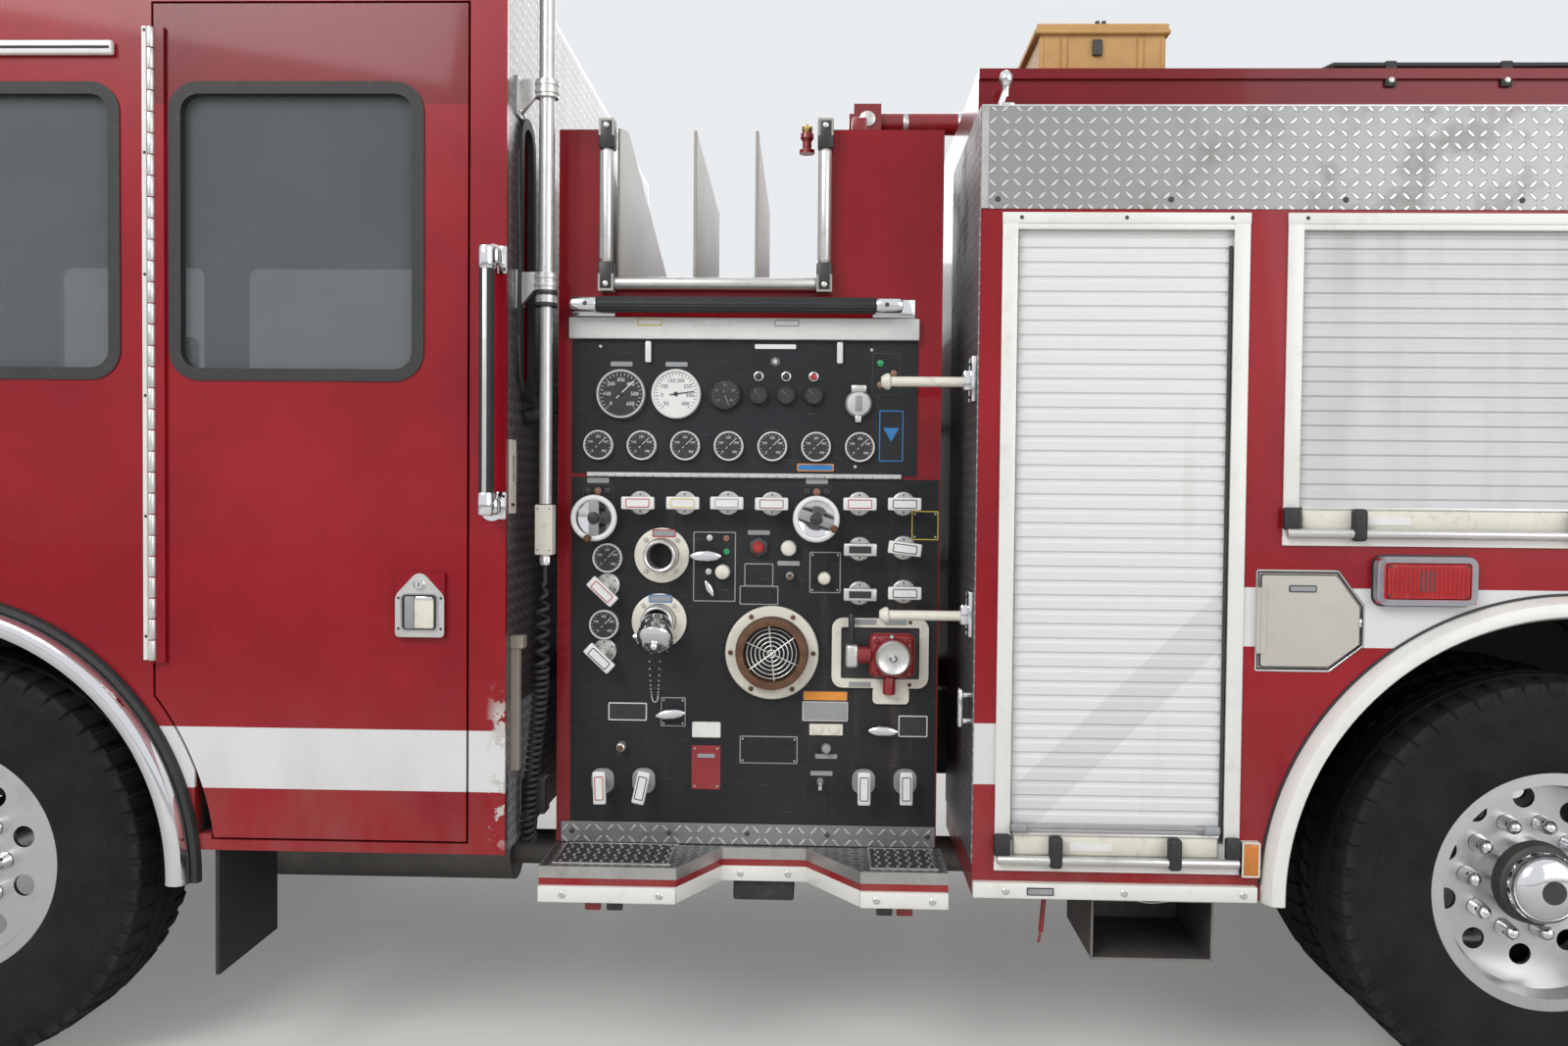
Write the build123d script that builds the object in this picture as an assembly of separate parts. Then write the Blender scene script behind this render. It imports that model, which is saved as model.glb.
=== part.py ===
from build123d import *
import os
from math import pi, radians, sqrt, tan

os.makedirs("parts", exist_ok=True)

# A municipal fire engine: custom tilt cab with four doors, mid-ship pump and a lockered body.
# Millimetres. The front points to -X, +Y is the vehicle's right, and the ground is Z = 0.
# The origin is on the ground, at half the length and half the width.

# Driving dimensions of the chassis
WHEELBASE = 4078.0
FRONT_OVERHANG = 2000.0
REAR_OVERHANG = 2312.0
LENGTH = FRONT_OVERHANG + WHEELBASE + REAR_OVERHANG
HALF_WIDTH = 1250.0
FRONT_AXLE_X = FRONT_OVERHANG - LENGTH / 2
REAR_AXLE_X = FRONT_AXLE_X + WHEELBASE
AXLE_Z = 535.0

# Wheels
TYRE_R = 535.0
TYRE_WIDTH = 296.0
RIM_R = 286.0
RIM_FLANGE_R = 298.0
RIM_WALL = 12.0
WHEEL_OUT_Y = 1212.0          # outer side wall of a tyre
DUAL_SPACING = 338.0
FRONT_TYRE_Y = WHEEL_OUT_Y - TYRE_WIDTH / 2
REAR_OUTER_Y = FRONT_TYRE_Y
REAR_INNER_Y = REAR_OUTER_Y - DUAL_SPACING
HUB_R = 105.0
SPINDLE_R = 42.0
BORE_GAP = 0.5
STEER_LOCK = 35.0
KINGPIN_Y = 868.0
KINGPIN_R = 24.0

# Frame rails
RAIL_Y = 430.0                # outer face of a rail
RAIL_HEIGHT = 260.0
RAIL_FLANGE = 80.0
RAIL_T = 10.0
RAIL_TOP = 900.0
RAIL_FRONT = FRONT_AXLE_X - 1120.0

# Front bumper
BUMPER_FRONT = FRONT_AXLE_X - FRONT_OVERHANG
BUMPER_BACK = FRONT_AXLE_X - 1440.0
BUMPER_LOW = 500.0
BUMPER_TOP = 800.0
BUMPER_T = 8.0
BUMPER_CORNER = 260.0

# Cab
CAB_FRONT = FRONT_AXLE_X - 1400.0
CAB_BACK = FRONT_AXLE_X + 1473.0
CAB_LOW = 600.0
CAB_ROOF = 2900.0
CAB_SILL_Z = 1620.0           # lower edge of the windscreen slope
CAB_RAKE = 90.0               # how far the slope leans back
CAB_WALL = 50.0
CAB_FLOOR = 1000.0
CAB_FLOOR_UNDER = 950.0
CAB_CORNER_R = 150.0
CAB_ROOF_R = 60.0
ARCH_R = 650.0
WELL_IN_Y = 570.0             # inner wall of a front wheel well
STEP_WELL_IN_Y = 820.0
STEP_TREAD_Z = 640.0
TILT_X = FRONT_AXLE_X - 1300.0
TILT_Z = 850.0
DOOR_T = 50.0
DOOR_GAP = 6.0
DOOR_LOW = 632.0
DOOR_TOP = CAB_ROOF - 200.0
DOOR_ARCH_R = 745.0
FRONT_DOOR = (FRONT_AXLE_X - 1235.0, FRONT_AXLE_X - 430.0)
CREW_DOOR = (FRONT_AXLE_X + 592.0, FRONT_AXLE_X + 1376.0)
HINGE_R = 9.0
GLASS_T = 8.0
WINDOW_LOW = 1788.0
WINDOW_TOP = CAB_ROOF - 405.0
WINDOW_R = 60.0
FENDER_IN_R = 628.0
FENDER_OUT_R = 706.0
FENDER_PROUD = 48.0
FENDER_LOW = 520.0

# Pump house
PUMP_FRONT = FRONT_AXLE_X + 1556.0
PUMP_BACK = FRONT_AXLE_X + 2563.0
PUMP_Y = HALF_WIDTH - 220.0   # the face that carries the panels
PUMP_LOW = 576.0
PUMP_DECK = 2060.0            # crosslay floor
PUMP_TOP = PUMP_DECK + 395.0
PUMP_WALL = 40.0
BED_DEPTH = 750.0             # how far the crosslay dividers reach in
BED_FRONT = FRONT_AXLE_X + 1673.0
BED_BACK = FRONT_AXLE_X + 2268.0
PANEL_T = 6.0
LOW_PANEL = (FRONT_AXLE_X + 1595.0, FRONT_AXLE_X + 2558.0, 633.0, 1545.0)
GAUGE_PANEL = (FRONT_AXLE_X + 1595.0, FRONT_AXLE_X + 2500.0, 1555.0, 1905.0)
GAUGE_DEPTH = 30.0
PANEL_FACE_Y = PUMP_Y + PANEL_T

# Body
BODY_FRONT = FRONT_AXLE_X + 2633.0
BODY_BACK = REAR_AXLE_X + 1912.0
BODY_LOW = 522.0
LOCKER_TOP = 2451.0
BODY_TOP = 2564.0
LOCKER_IN_Y = 600.0
SHEET = 25.0                  # thickness of a locker wall
BED_WALL_Y = 1170.0
BAND_LOW = 2203.0
REAR_ARCH_R = 690.0
REAR_FENDER_R = 742.0
REAR_FENDER_PROUD = 45.0
TAILBOARD_BACK = LENGTH / 2
STEP_TOP = 575.0
STEP_LOW = 490.0
STEP_FRONT = FRONT_AXLE_X + 1559.0
STEP_BACK = FRONT_AXLE_X + 2575.0
STEP_T = 6.0
SEAT_GAP = 0.3                # clearance left between pieces that rest on or are screwed to each other


def box(x0, x1, y0, y1, z0, z1):
    size = Box(x1 - x0, y1 - y0, z1 - z0)
    return Pos((x0 + x1) / 2, (y0 + y1) / 2, (z0 + z1) / 2) * size


def rod(p, q, r):
    """A round bar from point p to point q."""
    axis = Vector(*q) - Vector(*p)
    plane = Plane(origin=p, z_dir=axis)
    return extrude(plane * Circle(r), axis.length)


def rod_y(x, z, y0, y1, r):
    return rod((x, min(y0, y1), z), (x, max(y0, y1), z), r)


def side_plate(outline, y0, y1):
    """Extrudes an outline drawn in X, Z from y0 to y1."""
    face = make_face(Polyline(*[(x, 0, z) for x, z in outline], close=True))
    return Pos(0, max(y0, y1), 0) * extrude(face, abs(y1 - y0), dir=(0, -1, 0))


def rounded_plate(x0, x1, z0, z1, y0, y1, r):
    """A plate in the X, Z plane whose four corners have radius r."""
    plane = Plane(origin=((x0 + x1) / 2, min(y0, y1), (z0 + z1) / 2), x_dir=(1, 0, 0), z_dir=(0, 1, 0))
    return extrude(plane * RectangleRounded(x1 - x0, z1 - z0, r), abs(y1 - y0))


def disc_y(x, z, y0, y1, r, hole=0.0):
    """A disc or ring whose axis is along Y."""
    disc = rod_y(x, z, y0, y1, r)
    if hole:
        disc -= rod_y(x, z, y0, y1, hole)
    return disc


def right(shape):
    """The same piece on the vehicle's right."""
    return mirror(shape, about=Plane.XZ)


def joined(shapes):
    total = shapes[0]
    for shape in shapes[1:]:
        total += shape
    return total


def save(name, *shapes):
    solids = []
    for shape in shapes:
        solids += shape.solids()
    export_step(Compound(children=solids), f"parts/{name}.step")


# Wheels are modelled about the Y axis with the outer side toward -Y, at the origin.
def tyre():
    half = TYRE_WIDTH / 2
    bead, bulge, shoulder = half - 30, half, half - 14
    with BuildPart() as part:
        with BuildSketch(Plane.YZ):
            with BuildLine():
                Polyline((-bead, RIM_FLANGE_R + 1), (bead, RIM_FLANGE_R + 1))
                ThreePointArc((bead, RIM_FLANGE_R + 1), (bulge, 0.5 * (RIM_R + TYRE_R)), (shoulder, TYRE_R - 22))
                Polyline((shoulder, TYRE_R - 22), (half - 34, TYRE_R), (34 - half, TYRE_R), (-shoulder, TYRE_R - 22))
                ThreePointArc((-shoulder, TYRE_R - 22), (-bulge, 0.5 * (RIM_R + TYRE_R)), (-bead, RIM_FLANGE_R + 1))
            make_face()
        revolve(axis=Axis.Y)
    return part.part


HAND_HOLES = 10
HAND_HOLE_PCD_R = 205.0
HAND_HOLE_R = 28.0
NUTS = 10
NUT_PCD_R = 285.75 / 2
NUT_R = 19.0
NUT_LENGTH = 42.0


def rim(disc_y_at, hub_to, hub_bore, with_nuts):
    """Rim barrel with a disc at disc_y_at, and a hub that reaches inward to hub_to."""
    half = TYRE_WIDTH / 2 - 28
    barrel = [(-half, RIM_FLANGE_R), (-half + 14, RIM_FLANGE_R), (-half + 14, RIM_R - 6), (half - 14, RIM_R - 6),
              (half - 14, RIM_FLANGE_R), (half, RIM_FLANGE_R), (half, RIM_R - 18), (half - 40, RIM_R - 18 - RIM_WALL),
              (-half + 40, RIM_R - 18 - RIM_WALL), (-half, RIM_R - 18)]
    ring = revolve(make_face(Polyline(*[(0, y, r) for y, r in barrel], close=True)), Axis.Y)
    disc = rod_y(0, 0, disc_y_at, disc_y_at + RIM_WALL, RIM_R - 18)
    holes = [Rot(0, i * 360 / HAND_HOLES, 0) * rod_y(0, HAND_HOLE_PCD_R, disc_y_at - 20, disc_y_at + 30, HAND_HOLE_R)
             for i in range(HAND_HOLES)]
    disc -= holes
    hub = rod_y(0, 0, disc_y_at - 55, hub_to, HUB_R)
    wheel = ring + disc + hub
    if with_nuts:
        wheel += [Rot(0, (i + 0.5) * 360 / NUTS, 0) * rod_y(0, NUT_PCD_R, disc_y_at - NUT_LENGTH, disc_y_at + 2, NUT_R)
                  for i in range(NUTS)]
    return wheel - rod_y(0, 0, disc_y_at - 15, hub_to + 1, hub_bore)


FRONT_DISC_Y = -95.0          # from the tyre's middle, toward the outside
REAR_DISC_Y = 22.0
DRUM_R = 205.0
DRUM_DEPTH = 90.0

front_tyre = Pos(FRONT_AXLE_X, -FRONT_TYRE_Y, AXLE_Z) * tyre()
FRONT_HUB_IN = 110.0
front_rim = rim(FRONT_DISC_Y, FRONT_HUB_IN, SPINDLE_R + BORE_GAP, True)
front_rim = Pos(FRONT_AXLE_X, -FRONT_TYRE_Y, AXLE_Z) * front_rim
save("front_tyre_left", front_tyre)
save("front_tyre_right", right(front_tyre))
save("front_rim_left", front_rim)
save("front_rim_right", right(front_rim))

rear_tyres = [Pos(REAR_AXLE_X, -y, AXLE_Z) * tyre() for y in (REAR_OUTER_Y, REAR_INNER_Y)]
outer_rim = rim(REAR_DISC_Y, REAR_DISC_Y + RIM_WALL + 30, SPINDLE_R + BORE_GAP, True)
REAR_INNER_DISC_Y = -60.0
REAR_HUB_IN_Y = REAR_INNER_Y - 60.0
REAR_SPINDLE_END_Y = REAR_OUTER_Y - REAR_DISC_Y + 5.0
inner_rim = rim(REAR_INNER_DISC_Y, 60.0, SPINDLE_R + BORE_GAP, False)
rear_rims = Pos(REAR_AXLE_X, -REAR_OUTER_Y, AXLE_Z) * outer_rim
rear_rims += Pos(REAR_AXLE_X, -REAR_INNER_Y, AXLE_Z) * inner_rim
rear_rims += rod_y(REAR_AXLE_X, AXLE_Z, -REAR_OUTER_Y + REAR_DISC_Y, -REAR_INNER_Y, HUB_R)
rear_rims -= rod_y(REAR_AXLE_X, AXLE_Z, -REAR_SPINDLE_END_Y - 5, -REAR_HUB_IN_Y + 1, SPINDLE_R + BORE_GAP)
save("rear_tyres_left", *rear_tyres)
save("rear_tyres_right", *[right(t) for t in rear_tyres])
save("rear_rims_left", rear_rims)
save("rear_rims_right", right(rear_rims))

# Steering knuckle: a plate with two lugs round the beam's eye, the kingpin, the spindle and the arm.
EYE_R = 46.0
EYE_HALF = 62.0
LUG_T = 36.0
KNUCKLE_OUT_Y = KINGPIN_Y + 78.0
SPINDLE_END_Y = FRONT_TYRE_Y - FRONT_DISC_Y - 10.0
lug_gap = EYE_HALF + 2.0
plate = box(FRONT_AXLE_X - 60, FRONT_AXLE_X + 60, -KNUCKLE_OUT_Y, -KNUCKLE_OUT_Y + 22,
            AXLE_Z - lug_gap - LUG_T, AXLE_Z + lug_gap + LUG_T)
lugs = []
for side in (-1, 1):
    z_in = AXLE_Z + side * lug_gap
    z_out = z_in + side * LUG_T
    lug = rod((FRONT_AXLE_X, -KINGPIN_Y, min(z_in, z_out)), (FRONT_AXLE_X, -KINGPIN_Y, max(z_in, z_out)), EYE_R)
    lug += box(FRONT_AXLE_X - 40, FRONT_AXLE_X + 40, -KNUCKLE_OUT_Y, -KINGPIN_Y, min(z_in, z_out), max(z_in, z_out))
    lugs.append(lug)
kingpin = rod((FRONT_AXLE_X, -KINGPIN_Y, AXLE_Z - lug_gap - LUG_T), (FRONT_AXLE_X, -KINGPIN_Y, AXLE_Z + lug_gap + LUG_T),
              KINGPIN_R)
spindle = rod_y(FRONT_AXLE_X, AXLE_Z, -SPINDLE_END_Y, -KNUCKLE_OUT_Y + 5, SPINDLE_R)
steer_arm = box(FRONT_AXLE_X + 30, FRONT_AXLE_X + 230, -KINGPIN_Y - 20, -KINGPIN_Y + 20,
                AXLE_Z - lug_gap - LUG_T, AXLE_Z - lug_gap - 8)
knuckle = plate + lugs + kingpin + spindle + steer_arm
save("knuckle_left", knuckle)
save("knuckle_right", right(knuckle))

# Running gear: front beam, rear housing with its drive shaft, and four leaf springs.
SPRING_Y = 390.0
SPRING_W = 80.0
SPRING_HALF = 640.0
beam = box(FRONT_AXLE_X - 50, FRONT_AXLE_X + 50, -560, 560, AXLE_Z - 130, AXLE_Z - 40)
beam -= box(FRONT_AXLE_X - 51, FRONT_AXLE_X - 18, -561, 561, AXLE_Z - 110, AXLE_Z - 60)
beam -= box(FRONT_AXLE_X + 18, FRONT_AXLE_X + 51, -561, 561, AXLE_Z - 110, AXLE_Z - 60)
for side in (-1, 1):
    rise = make_face(Polyline((0, side * 540, AXLE_Z - 130), (0, side * 540, AXLE_Z - 40),
                              (0, side * (KINGPIN_Y - 90), AXLE_Z + 45), (0, side * KINGPIN_Y, AXLE_Z + 45),
                              (0, side * KINGPIN_Y, AXLE_Z - 45), (0, side * (KINGPIN_Y - 70), AXLE_Z - 45), close=True))
    beam += Pos(FRONT_AXLE_X - 35, 0, 0) * extrude(rise, 70, dir=(1, 0, 0))
    eye_low = (FRONT_AXLE_X, side * KINGPIN_Y, AXLE_Z - EYE_HALF)
    eye_top = (FRONT_AXLE_X, side * KINGPIN_Y, AXLE_Z + EYE_HALF)
    beam += rod(eye_low, eye_top, EYE_R)
    beam -= rod((eye_low[0], eye_low[1], eye_low[2] - 1), (eye_top[0], eye_top[1], eye_top[2] + 1), KINGPIN_R + BORE_GAP)


def leaf_spring(x, seat_z, hanger_z):
    """A pack of stepped leaves bent as one arc, with hangers up to the rail."""
    leaves = []
    sag = hanger_z - seat_z
    for i, share in enumerate((1.0, 0.82, 0.6, 0.4)):
        half = SPRING_HALF * share
        z_end = seat_z + sag * share ** 2
        low, high = -14.0 * (i + 1), -14.0 * i
        arc_top = ThreePointArc((x - half, 0, z_end + high), (x, 0, seat_z + high), (x + half, 0, z_end + high))
        arc_low = ThreePointArc((x - half, 0, z_end + low), (x, 0, seat_z + low), (x + half, 0, z_end + low))
        ends = [Line(arc_top @ 0, arc_low @ 0), Line(arc_top @ 1, arc_low @ 1)]
        leaves.append(extrude(make_face([arc_top, arc_low] + ends), SPRING_W / 2, both=True))
    pack = joined(leaves)
    for end in (-1, 1):
        pack += rod_y(x + end * SPRING_HALF, hanger_z, -SPRING_W / 2, SPRING_W / 2, 32)
        pack += box(x + end * SPRING_HALF - 34, x + end * SPRING_HALF + 34, -SPRING_W / 2, SPRING_W / 2,
                    hanger_z, RAIL_TOP - RAIL_HEIGHT)
    return pack


SPRING_EYE_Z = RAIL_TOP - RAIL_HEIGHT - 50
gear = [beam]
for side in (-1, 1):
    gear.append(Pos(0, side * SPRING_Y, 0) * leaf_spring(FRONT_AXLE_X, AXLE_Z - 40 + 56, SPRING_EYE_Z))
    gear.append(Pos(0, side * SPRING_Y, 0) * leaf_spring(REAR_AXLE_X, AXLE_Z - 60, SPRING_EYE_Z))
HOUSING_END_Y = REAR_HUB_IN_Y - 8.0
housing = rod_y(REAR_AXLE_X, AXLE_Z, -HOUSING_END_Y, HOUSING_END_Y, 68)
housing += rod((REAR_AXLE_X - 190, 0, AXLE_Z), (REAR_AXLE_X + 110, 0, AXLE_Z), 165)
rear_spindles = [rod_y(REAR_AXLE_X, AXLE_Z, side * (HOUSING_END_Y - 5), side * REAR_SPINDLE_END_Y, SPINDLE_R)
                 for side in (-1, 1)]
housing += rear_spindles
GEARBOX_X = FRONT_AXLE_X + 2060.0
shaft = rod((GEARBOX_X + 213, 0, 640), (REAR_AXLE_X - 185, 0, AXLE_Z), 45)
housing += shaft
gear.append(housing)
save("running_gear", joined(gear))

# Frame: two channel rails with cross members, front extensions and towing eyes.
rail = box(RAIL_FRONT, BODY_BACK - 30, -RAIL_Y, -RAIL_Y + RAIL_FLANGE, RAIL_TOP - RAIL_HEIGHT, RAIL_TOP)
rail -= box(RAIL_FRONT - 1, BODY_BACK, -RAIL_Y + RAIL_T, -RAIL_Y + RAIL_FLANGE + 1,
            RAIL_TOP - RAIL_HEIGHT + RAIL_T, RAIL_TOP - RAIL_T)
extension = box(BUMPER_FRONT + BUMPER_T, RAIL_FRONT + 150, -RAIL_Y, -RAIL_Y + RAIL_T, 570, 790)
TOW_EYE_R = 27.0
TOW_EYE_X = BUMPER_FRONT + 110.0
TOW_EYE_Z = 455.0
TOW_T = 26.0
tow = box(TOW_EYE_X - 60, TOW_EYE_X + 200, -RAIL_Y - TOW_T, -RAIL_Y, TOW_EYE_Z, 700)
tow += rod_y(TOW_EYE_X, TOW_EYE_Z, -RAIL_Y - TOW_T, -RAIL_Y, 60)
tow -= rod_y(TOW_EYE_X, TOW_EYE_Z, -RAIL_Y - TOW_T - 1, -RAIL_Y + 1, TOW_EYE_R)
# Cab tilt bracket with its pin, and the pad under the cab's rear
TILT_PIN_R = 20.0
tilt = box(TILT_X - 45, TILT_X + 45, -RAIL_Y, -RAIL_Y + RAIL_T, 780, TILT_Z + 45)
tilt += rod_y(TILT_X, TILT_Z, -RAIL_Y - 60, -RAIL_Y + 5, TILT_PIN_R)
pad = box(CAB_BACK - 250, CAB_BACK - 130, -RAIL_Y, -RAIL_Y + RAIL_FLANGE, RAIL_TOP, CAB_FLOOR_UNDER)
rail += extension + tow + tilt + pad
rails = [rail, right(rail)]
CROSS_X = [RAIL_FRONT + 60, FRONT_AXLE_X + 900, FRONT_AXLE_X + 1700, FRONT_AXLE_X + 2700,
           REAR_AXLE_X - 650, REAR_AXLE_X + 650, BODY_BACK - 110]
MEMBER_END_Y = RAIL_Y - RAIL_T - SEAT_GAP
MEMBER_TOP = RAIL_TOP - RAIL_T - SEAT_GAP
members = [box(x - 45, x + 45, -MEMBER_END_Y, MEMBER_END_Y, MEMBER_TOP - 60, MEMBER_TOP) for x in CROSS_X]
save("chassis_frame", *rails, *members)


def bumper_plan(inset):
    x0, x1, y = BUMPER_FRONT + inset, BUMPER_BACK, HALF_WIDTH - inset
    corner = BUMPER_CORNER
    return [(x1, -y), (x0 + corner, -y), (x0, -y + corner * 1.3), (x0, y - corner * 1.3), (x0 + corner, y), (x1, y)]


def plan_plate(outline, z0, z1):
    """Extrudes an outline drawn in X, Y from z0 to z1."""
    return extrude(make_face(Polyline(*[(x, y, z0) for x, y in outline], close=True)), z1 - z0, dir=(0, 0, 1))


bumper = plan_plate(bumper_plan(0), BUMPER_LOW, BUMPER_TOP)
bumper -= plan_plate(bumper_plan(BUMPER_T), BUMPER_LOW - 1, BUMPER_TOP - BUMPER_T)
TRAY = (BUMPER_FRONT + 150, BUMPER_BACK - 90, 380.0, 230.0)
tray_low = BUMPER_TOP - TRAY[3]
TRAY_T = 6.0
bumper -= box(TRAY[0] - SEAT_GAP, TRAY[1] + SEAT_GAP, -TRAY[2] - SEAT_GAP, TRAY[2] + SEAT_GAP, tray_low, BUMPER_TOP + 1)
tray = box(TRAY[0], TRAY[1], -TRAY[2], TRAY[2], tray_low, BUMPER_TOP)
tray -= box(TRAY[0] + TRAY_T, TRAY[1] - TRAY_T, TRAY_T - TRAY[2], TRAY[2] - TRAY_T, tray_low + TRAY_T, BUMPER_TOP + 1)
save("front_bumper", bumper, tray)

# Engine, pump, tanks
ENGINE = (FRONT_AXLE_X - 900.0, FRONT_AXLE_X + 480.0, 320.0, 660.0, 1400.0)
RAIL_SEAT_Z = RAIL_TOP - RAIL_HEIGHT + RAIL_T
engine = box(ENGINE[0], ENGINE[1], -ENGINE[2], ENGINE[2], ENGINE[3], ENGINE[4])
for x in (ENGINE[0] + 200, ENGINE[1] - 200):
    engine += box(x - 60, x + 60, -RAIL_Y + RAIL_T + 15, RAIL_Y - RAIL_T - 15, RAIL_SEAT_Z, RAIL_SEAT_Z + 50)
save("engine_block", engine)
pump = box(GEARBOX_X - 190, GEARBOX_X + 190, -300, 300, 620, 890)
pump += rod((GEARBOX_X - 240, 0, 640), (GEARBOX_X + 210, 0, 640), 130)
INTAKE_X = FRONT_AXLE_X + 2127.0
INTAKE_Z = 1089.0
SUCTION_R = 82.0
pump += rod_y(INTAKE_X, INTAKE_Z, -PUMP_Y + 20, PUMP_Y - 20, SUCTION_R)
pump += box(INTAKE_X - 150, INTAKE_X + 150, -240, 240, 880, 1250)
save("pump_unit", pump)
TANK_TOP = 1940.0
tank = box(BODY_FRONT + 60, REAR_AXLE_X + 900, -LOCKER_IN_Y + 40, LOCKER_IN_Y - 40, RAIL_TOP, TANK_TOP)
FUEL_Y = RAIL_Y - RAIL_FLANGE
fuel = box(REAR_AXLE_X + 780, REAR_AXLE_X + 1500, -FUEL_Y, FUEL_Y, 470, 800)
save("tanks", tank, fuel)
EXHAUST_X = REAR_AXLE_X - 993.0
MUFFLER = (FRONT_AXLE_X + 560.0, FRONT_AXLE_X + 1360.0, -640.0, 450.0, 95.0)
PIPE_R = 50.0
exhaust = rod((MUFFLER[0], MUFFLER[2], MUFFLER[3]), (MUFFLER[1], MUFFLER[2], MUFFLER[3]), MUFFLER[4])
exhaust += rod((MUFFLER[1] - 20, MUFFLER[2], MUFFLER[3]), (EXHAUST_X, MUFFLER[2], MUFFLER[3]), PIPE_R)
exhaust += rod((EXHAUST_X, MUFFLER[2] + 40, MUFFLER[3]), (EXHAUST_X, -900, 410), PIPE_R)
# Flat diffuser box, open toward the side
DIFFUSER = (EXHAUST_X - 146.0, EXHAUST_X + 154.0, -HALF_WIDTH + 60.0, -880.0, 350.0, 500.0)
DIFFUSER_T = 4.0
exhaust += box(*DIFFUSER)
exhaust -= box(DIFFUSER[0] + DIFFUSER_T, DIFFUSER[1] - DIFFUSER_T, DIFFUSER[2] - 1, DIFFUSER[3] - DIFFUSER_T,
               DIFFUSER[4] + DIFFUSER_T, DIFFUSER[5] - DIFFUSER_T)
# Hangers from the rail
HANGER_Y = -LOCKER_IN_Y + 10
for x in (MUFFLER[0] + 370, EXHAUST_X - 180):
    exhaust += box(x - 22, x + 22, MUFFLER[2], -RAIL_Y, MUFFLER[3] - 15, MUFFLER[3] + 15)
    exhaust += box(x - 22, x + 22, HANGER_Y, -RAIL_Y, MUFFLER[3] - 15, MUFFLER[3] + 250)
save("exhaust_pipe", exhaust)


# Cab shell
def front_x(z):
    """The cab's outer front face at height z."""
    share = max(0.0, (z - CAB_SILL_Z) / (CAB_ROOF - CAB_SILL_Z))
    return CAB_FRONT + share * CAB_RAKE


def cab_form(inset, low, corner_r):
    top = CAB_ROOF - inset
    outline = [(CAB_FRONT + inset, low), (CAB_FRONT + inset, CAB_SILL_Z), (front_x(top) + inset, top),
               (CAB_BACK - inset, top), (CAB_BACK - inset, low)]
    half = HALF_WIDTH - inset
    form = side_plate(outline, -half, half)
    corners = [e for e in form.edges() if abs(e.center().Y) > half - 1 and e.center().X < CAB_FRONT + CAB_RAKE + inset]
    corners = [e for e in corners if e.center().Z > low + 1 and e.center().Z < top - 1]
    return fillet(corners, corner_r)


cab_outer = cab_form(0, CAB_LOW, CAB_CORNER_R)
cab_outer = fillet([e for e in cab_outer.edges() if e.center().Z > CAB_ROOF - 1], CAB_ROOF_R)
shell = cab_outer - cab_form(CAB_WALL, CAB_FLOOR, CAB_CORNER_R - CAB_WALL)

WELL_WALL = 25.0
TUNNEL_Y = 440.0
TUNNEL_TOP = 1520.0
TUNNEL_WALL = 40.0
TUNNEL_FRONT = FRONT_AXLE_X - 1000.0
TUNNEL_BACK = FRONT_AXLE_X + 760.0
for side in (-1, 1):
    y_in, y_out = side * (WELL_IN_Y - WELL_WALL), side * (HALF_WIDTH - CAB_WALL + 5)
    housing_form = rod_y(FRONT_AXLE_X, AXLE_Z, y_in, y_out, ARCH_R + WELL_WALL)
    shell += housing_form & box(FRONT_AXLE_X - 800, FRONT_AXLE_X + 800, -HALF_WIDTH, HALF_WIDTH, CAB_LOW, CAB_ROOF)
shell += box(TUNNEL_FRONT, TUNNEL_BACK, -TUNNEL_Y, TUNNEL_Y, CAB_FLOOR - 20, TUNNEL_TOP)
shell -= box(TUNNEL_FRONT + TUNNEL_WALL, TUNNEL_BACK - TUNNEL_WALL, TUNNEL_WALL - TUNNEL_Y, TUNNEL_Y - TUNNEL_WALL,
             CAB_LOW, TUNNEL_TOP - TUNNEL_WALL)
shell -= box(CAB_FRONT - 1, CAB_BACK + 1, WELL_WALL - WELL_IN_Y, WELL_IN_Y - WELL_WALL, CAB_LOW - 1, CAB_FLOOR_UNDER)
SILL_IN_Y = STEP_WELL_IN_Y - 20.0
sill_spans = ((CAB_FRONT + CAB_WALL, FRONT_AXLE_X - ARCH_R - 40), (FRONT_AXLE_X + ARCH_R + 40, CAB_BACK - CAB_WALL))
step_spans = ((FRONT_DOOR[0] + 20, FRONT_AXLE_X - ARCH_R - 40), (FRONT_AXLE_X + ARCH_R + 40, CREW_DOOR[1] - 20))
for side in (-1, 1):
    y0, y1 = sorted((side * (RAIL_Y + 10), side * (RAIL_Y + 50)))
    shell += box(TILT_X - 40, TILT_X + 40, y0, y1, TILT_Z - 45, CAB_FLOOR_UNDER + 1)
    shell -= rod_y(TILT_X, TILT_Z, y0 - 1, y1 + 1, TILT_PIN_R + SEAT_GAP)
for x0, x1 in sill_spans:
    shell -= box(x0, x1, -SILL_IN_Y, SILL_IN_Y, CAB_LOW - 1, CAB_FLOOR_UNDER)
for side in (-1, 1):
    y0, y1 = sorted((side * (HALF_WIDTH + 1), side * STEP_WELL_IN_Y))
    for x0, x1 in step_spans:
        shell -= box(x0, x1, y0, y1, STEP_TREAD_Z, CAB_FLOOR + 1)
    shell -= rod_y(FRONT_AXLE_X, AXLE_Z, side * WELL_IN_Y, side * (HALF_WIDTH + 1), ARCH_R)


def door_form(x0, x1, gap):
    """The outline of a door, or of its opening when gap is the clearance round it."""
    form = box(x0 - gap, x1 + gap, -HALF_WIDTH - 1, -HALF_WIDTH + DOOR_T, DOOR_LOW - gap, DOOR_TOP + gap)
    return form - rod_y(FRONT_AXLE_X, AXLE_Z, -HALF_WIDTH - 2, -HALF_WIDTH + DOOR_T + 1, DOOR_ARCH_R - gap)


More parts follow.
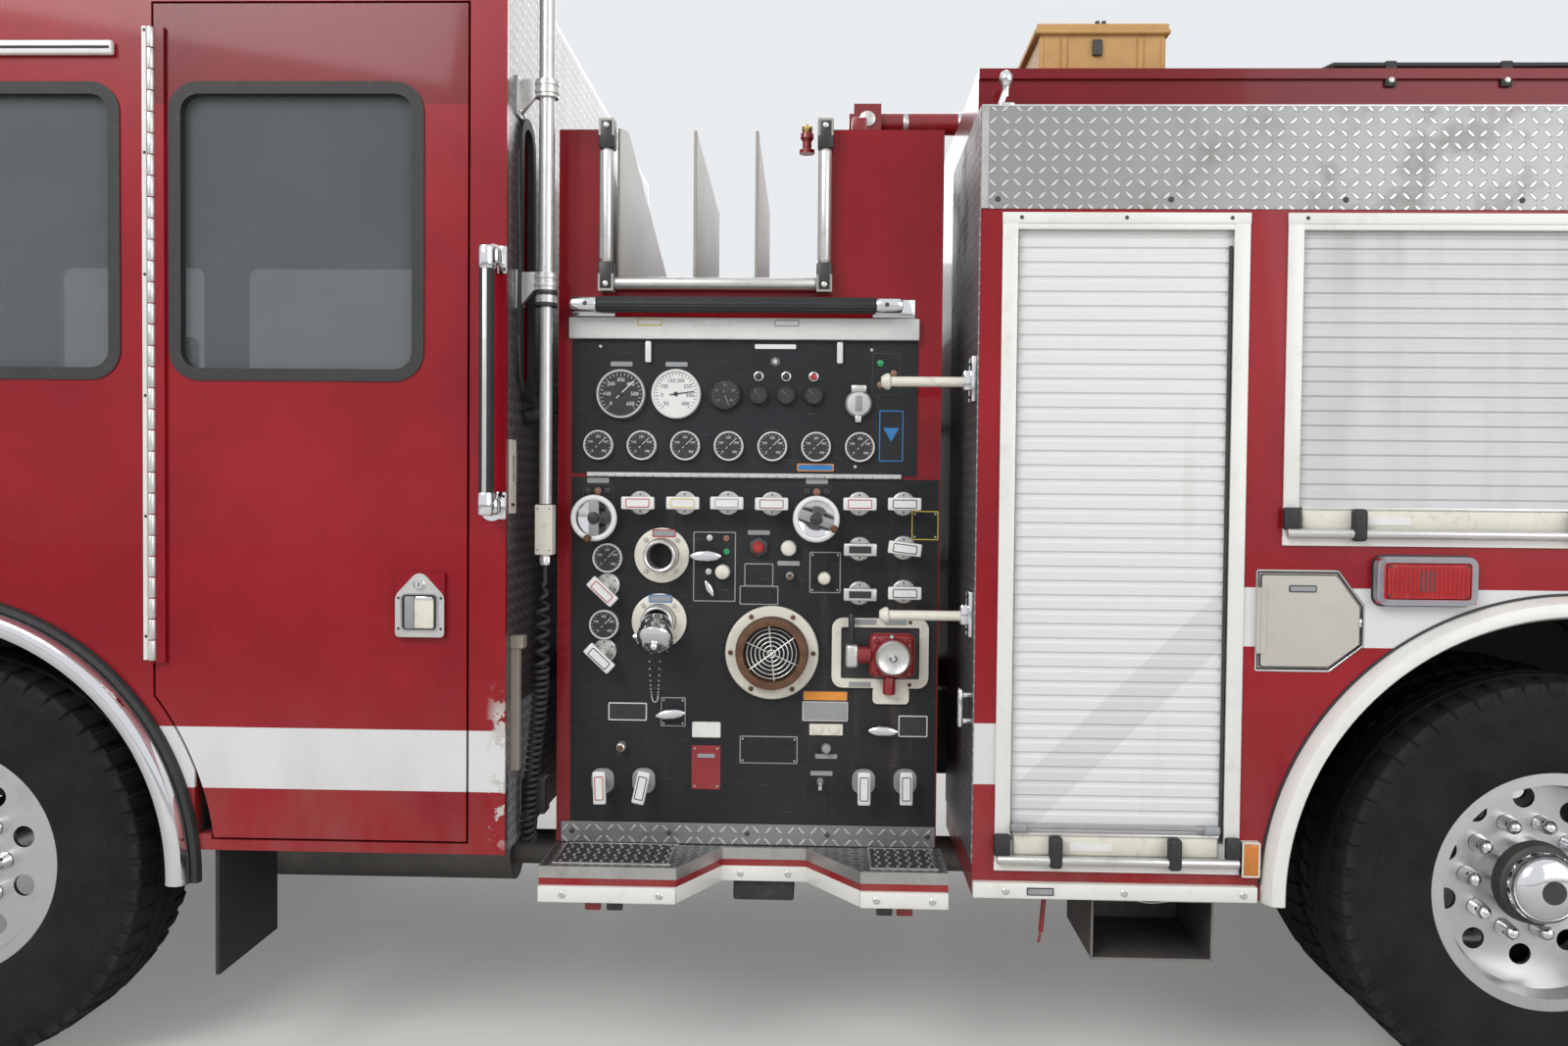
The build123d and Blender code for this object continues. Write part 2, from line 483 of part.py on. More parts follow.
def window(x0, x1, z0, z1, y0, y1):
    return rounded_plate(x0, x1, z0, z1, y0, y1, WINDOW_R)


FRONT_WINDOW = (FRONT_DOOR[0] + 60, FRONT_DOOR[1] - 60)
MIDDLE_WINDOW = (FRONT_AXLE_X - 330.0, FRONT_AXLE_X + 493.0)
CREW_WINDOW = (FRONT_AXLE_X + 644.0, FRONT_AXLE_X + 1254.0)
PANE_OUT_Y = HALF_WIDTH - 20.0
PANE_IN_Y = PANE_OUT_Y - GLASS_T
HINGE_Y = -HALF_WIDTH - HINGE_R - SEAT_GAP
LATCH = (FRONT_AXLE_X + 1263.0, 1222.0, 122.0, 162.0, 12.0)

openings = [door_form(*door, DOOR_GAP) for door in (FRONT_DOOR, CREW_DOOR)]
openings.append(window(*MIDDLE_WINDOW, WINDOW_LOW, WINDOW_TOP, -HALF_WIDTH - 1, -HALF_WIDTH + CAB_WALL + 1))
for cut in openings:
    shell -= cut
    shell -= right(cut)
glass = [window(*MIDDLE_WINDOW, WINDOW_LOW, WINDOW_TOP, -PANE_OUT_Y, -PANE_IN_Y)]
glass.append(right(glass[0]))

# Windscreen in two panes, and a narrow window at each end of the rear wall
SCREEN = (40.0, HALF_WIDTH - 190.0, 1700.0, CAB_ROOF - 380.0)
REAR_SLOT = (120.0 - HALF_WIDTH, 245.0 - HALF_WIDTH, 1760.0, CAB_ROOF - 450.0)
for side in (-1, 1):
    y0, y1 = sorted((side * SCREEN[0], side * SCREEN[1]))
    shell -= box(CAB_FRONT - 5, CAB_FRONT + CAB_RAKE + CAB_WALL + 5, y0, y1, SCREEN[2], SCREEN[3])
    pane = [(front_x(SCREEN[2]) + 20, SCREEN[2]), (front_x(SCREEN[3]) + 20, SCREEN[3]),
            (front_x(SCREEN[3]) + 20 + GLASS_T, SCREEN[3]), (front_x(SCREEN[2]) + 20 + GLASS_T, SCREEN[2])]
    glass.append(side_plate(pane, y0, y1))
    slot_plane = Plane(origin=(CAB_BACK - CAB_WALL - 1, side * (REAR_SLOT[0] + REAR_SLOT[1]) / 2,
                               (REAR_SLOT[2] + REAR_SLOT[3]) / 2), x_dir=(0, 1, 0), z_dir=(1, 0, 0))
    slot_face = slot_plane * RectangleRounded(REAR_SLOT[1] - REAR_SLOT[0], REAR_SLOT[3] - REAR_SLOT[2], 60)
    shell -= extrude(slot_face, CAB_WALL + 2)
    glass.append(Pos(21, 0, 0) * extrude(slot_face, GLASS_T))
save("cab_shell", shell)
save("cab_glass", *glass)


def door(span, pane_span, latch_x):
    panel = door_form(*span, 0) & cab_outer
    panel -= window(*pane_span, WINDOW_LOW, WINDOW_TOP, -HALF_WIDTH - 2, -HALF_WIDTH + DOOR_T + 2)
    hinge_x = span[0] - DOOR_GAP / 2
    panel += rod((hinge_x, HINGE_Y, 1070), (hinge_x, HINGE_Y, DOOR_TOP - 60), HINGE_R)
    panel += box(hinge_x, span[0] + 30, HINGE_Y - 1, -HALF_WIDTH + 10, 1070, DOOR_TOP - 60)
    panel += box(latch_x - LATCH[2] / 2, latch_x + LATCH[2] / 2, -HALF_WIDTH - LATCH[4], -HALF_WIDTH + 5,
                 LATCH[1] - LATCH[3] / 2, LATCH[1] + LATCH[3] / 2)
    pane = window(*pane_span, WINDOW_LOW, WINDOW_TOP, -PANE_OUT_Y, -PANE_IN_Y)
    return panel, pane


front_door = door(FRONT_DOOR, FRONT_WINDOW, FRONT_DOOR[1] - 110)
crew_door = door(CREW_DOOR, CREW_WINDOW, LATCH[0])
save("front_door_left", *front_door)
save("front_door_right", *[right(s) for s in front_door])
save("crew_door_left", *crew_door)
save("crew_door_right", *[right(s) for s in crew_door])

# Inside the cab: dashboard, steering wheel and seats
dash_outline = [(CAB_FRONT + CAB_WALL, 1150), (CAB_FRONT + CAB_WALL, 1560), (CAB_FRONT + 210, 1600), (CAB_FRONT + 330, 1500),
                (CAB_FRONT + 330, 1150)]
dash = side_plate(dash_outline, -1060, 1060)
WHEEL_CENTRE = (CAB_FRONT + 520, -780, 1560)
wheel_plane = Plane(origin=WHEEL_CENTRE, z_dir=(0.55, 0, 0.83))
dash += wheel_plane * Torus(225, 15)
dash += wheel_plane * Pos(0, 0, -15) * Box(440, 36, 14)
dash += rod((CAB_FRONT + 300, -780, 1240), WHEEL_CENTRE, 32)
save("cab_interior", dash)


def seat(x, y, facing):
    """A seat whose cushion starts at x and reaches 430 forward, where facing is -1 for forward and 1 for rearward."""
    def span(a, b):
        return sorted((x + facing * a, x + facing * b))
    base = box(*span(40, 360), y - 170, y + 170, CAB_FLOOR + SEAT_GAP, 1290)
    cushion = fillet(box(*span(0, 430), y - 240, y + 240, 1290, 1400).edges().filter_by(Axis.Y), 35)
    back = fillet(box(*span(-110, 0), y - 240, y + 240, 1330, 2150).edges().filter_by(Axis.Y), 35)
    return base + cushion + back


# x, y and facing of each seat on the left
SEATS = ((FRONT_AXLE_X - 480, HALF_WIDTH - 435, -1), (CAB_BACK - 175, HALF_WIDTH - 390, -1), (CAB_BACK - 175, 300, -1))
seats = [seat(x, side * y, facing) for x, y, facing in SEATS for side in (-1, 1)]
save("seats", *seats)

# Cab outside: lamps, grille, mirrors, rails, fenders
bar_x = CAB_FRONT + CAB_RAKE + 150
bar = fillet(box(bar_x, bar_x + 300, -900, 900, CAB_ROOF + 40, CAB_ROOF + 160).edges().filter_by(Axis.Y), 30)
for y in (-640, 640):
    bar += box(bar_x + 60, bar_x + 240, y - 40, y + 40, CAB_ROOF, CAB_ROOF + 60)
save("light_bar", bar)

GRILLE = (-520.0, 520.0, 965.0, 1500.0)
SLATS = 9
grille = box(CAB_FRONT - 28, CAB_FRONT, GRILLE[0], GRILLE[1], GRILLE[2], GRILLE[3])
grille -= box(CAB_FRONT - 29, CAB_FRONT - 6, GRILLE[0] + 40, GRILLE[1] - 40, GRILLE[2] + 40, GRILLE[3] - 40)
slat_pitch = (GRILLE[3] - GRILLE[2] - 80) / SLATS
grille += [box(CAB_FRONT - 24, CAB_FRONT - 4, GRILLE[0] + 20, GRILLE[1] - 20,
               GRILLE[2] + 40 + (i + 0.35) * slat_pitch, GRILLE[2] + 40 + (i + 0.65) * slat_pitch) for i in range(SLATS)]
save("grille", grille)

HEADLIGHT = (620.0, 1080.0, 985.0, 1170.0)
headlights = []
for side in (-1, 1):
    y0, y1 = sorted((side * HEADLIGHT[0], side * HEADLIGHT[1]))
    housing = box(CAB_FRONT - 34, CAB_FRONT, y0, y1, HEADLIGHT[2], HEADLIGHT[3])
    for y in (y0 + 115, y1 - 115):
        socket = rod((CAB_FRONT - 40, y, 1078), (CAB_FRONT - 8, y, 1078), 82)
        housing -= socket
        housing += rod((CAB_FRONT - 24, y, 1078), (CAB_FRONT - 4, y, 1078), 78)
    headlights.append(housing)
save("headlights", *headlights)

MIRROR_X = FRONT_AXLE_X - 1310.0
MIRROR_PAD = 15.0
MIRROR_ARMS = (1800.0, CAB_ROOF - 570.0)
POST_Y = -HALF_WIDTH - 170.0


def corner_y(x, z):
    """How far out the cab's rounded front corner stands at x and z."""
    return HALF_WIDTH - CAB_CORNER_R + sqrt(CAB_CORNER_R ** 2 - (front_x(z) + CAB_CORNER_R - x) ** 2)


mirror_arm = rod((MIRROR_X - 90, POST_Y, MIRROR_ARMS[0] - 10), (MIRROR_X - 90, POST_Y, MIRROR_ARMS[1] + 10), 12)
mirror_arm += box(MIRROR_X - 130, MIRROR_X - 50, POST_Y - 80, POST_Y + 80, MIRROR_ARMS[0] + 40, MIRROR_ARMS[1] - 40)
for z in MIRROR_ARMS:
    pad_y = -corner_y(MIRROR_X + MIRROR_PAD, z - 25) - 2 * SEAT_GAP
    mirror_arm += rod((MIRROR_X, -HALF_WIDTH - 12, z), (MIRROR_X - 90, POST_Y, z), 12)
    mirror_arm += box(MIRROR_X - MIRROR_PAD, MIRROR_X + MIRROR_PAD, -HALF_WIDTH - 14, pad_y, z - 25, z + 25)
# Grab bars: where they stand along the cab, then lower end, upper end, reach and radius
GRAB_X = (FRONT_AXLE_X - 385.0, FRONT_AXLE_X + 1440.0)
GRAB_LOW, GRAB_TOP, GRAB_REACH, GRAB_R = 1448.0, 2096.0, 62.0, 15.0
GRAB_FOOT_R = 28.0


def grab_bar(x):
    y = -HALF_WIDTH - GRAB_REACH
    bar = rod((x, y, GRAB_LOW), (x, y, GRAB_TOP), GRAB_R)
    for z in (GRAB_LOW + 12, GRAB_TOP - 12):
        bar += rod_y(x, z, y, -HALF_WIDTH, GRAB_R)
        bar += rod_y(x, z, -HALF_WIDTH - 8, -HALF_WIDTH, GRAB_FOOT_R)
    return bar


left_bars = [mirror_arm] + [grab_bar(x) for x in GRAB_X]
save("mirrors_and_grab_bars", *left_bars, *[right(s) for s in left_bars])

fender = disc_y(FRONT_AXLE_X, AXLE_Z, -HALF_WIDTH - FENDER_PROUD, -HALF_WIDTH, FENDER_OUT_R, FENDER_IN_R)
fender -= box(FRONT_AXLE_X - 800, FRONT_AXLE_X + 800, -HALF_WIDTH - 100, 0, -AXLE_Z, FENDER_LOW)
FLAP_X = FRONT_AXLE_X + 738.0
FLAP_T = 10.0
flap = box(FLAP_X, FLAP_X + FLAP_T, -HALF_WIDTH + 10, -HALF_WIDTH + 350, 280, CAB_LOW)
save("front_fenders", fender, right(fender))
save("front_mud_flaps", flap, right(flap))

# Light mast on the cab's rear wall: outer tube in two brackets, sliding inner tube with its box and lamp
MAST_X = CAB_BACK + 73.0
MAST_Y = 115.0 - HALF_WIDTH
MAST_OUT_R = 20.0
MAST_IN_R = 16.5
MAST_LOW = 1976.0
MAST_TOP = CAB_ROOF + 60.0
MAST_GAP = 0.5
MAST_BOX_WIDTH = 42.0
MAST_BOX_LOW = 1345.0
MAST_BOX_TOP = MAST_BOX_LOW + 125.0
MAST_GLAND = 27.0
MAST_LAMP_Z = MAST_TOP + 160.0
MAST_BRACKETS = (2039.0, CAB_ROOF - 375.0)
tube = rod((MAST_X, MAST_Y, MAST_LOW), (MAST_X, MAST_Y, MAST_TOP), MAST_OUT_R)
tube += rod((MAST_X, MAST_Y, MAST_LOW), (MAST_X, MAST_Y, MAST_LOW + 38), 27)
for z in MAST_BRACKETS:
    tube += rod((MAST_X, MAST_Y, z - 22), (MAST_X, MAST_Y, z + 22), 29)
    tube += box(CAB_BACK, MAST_X, MAST_Y - 8, MAST_Y + 8, z - 22, z + 22)
    tube += box(CAB_BACK, CAB_BACK + 6, MAST_Y - 33, MAST_Y + 33, z - 70, z + 26)
tube -= rod((MAST_X, MAST_Y, MAST_LOW - 1), (MAST_X, MAST_Y, MAST_TOP + 1), MAST_IN_R + MAST_GAP)
pole = rod((MAST_X, MAST_Y, MAST_BOX_TOP - 10), (MAST_X, MAST_Y, MAST_LAMP_Z), MAST_IN_R)
half_box = MAST_BOX_WIDTH / 2
pole += box(MAST_X - half_box, MAST_X + half_box, MAST_Y - half_box, MAST_Y + half_box, MAST_BOX_LOW, MAST_BOX_TOP)
pole += rod((MAST_X, MAST_Y, MAST_BOX_LOW - MAST_GLAND), (MAST_X, MAST_Y, MAST_BOX_LOW), 13)
lamp = box(MAST_X - 70, MAST_X + 70, MAST_Y - 150, MAST_Y + 150, MAST_LAMP_Z, MAST_LAMP_Z + 190)
lamp -= box(MAST_X + 40, MAST_X + 71, MAST_Y - 135, MAST_Y + 135, MAST_LAMP_Z + 15, MAST_LAMP_Z + 175)
save("mast_pole", pole + lamp)

# Curly cord from the mast's box down the wall and back up into a junction box on the wall
CORD_R = 21.0
GLAND_Z = MAST_BOX_LOW - MAST_GLAND
JUNCTION_Z = 662.0
# offset from the mast's axis in x and y, and height
CORD_POINTS = [(0, 0, GLAND_Z), (0, 0, 1245), (-7, 0, 1160), (-6, 1, 1010), (-27, 3, 830), (-38, 3, 710),
               (-44, 4, 620), (-42, 43, 598), (-40, 82, 620), (-40, 82, JUNCTION_Z)]
points = [Vector(MAST_X + x, MAST_Y + y, z) for x, y, z in CORD_POINTS]
runs = [b - a for a, b in zip(points, points[1:])]
radii = []
for first, second in zip(runs, runs[1:]):
    turn = radians(first.get_angle(second))
    radii.append(0.45 * min(first.length, second.length) / tan(turn / 2))
print("cord bend radii", [round(r) for r in radii])
route = FilletPolyline(*points, radius=radii)
cord = sweep(Plane(origin=route @ 0, z_dir=route % 0) * Circle(CORD_R), path=route)
print("cord volume", round(cord.volume), "section times length", round(pi * CORD_R ** 2 * route.length))
save("mast_cord", cord)
JUNCTION = (CAB_BACK, CAB_BACK + 62.0, MAST_Y + 82 - 30, MAST_Y + 82 + 30, JUNCTION_Z, JUNCTION_Z + 90)
save("mast_sleeve", tube, box(*JUNCTION))

# Pump house: a hollow box open at the crosslays, and two tall boxes beside them on the left
house = box(PUMP_FRONT, PUMP_BACK, -PUMP_Y, PUMP_Y, PUMP_LOW, PUMP_DECK)
house -= box(PUMP_FRONT + PUMP_WALL, PUMP_BACK - PUMP_WALL, PUMP_WALL - PUMP_Y, PUMP_Y - PUMP_WALL,
             PUMP_LOW - 1, PUMP_DECK - PUMP_WALL)
for x0, x1 in ((PUMP_FRONT, BED_FRONT), (BED_BACK, PUMP_BACK)):
    tower = box(x0, x1, -PUMP_Y, -PUMP_Y + BED_DEPTH, PUMP_DECK, PUMP_TOP)
    tower -= box(x0 + 20, x1 - 20, -PUMP_Y + 20, -PUMP_Y + BED_DEPTH - 20, PUMP_DECK + 10, PUMP_TOP - 10)
    house += tower
PANEL_HOLE = 25.0
for side in (-1, 1):
    y0, y1 = sorted((side * (PUMP_Y + 1), side * (PUMP_Y - PUMP_WALL - 1)))
    for x0, x1, z0, z1 in (LOW_PANEL, GAUGE_PANEL):
        house -= box(x0 + PANEL_HOLE, x1 - PANEL_HOLE, y0, y1, z0 + PANEL_HOLE, z1 - PANEL_HOLE)
house -= box(PUMP_FRONT - 1, PUMP_BACK + 1, -RAIL_Y - 20, RAIL_Y + 20, PUMP_LOW - 1, RAIL_TOP)
house += rod((FRONT_AXLE_X + 2390, -100, PUMP_DECK), (FRONT_AXLE_X + 2390, -100, PUMP_TOP + 40), 60)
save("pump_house", house)

panel = box(LOW_PANEL[0], LOW_PANEL[1], -PANEL_FACE_Y, -PUMP_Y, LOW_PANEL[2], LOW_PANEL[3])
panel -= disc_y(INTAKE_X, INTAKE_Z, -PANEL_FACE_Y - 1, -PUMP_Y + 1, SUCTION_R + 4)
right_panel = right(panel)
right_upper = box(GAUGE_PANEL[0], GAUGE_PANEL[1], PUMP_Y, PANEL_FACE_Y, GAUGE_PANEL[2], GAUGE_PANEL[3])
save("pump_panels", panel, right_panel, right_upper)

# Crosslay dividers and the rollers round the opening
DIVIDERS = (FRONT_AXLE_X + 1910.0, FRONT_AXLE_X + 2072.0)
dividers = []
for x in DIVIDERS:
    outline = [(-PUMP_Y + 10, PUMP_DECK), (-PUMP_Y + 10, PUMP_TOP), (-PUMP_Y + BED_DEPTH, PUMP_TOP - 60),
               (-PUMP_Y + BED_DEPTH, PUMP_DECK)]
    face = make_face(Polyline(*[(x, y, z) for y, z in outline], close=True))
    dividers.append(extrude(face, 6, dir=(1, 0, 0)))
ROLLER_R = 16.0
ROLLER_Y = -PUMP_Y - 26.0
rollers = []
for x in (BED_FRONT + 14, BED_BACK - 14):
    roller = rod((x, ROLLER_Y, PUMP_DECK - 10), (x, ROLLER_Y, PUMP_TOP - 5), ROLLER_R)
    for z in (PUMP_DECK - 10, PUMP_TOP - 5):
        roller += box(x - 20, x + 20, ROLLER_Y - 20, -PUMP_Y, z - 22, z + 22)
    rollers.append(roller)
rollers.append(rod((BED_FRONT + 14, ROLLER_Y, PUMP_DECK - 10), (BED_BACK - 14, ROLLER_Y, PUMP_DECK - 10), ROLLER_R))
STRIP_TOP = GAUGE_PANEL[3] + 58.0
strip = box(GAUGE_PANEL[0] - 8, GAUGE_PANEL[1] + 3, -PANEL_FACE_Y, -PUMP_Y, GAUGE_PANEL[3] + 2, STRIP_TOP)
save("crosslay_frame", *dividers, joined(rollers), strip)

# Gauge panel on the left, hinged along its lower edge
HINGE_Z = GAUGE_PANEL[2] - 5.0
HINGE_PANEL_Y = -PANEL_FACE_Y - 6.0
gauge_plate = box(GAUGE_PANEL[0], GAUGE_PANEL[1], -PANEL_FACE_Y, -PUMP_Y - SEAT_GAP, GAUGE_PANEL[2], GAUGE_PANEL[3])
gauge_plate += rod((GAUGE_PANEL[0] + 40, HINGE_PANEL_Y, HINGE_Z), (GAUGE_PANEL[1] - 40, HINGE_PANEL_Y, HINGE_Z), 5)
gauge_plate += box(GAUGE_PANEL[0] + 40, GAUGE_PANEL[1] - 40, HINGE_PANEL_Y - 2, -PANEL_FACE_Y + 1, HINGE_Z, HINGE_Z + 14)
# x, z, radius of each gauge; x from the front axle
GAUGES = [(1724, 1763, 65), (1869, 1764, 65), (1997, 1765, 42), (2085, 1763, 25), (2157, 1764, 25), (2229, 1764, 25)]
GAUGES += [(1665 + i * 114.4, 1629, 39) for i in range(7)]
for x, z, r in GAUGES:
    gauge_plate += rod_y(FRONT_AXLE_X + x, z, -PANEL_FACE_Y - 16, -PANEL_FACE_Y + 2, r)
save("gauge_panel", gauge_plate)

# Suction inlets and discharge outlets
FLANGE_R = 122.0
ports = []
for side in (-1, 1):
    y = side * PANEL_FACE_Y
    flange = disc_y(INTAKE_X, INTAKE_Z, y, y + side * 22, FLANGE_R, SUCTION_R)
    ring = disc_y(INTAKE_X, INTAKE_Z, y + side * 20, y + side * 62, 93, 72)
    ports.append(flange + ring)
OUTLETS = ((FRONT_AXLE_X + 1835.0, 1341.0), (FRONT_AXLE_X + 1829.0, 1168.0))
OUTLET_BORE_R = 33.0
for side in (-1, 1):
    for x, z in OUTLETS:
        y = side * PANEL_FACE_Y
        outlet = disc_y(x, z, y, y + side * 14, 72, OUTLET_BORE_R) + disc_y(x, z, y + side * 12, y + side * 66, 43, OUTLET_BORE_R)
        ports.append(outlet)
save("pump_ports", *ports)

# Hand wheels and pull handles of the valves
controls = []
HANDWHEELS = ((FRONT_AXLE_X + 1664.0, 1438.0), (FRONT_AXLE_X + 2240.0, 1441.0))
for x, z in HANDWHEELS:
    wheel = Pos(x, -PANEL_FACE_Y - 62, z) * Rot(90, 0, 0) * Torus(52, 8)
    wheel += box(x - 52, x + 52, -PANEL_FACE_Y - 66, -PANEL_FACE_Y - 56, z - 9, z + 9)
    wheel += rod_y(x, z, -PANEL_FACE_Y - 66, -PANEL_FACE_Y, 16)
    controls.append(wheel)
# x from the front axle, z, and lean of the handle from level in degrees
PULLS = [(1777, 1478, 0), (1894, 1479, 0), (2008, 1480, 0), (2124, 1479, 0), (2352, 1481, 0), (2467, 1482, 0),
         (2354, 1363, 0), (2355, 1247, 0), (2469, 1367, 7), (2470, 1252, 0), (1686, 1247, 43), (1679, 1073, 43),
         (1681, 734, 90), (1790, 736, 78), (2371, 743, 90), (2480, 745, 90)]
PULL_REACH = 48.0
for x, z, lean in PULLS:
    x += FRONT_AXLE_X
    pull = rod_y(x, z, -PANEL_FACE_Y - PULL_REACH, -PANEL_FACE_Y, 10) + rod_y(x, z, -PANEL_FACE_Y - 10, -PANEL_FACE_Y, 30)
    pull += Pos(x, -PANEL_FACE_Y - PULL_REACH - 4, z) * Rot(0, lean, 0) * Box(86, 16, 32)
    controls.append(pull)
# Relief valve: body, round cover and lever
VALVE_X = FRONT_AXLE_X + 2441.0
VALVE_Z = 1086.0
valve = box(VALVE_X - 60, VALVE_X + 60, -PANEL_FACE_Y - 50, -PANEL_FACE_Y, VALVE_Z - 56, VALVE_Z + 60)
valve += rod_y(VALVE_X, VALVE_Z, -PANEL_FACE_Y - 78, -PANEL_FACE_Y - 40, 50)
valve += box(VALVE_X - 122, VALVE_X - 50, -PANEL_FACE_Y - 44, -PANEL_FACE_Y, VALVE_Z - 24, VALVE_Z + 24)
controls.append(valve)
save("panel_controls", *controls, *[right(c) for c in controls[2:8]])

# Hand rail above the gauge panel, and running steps
RAIL = (FRONT_AXLE_X + 1600.0, FRONT_AXLE_X + 2455.0, PUMP_DECK - 70.0, 60.0, 16.0)
hand_rail = rod((RAIL[0], -PUMP_Y - RAIL[3], RAIL[2]), (RAIL[1], -PUMP_Y - RAIL[3], RAIL[2]), RAIL[4])
for x in (RAIL[0] + 18, RAIL[1] - 18):
    hand_rail += rod_y(x, RAIL[2], -PUMP_Y - RAIL[3], -PUMP_Y, 20)
save("hand_rails", hand_rail, right(hand_rail))

NOTCH = (FRONT_AXLE_X + 1902.0, FRONT_AXLE_X + 2001.0, FRONT_AXLE_X + 2222.0, FRONT_AXLE_X + 2358.0, PUMP_Y + 30.0)


def step_plan(inset):
    low_y = -PUMP_Y - 2
    return [(STEP_FRONT + inset, low_y), (STEP_FRONT + inset, -HALF_WIDTH + inset), (NOTCH[0] - inset, -HALF_WIDTH + inset),
            (NOTCH[1] - inset, -NOTCH[4] + inset), (NOTCH[2] + inset, -NOTCH[4] + inset),
            (NOTCH[3] + inset, -HALF_WIDTH + inset), (STEP_BACK - inset, -HALF_WIDTH + inset), (STEP_BACK - inset, low_y)]


step = plan_plate(step_plan(0), STEP_LOW, STEP_TOP)
step -= plan_plate(step_plan(STEP_T), STEP_LOW - 1, STEP_TOP - STEP_T)
for x in (STEP_FRONT + 130, STEP_BACK - 130):
    step += box(x - 30, x + 30, -PUMP_Y - 20, -RAIL_Y, STEP_TOP - 60, STEP_TOP - STEP_T)
    step += box(x - 30, x + 30, -RAIL_Y - 18, -RAIL_Y, STEP_TOP - 60, RAIL_TOP - RAIL_HEIGHT + 80)
save("running_steps", step, right(step))

# Deck gun: swivel on the riser, and a barrel hinged on the swivel
GUN_X, GUN_Y, GUN_Z = FRONT_AXLE_X + 2390.0, -100.0, PUMP_TOP + 40.0
swivel = rod((GUN_X, GUN_Y, GUN_Z + SEAT_GAP), (GUN_X, GUN_Y, GUN_Z + 150), 52)
swivel += box(GUN_X - 45, GUN_X + 45, GUN_Y - 62, GUN_Y - 44, GUN_Z + 80, GUN_Z + 290)
swivel += box(GUN_X - 45, GUN_X + 45, GUN_Y + 44, GUN_Y + 62, GUN_Z + 80, GUN_Z + 290)
GUN_PIVOT_Z = GUN_Z + 240.0
GUN_PIN_R = 14.0
swivel -= rod_y(GUN_X, GUN_PIVOT_Z, GUN_Y - 63, GUN_Y + 63, GUN_PIN_R + SEAT_GAP)
save("gun_swivel", swivel)
barrel = rod((GUN_X - 60, GUN_Y, GUN_PIVOT_Z), (GUN_X + 460, GUN_Y, GUN_PIVOT_Z), 36)
barrel += rod((GUN_X + 440, GUN_Y, GUN_PIVOT_Z), (GUN_X + 620, GUN_Y, GUN_PIVOT_Z), 46)
barrel -= rod((GUN_X + 300, GUN_Y, GUN_PIVOT_Z), (GUN_X + 621, GUN_Y, GUN_PIVOT_Z), 26)
barrel += rod_y(GUN_X, GUN_PIVOT_Z, GUN_Y - 43, GUN_Y + 43, 30)
barrel += rod_y(GUN_X, GUN_PIVOT_Z, GUN_Y - 66, GUN_Y + 66, GUN_PIN_R)
save("gun_barrel", barrel)

# Side lockers
# x from, x to, z from, z to of each shutter opening
SHUTTERS = ((BODY_FRONT + 70.0, REAR_AXLE_X - 814.0, 603.0, 2177.0),
            (REAR_AXLE_X - REAR_ARCH_R, REAR_AXLE_X + REAR_ARCH_R, 1409.0, 2177.0),
            (REAR_AXLE_X + 814.0, BODY_BACK - 75.0, 603.0, 2177.0))
FRAME_W = 16.0
# x from the rear axle, and z, of the fill door's corners
FILL_DOOR = [(-765, 1088), (-765, 1331), (-570, 1331), (-508, 1248), (-508, 1150), (-588, 1088)]
fill_outline = [(REAR_AXLE_X + x, z) for x, z in FILL_DOOR]
FILL_DEPTH = 90.0
BEHIND_FRAME = 35.0           # how far a locker reaches behind its shutter's frame
arch = rod_y(REAR_AXLE_X, AXLE_Z, -HALF_WIDTH - 1, -LOCKER_IN_Y + 1, REAR_ARCH_R)
skin = box(BODY_FRONT, BODY_BACK, -HALF_WIDTH, -HALF_WIDTH + SHEET, BODY_LOW, LOCKER_TOP) - arch
for x0, x1, z0, z1 in SHUTTERS:
    skin -= box(x0, x1, -HALF_WIDTH - 1, -HALF_WIDTH + SHEET + 1, z0, z1)
back_wall = box(BODY_FRONT, BODY_BACK, -LOCKER_IN_Y - SHEET, -LOCKER_IN_Y, BODY_LOW, LOCKER_TOP) - arch
CORE_OUT_Y = -HALF_WIDTH + SHEET + SEAT_GAP
CORE_IN_Y = -LOCKER_IN_Y - SHEET - SEAT_GAP
CEILING = LOCKER_TOP - SHEET
roof = box(BODY_FRONT, BODY_BACK, CORE_OUT_Y, CORE_IN_Y, CEILING, LOCKER_TOP)
# Where each locker starts and ends along the body, and its floor
BAYS = [(x0 - BEHIND_FRAME, x1 + BEHIND_FRAME, z0) for x0, x1, z0, z1 in SHUTTERS]
wall_starts = [BODY_FRONT] + [end for start, end, floor in BAYS]
wall_ends = [start for start, end, floor in BAYS] + [BODY_BACK]
uprights = [box(x0, x1, CORE_OUT_Y, CORE_IN_Y, BODY_LOW, CEILING - SEAT_GAP) for x0, x1 in zip(wall_starts, wall_ends)]
floors = [box(start + SEAT_GAP, end - SEAT_GAP, CORE_OUT_Y, CORE_IN_Y, BODY_LOW, floor) for start, end, floor in BAYS]
floors[1] -= arch
recess = side_plate(fill_outline, -HALF_WIDTH - 1, -HALF_WIDTH + FILL_DEPTH)
core = uprights + floors
save("locker_left", skin - recess, back_wall, roof, *[piece - recess for piece in core])
save("locker_right", *[right(piece) for piece in [skin, back_wall, roof] + core])
FILL_T = 12.0
fill_face = offset(make_face(Polyline(*[(x, 0, z) for x, z in fill_outline], close=True)), -DOOR_GAP)
fill_door = Pos(0, -HALF_WIDTH + FILL_T, 0) * extrude(fill_face, FILL_T, dir=(0, -1, 0))
fill_hinge_x = fill_outline[0][0] + DOOR_GAP / 2
fill_door += rod((fill_hinge_x, -HALF_WIDTH - 6 - SEAT_GAP, 1130), (fill_hinge_x, -HALF_WIDTH - 6 - SEAT_GAP, 1290), 6)
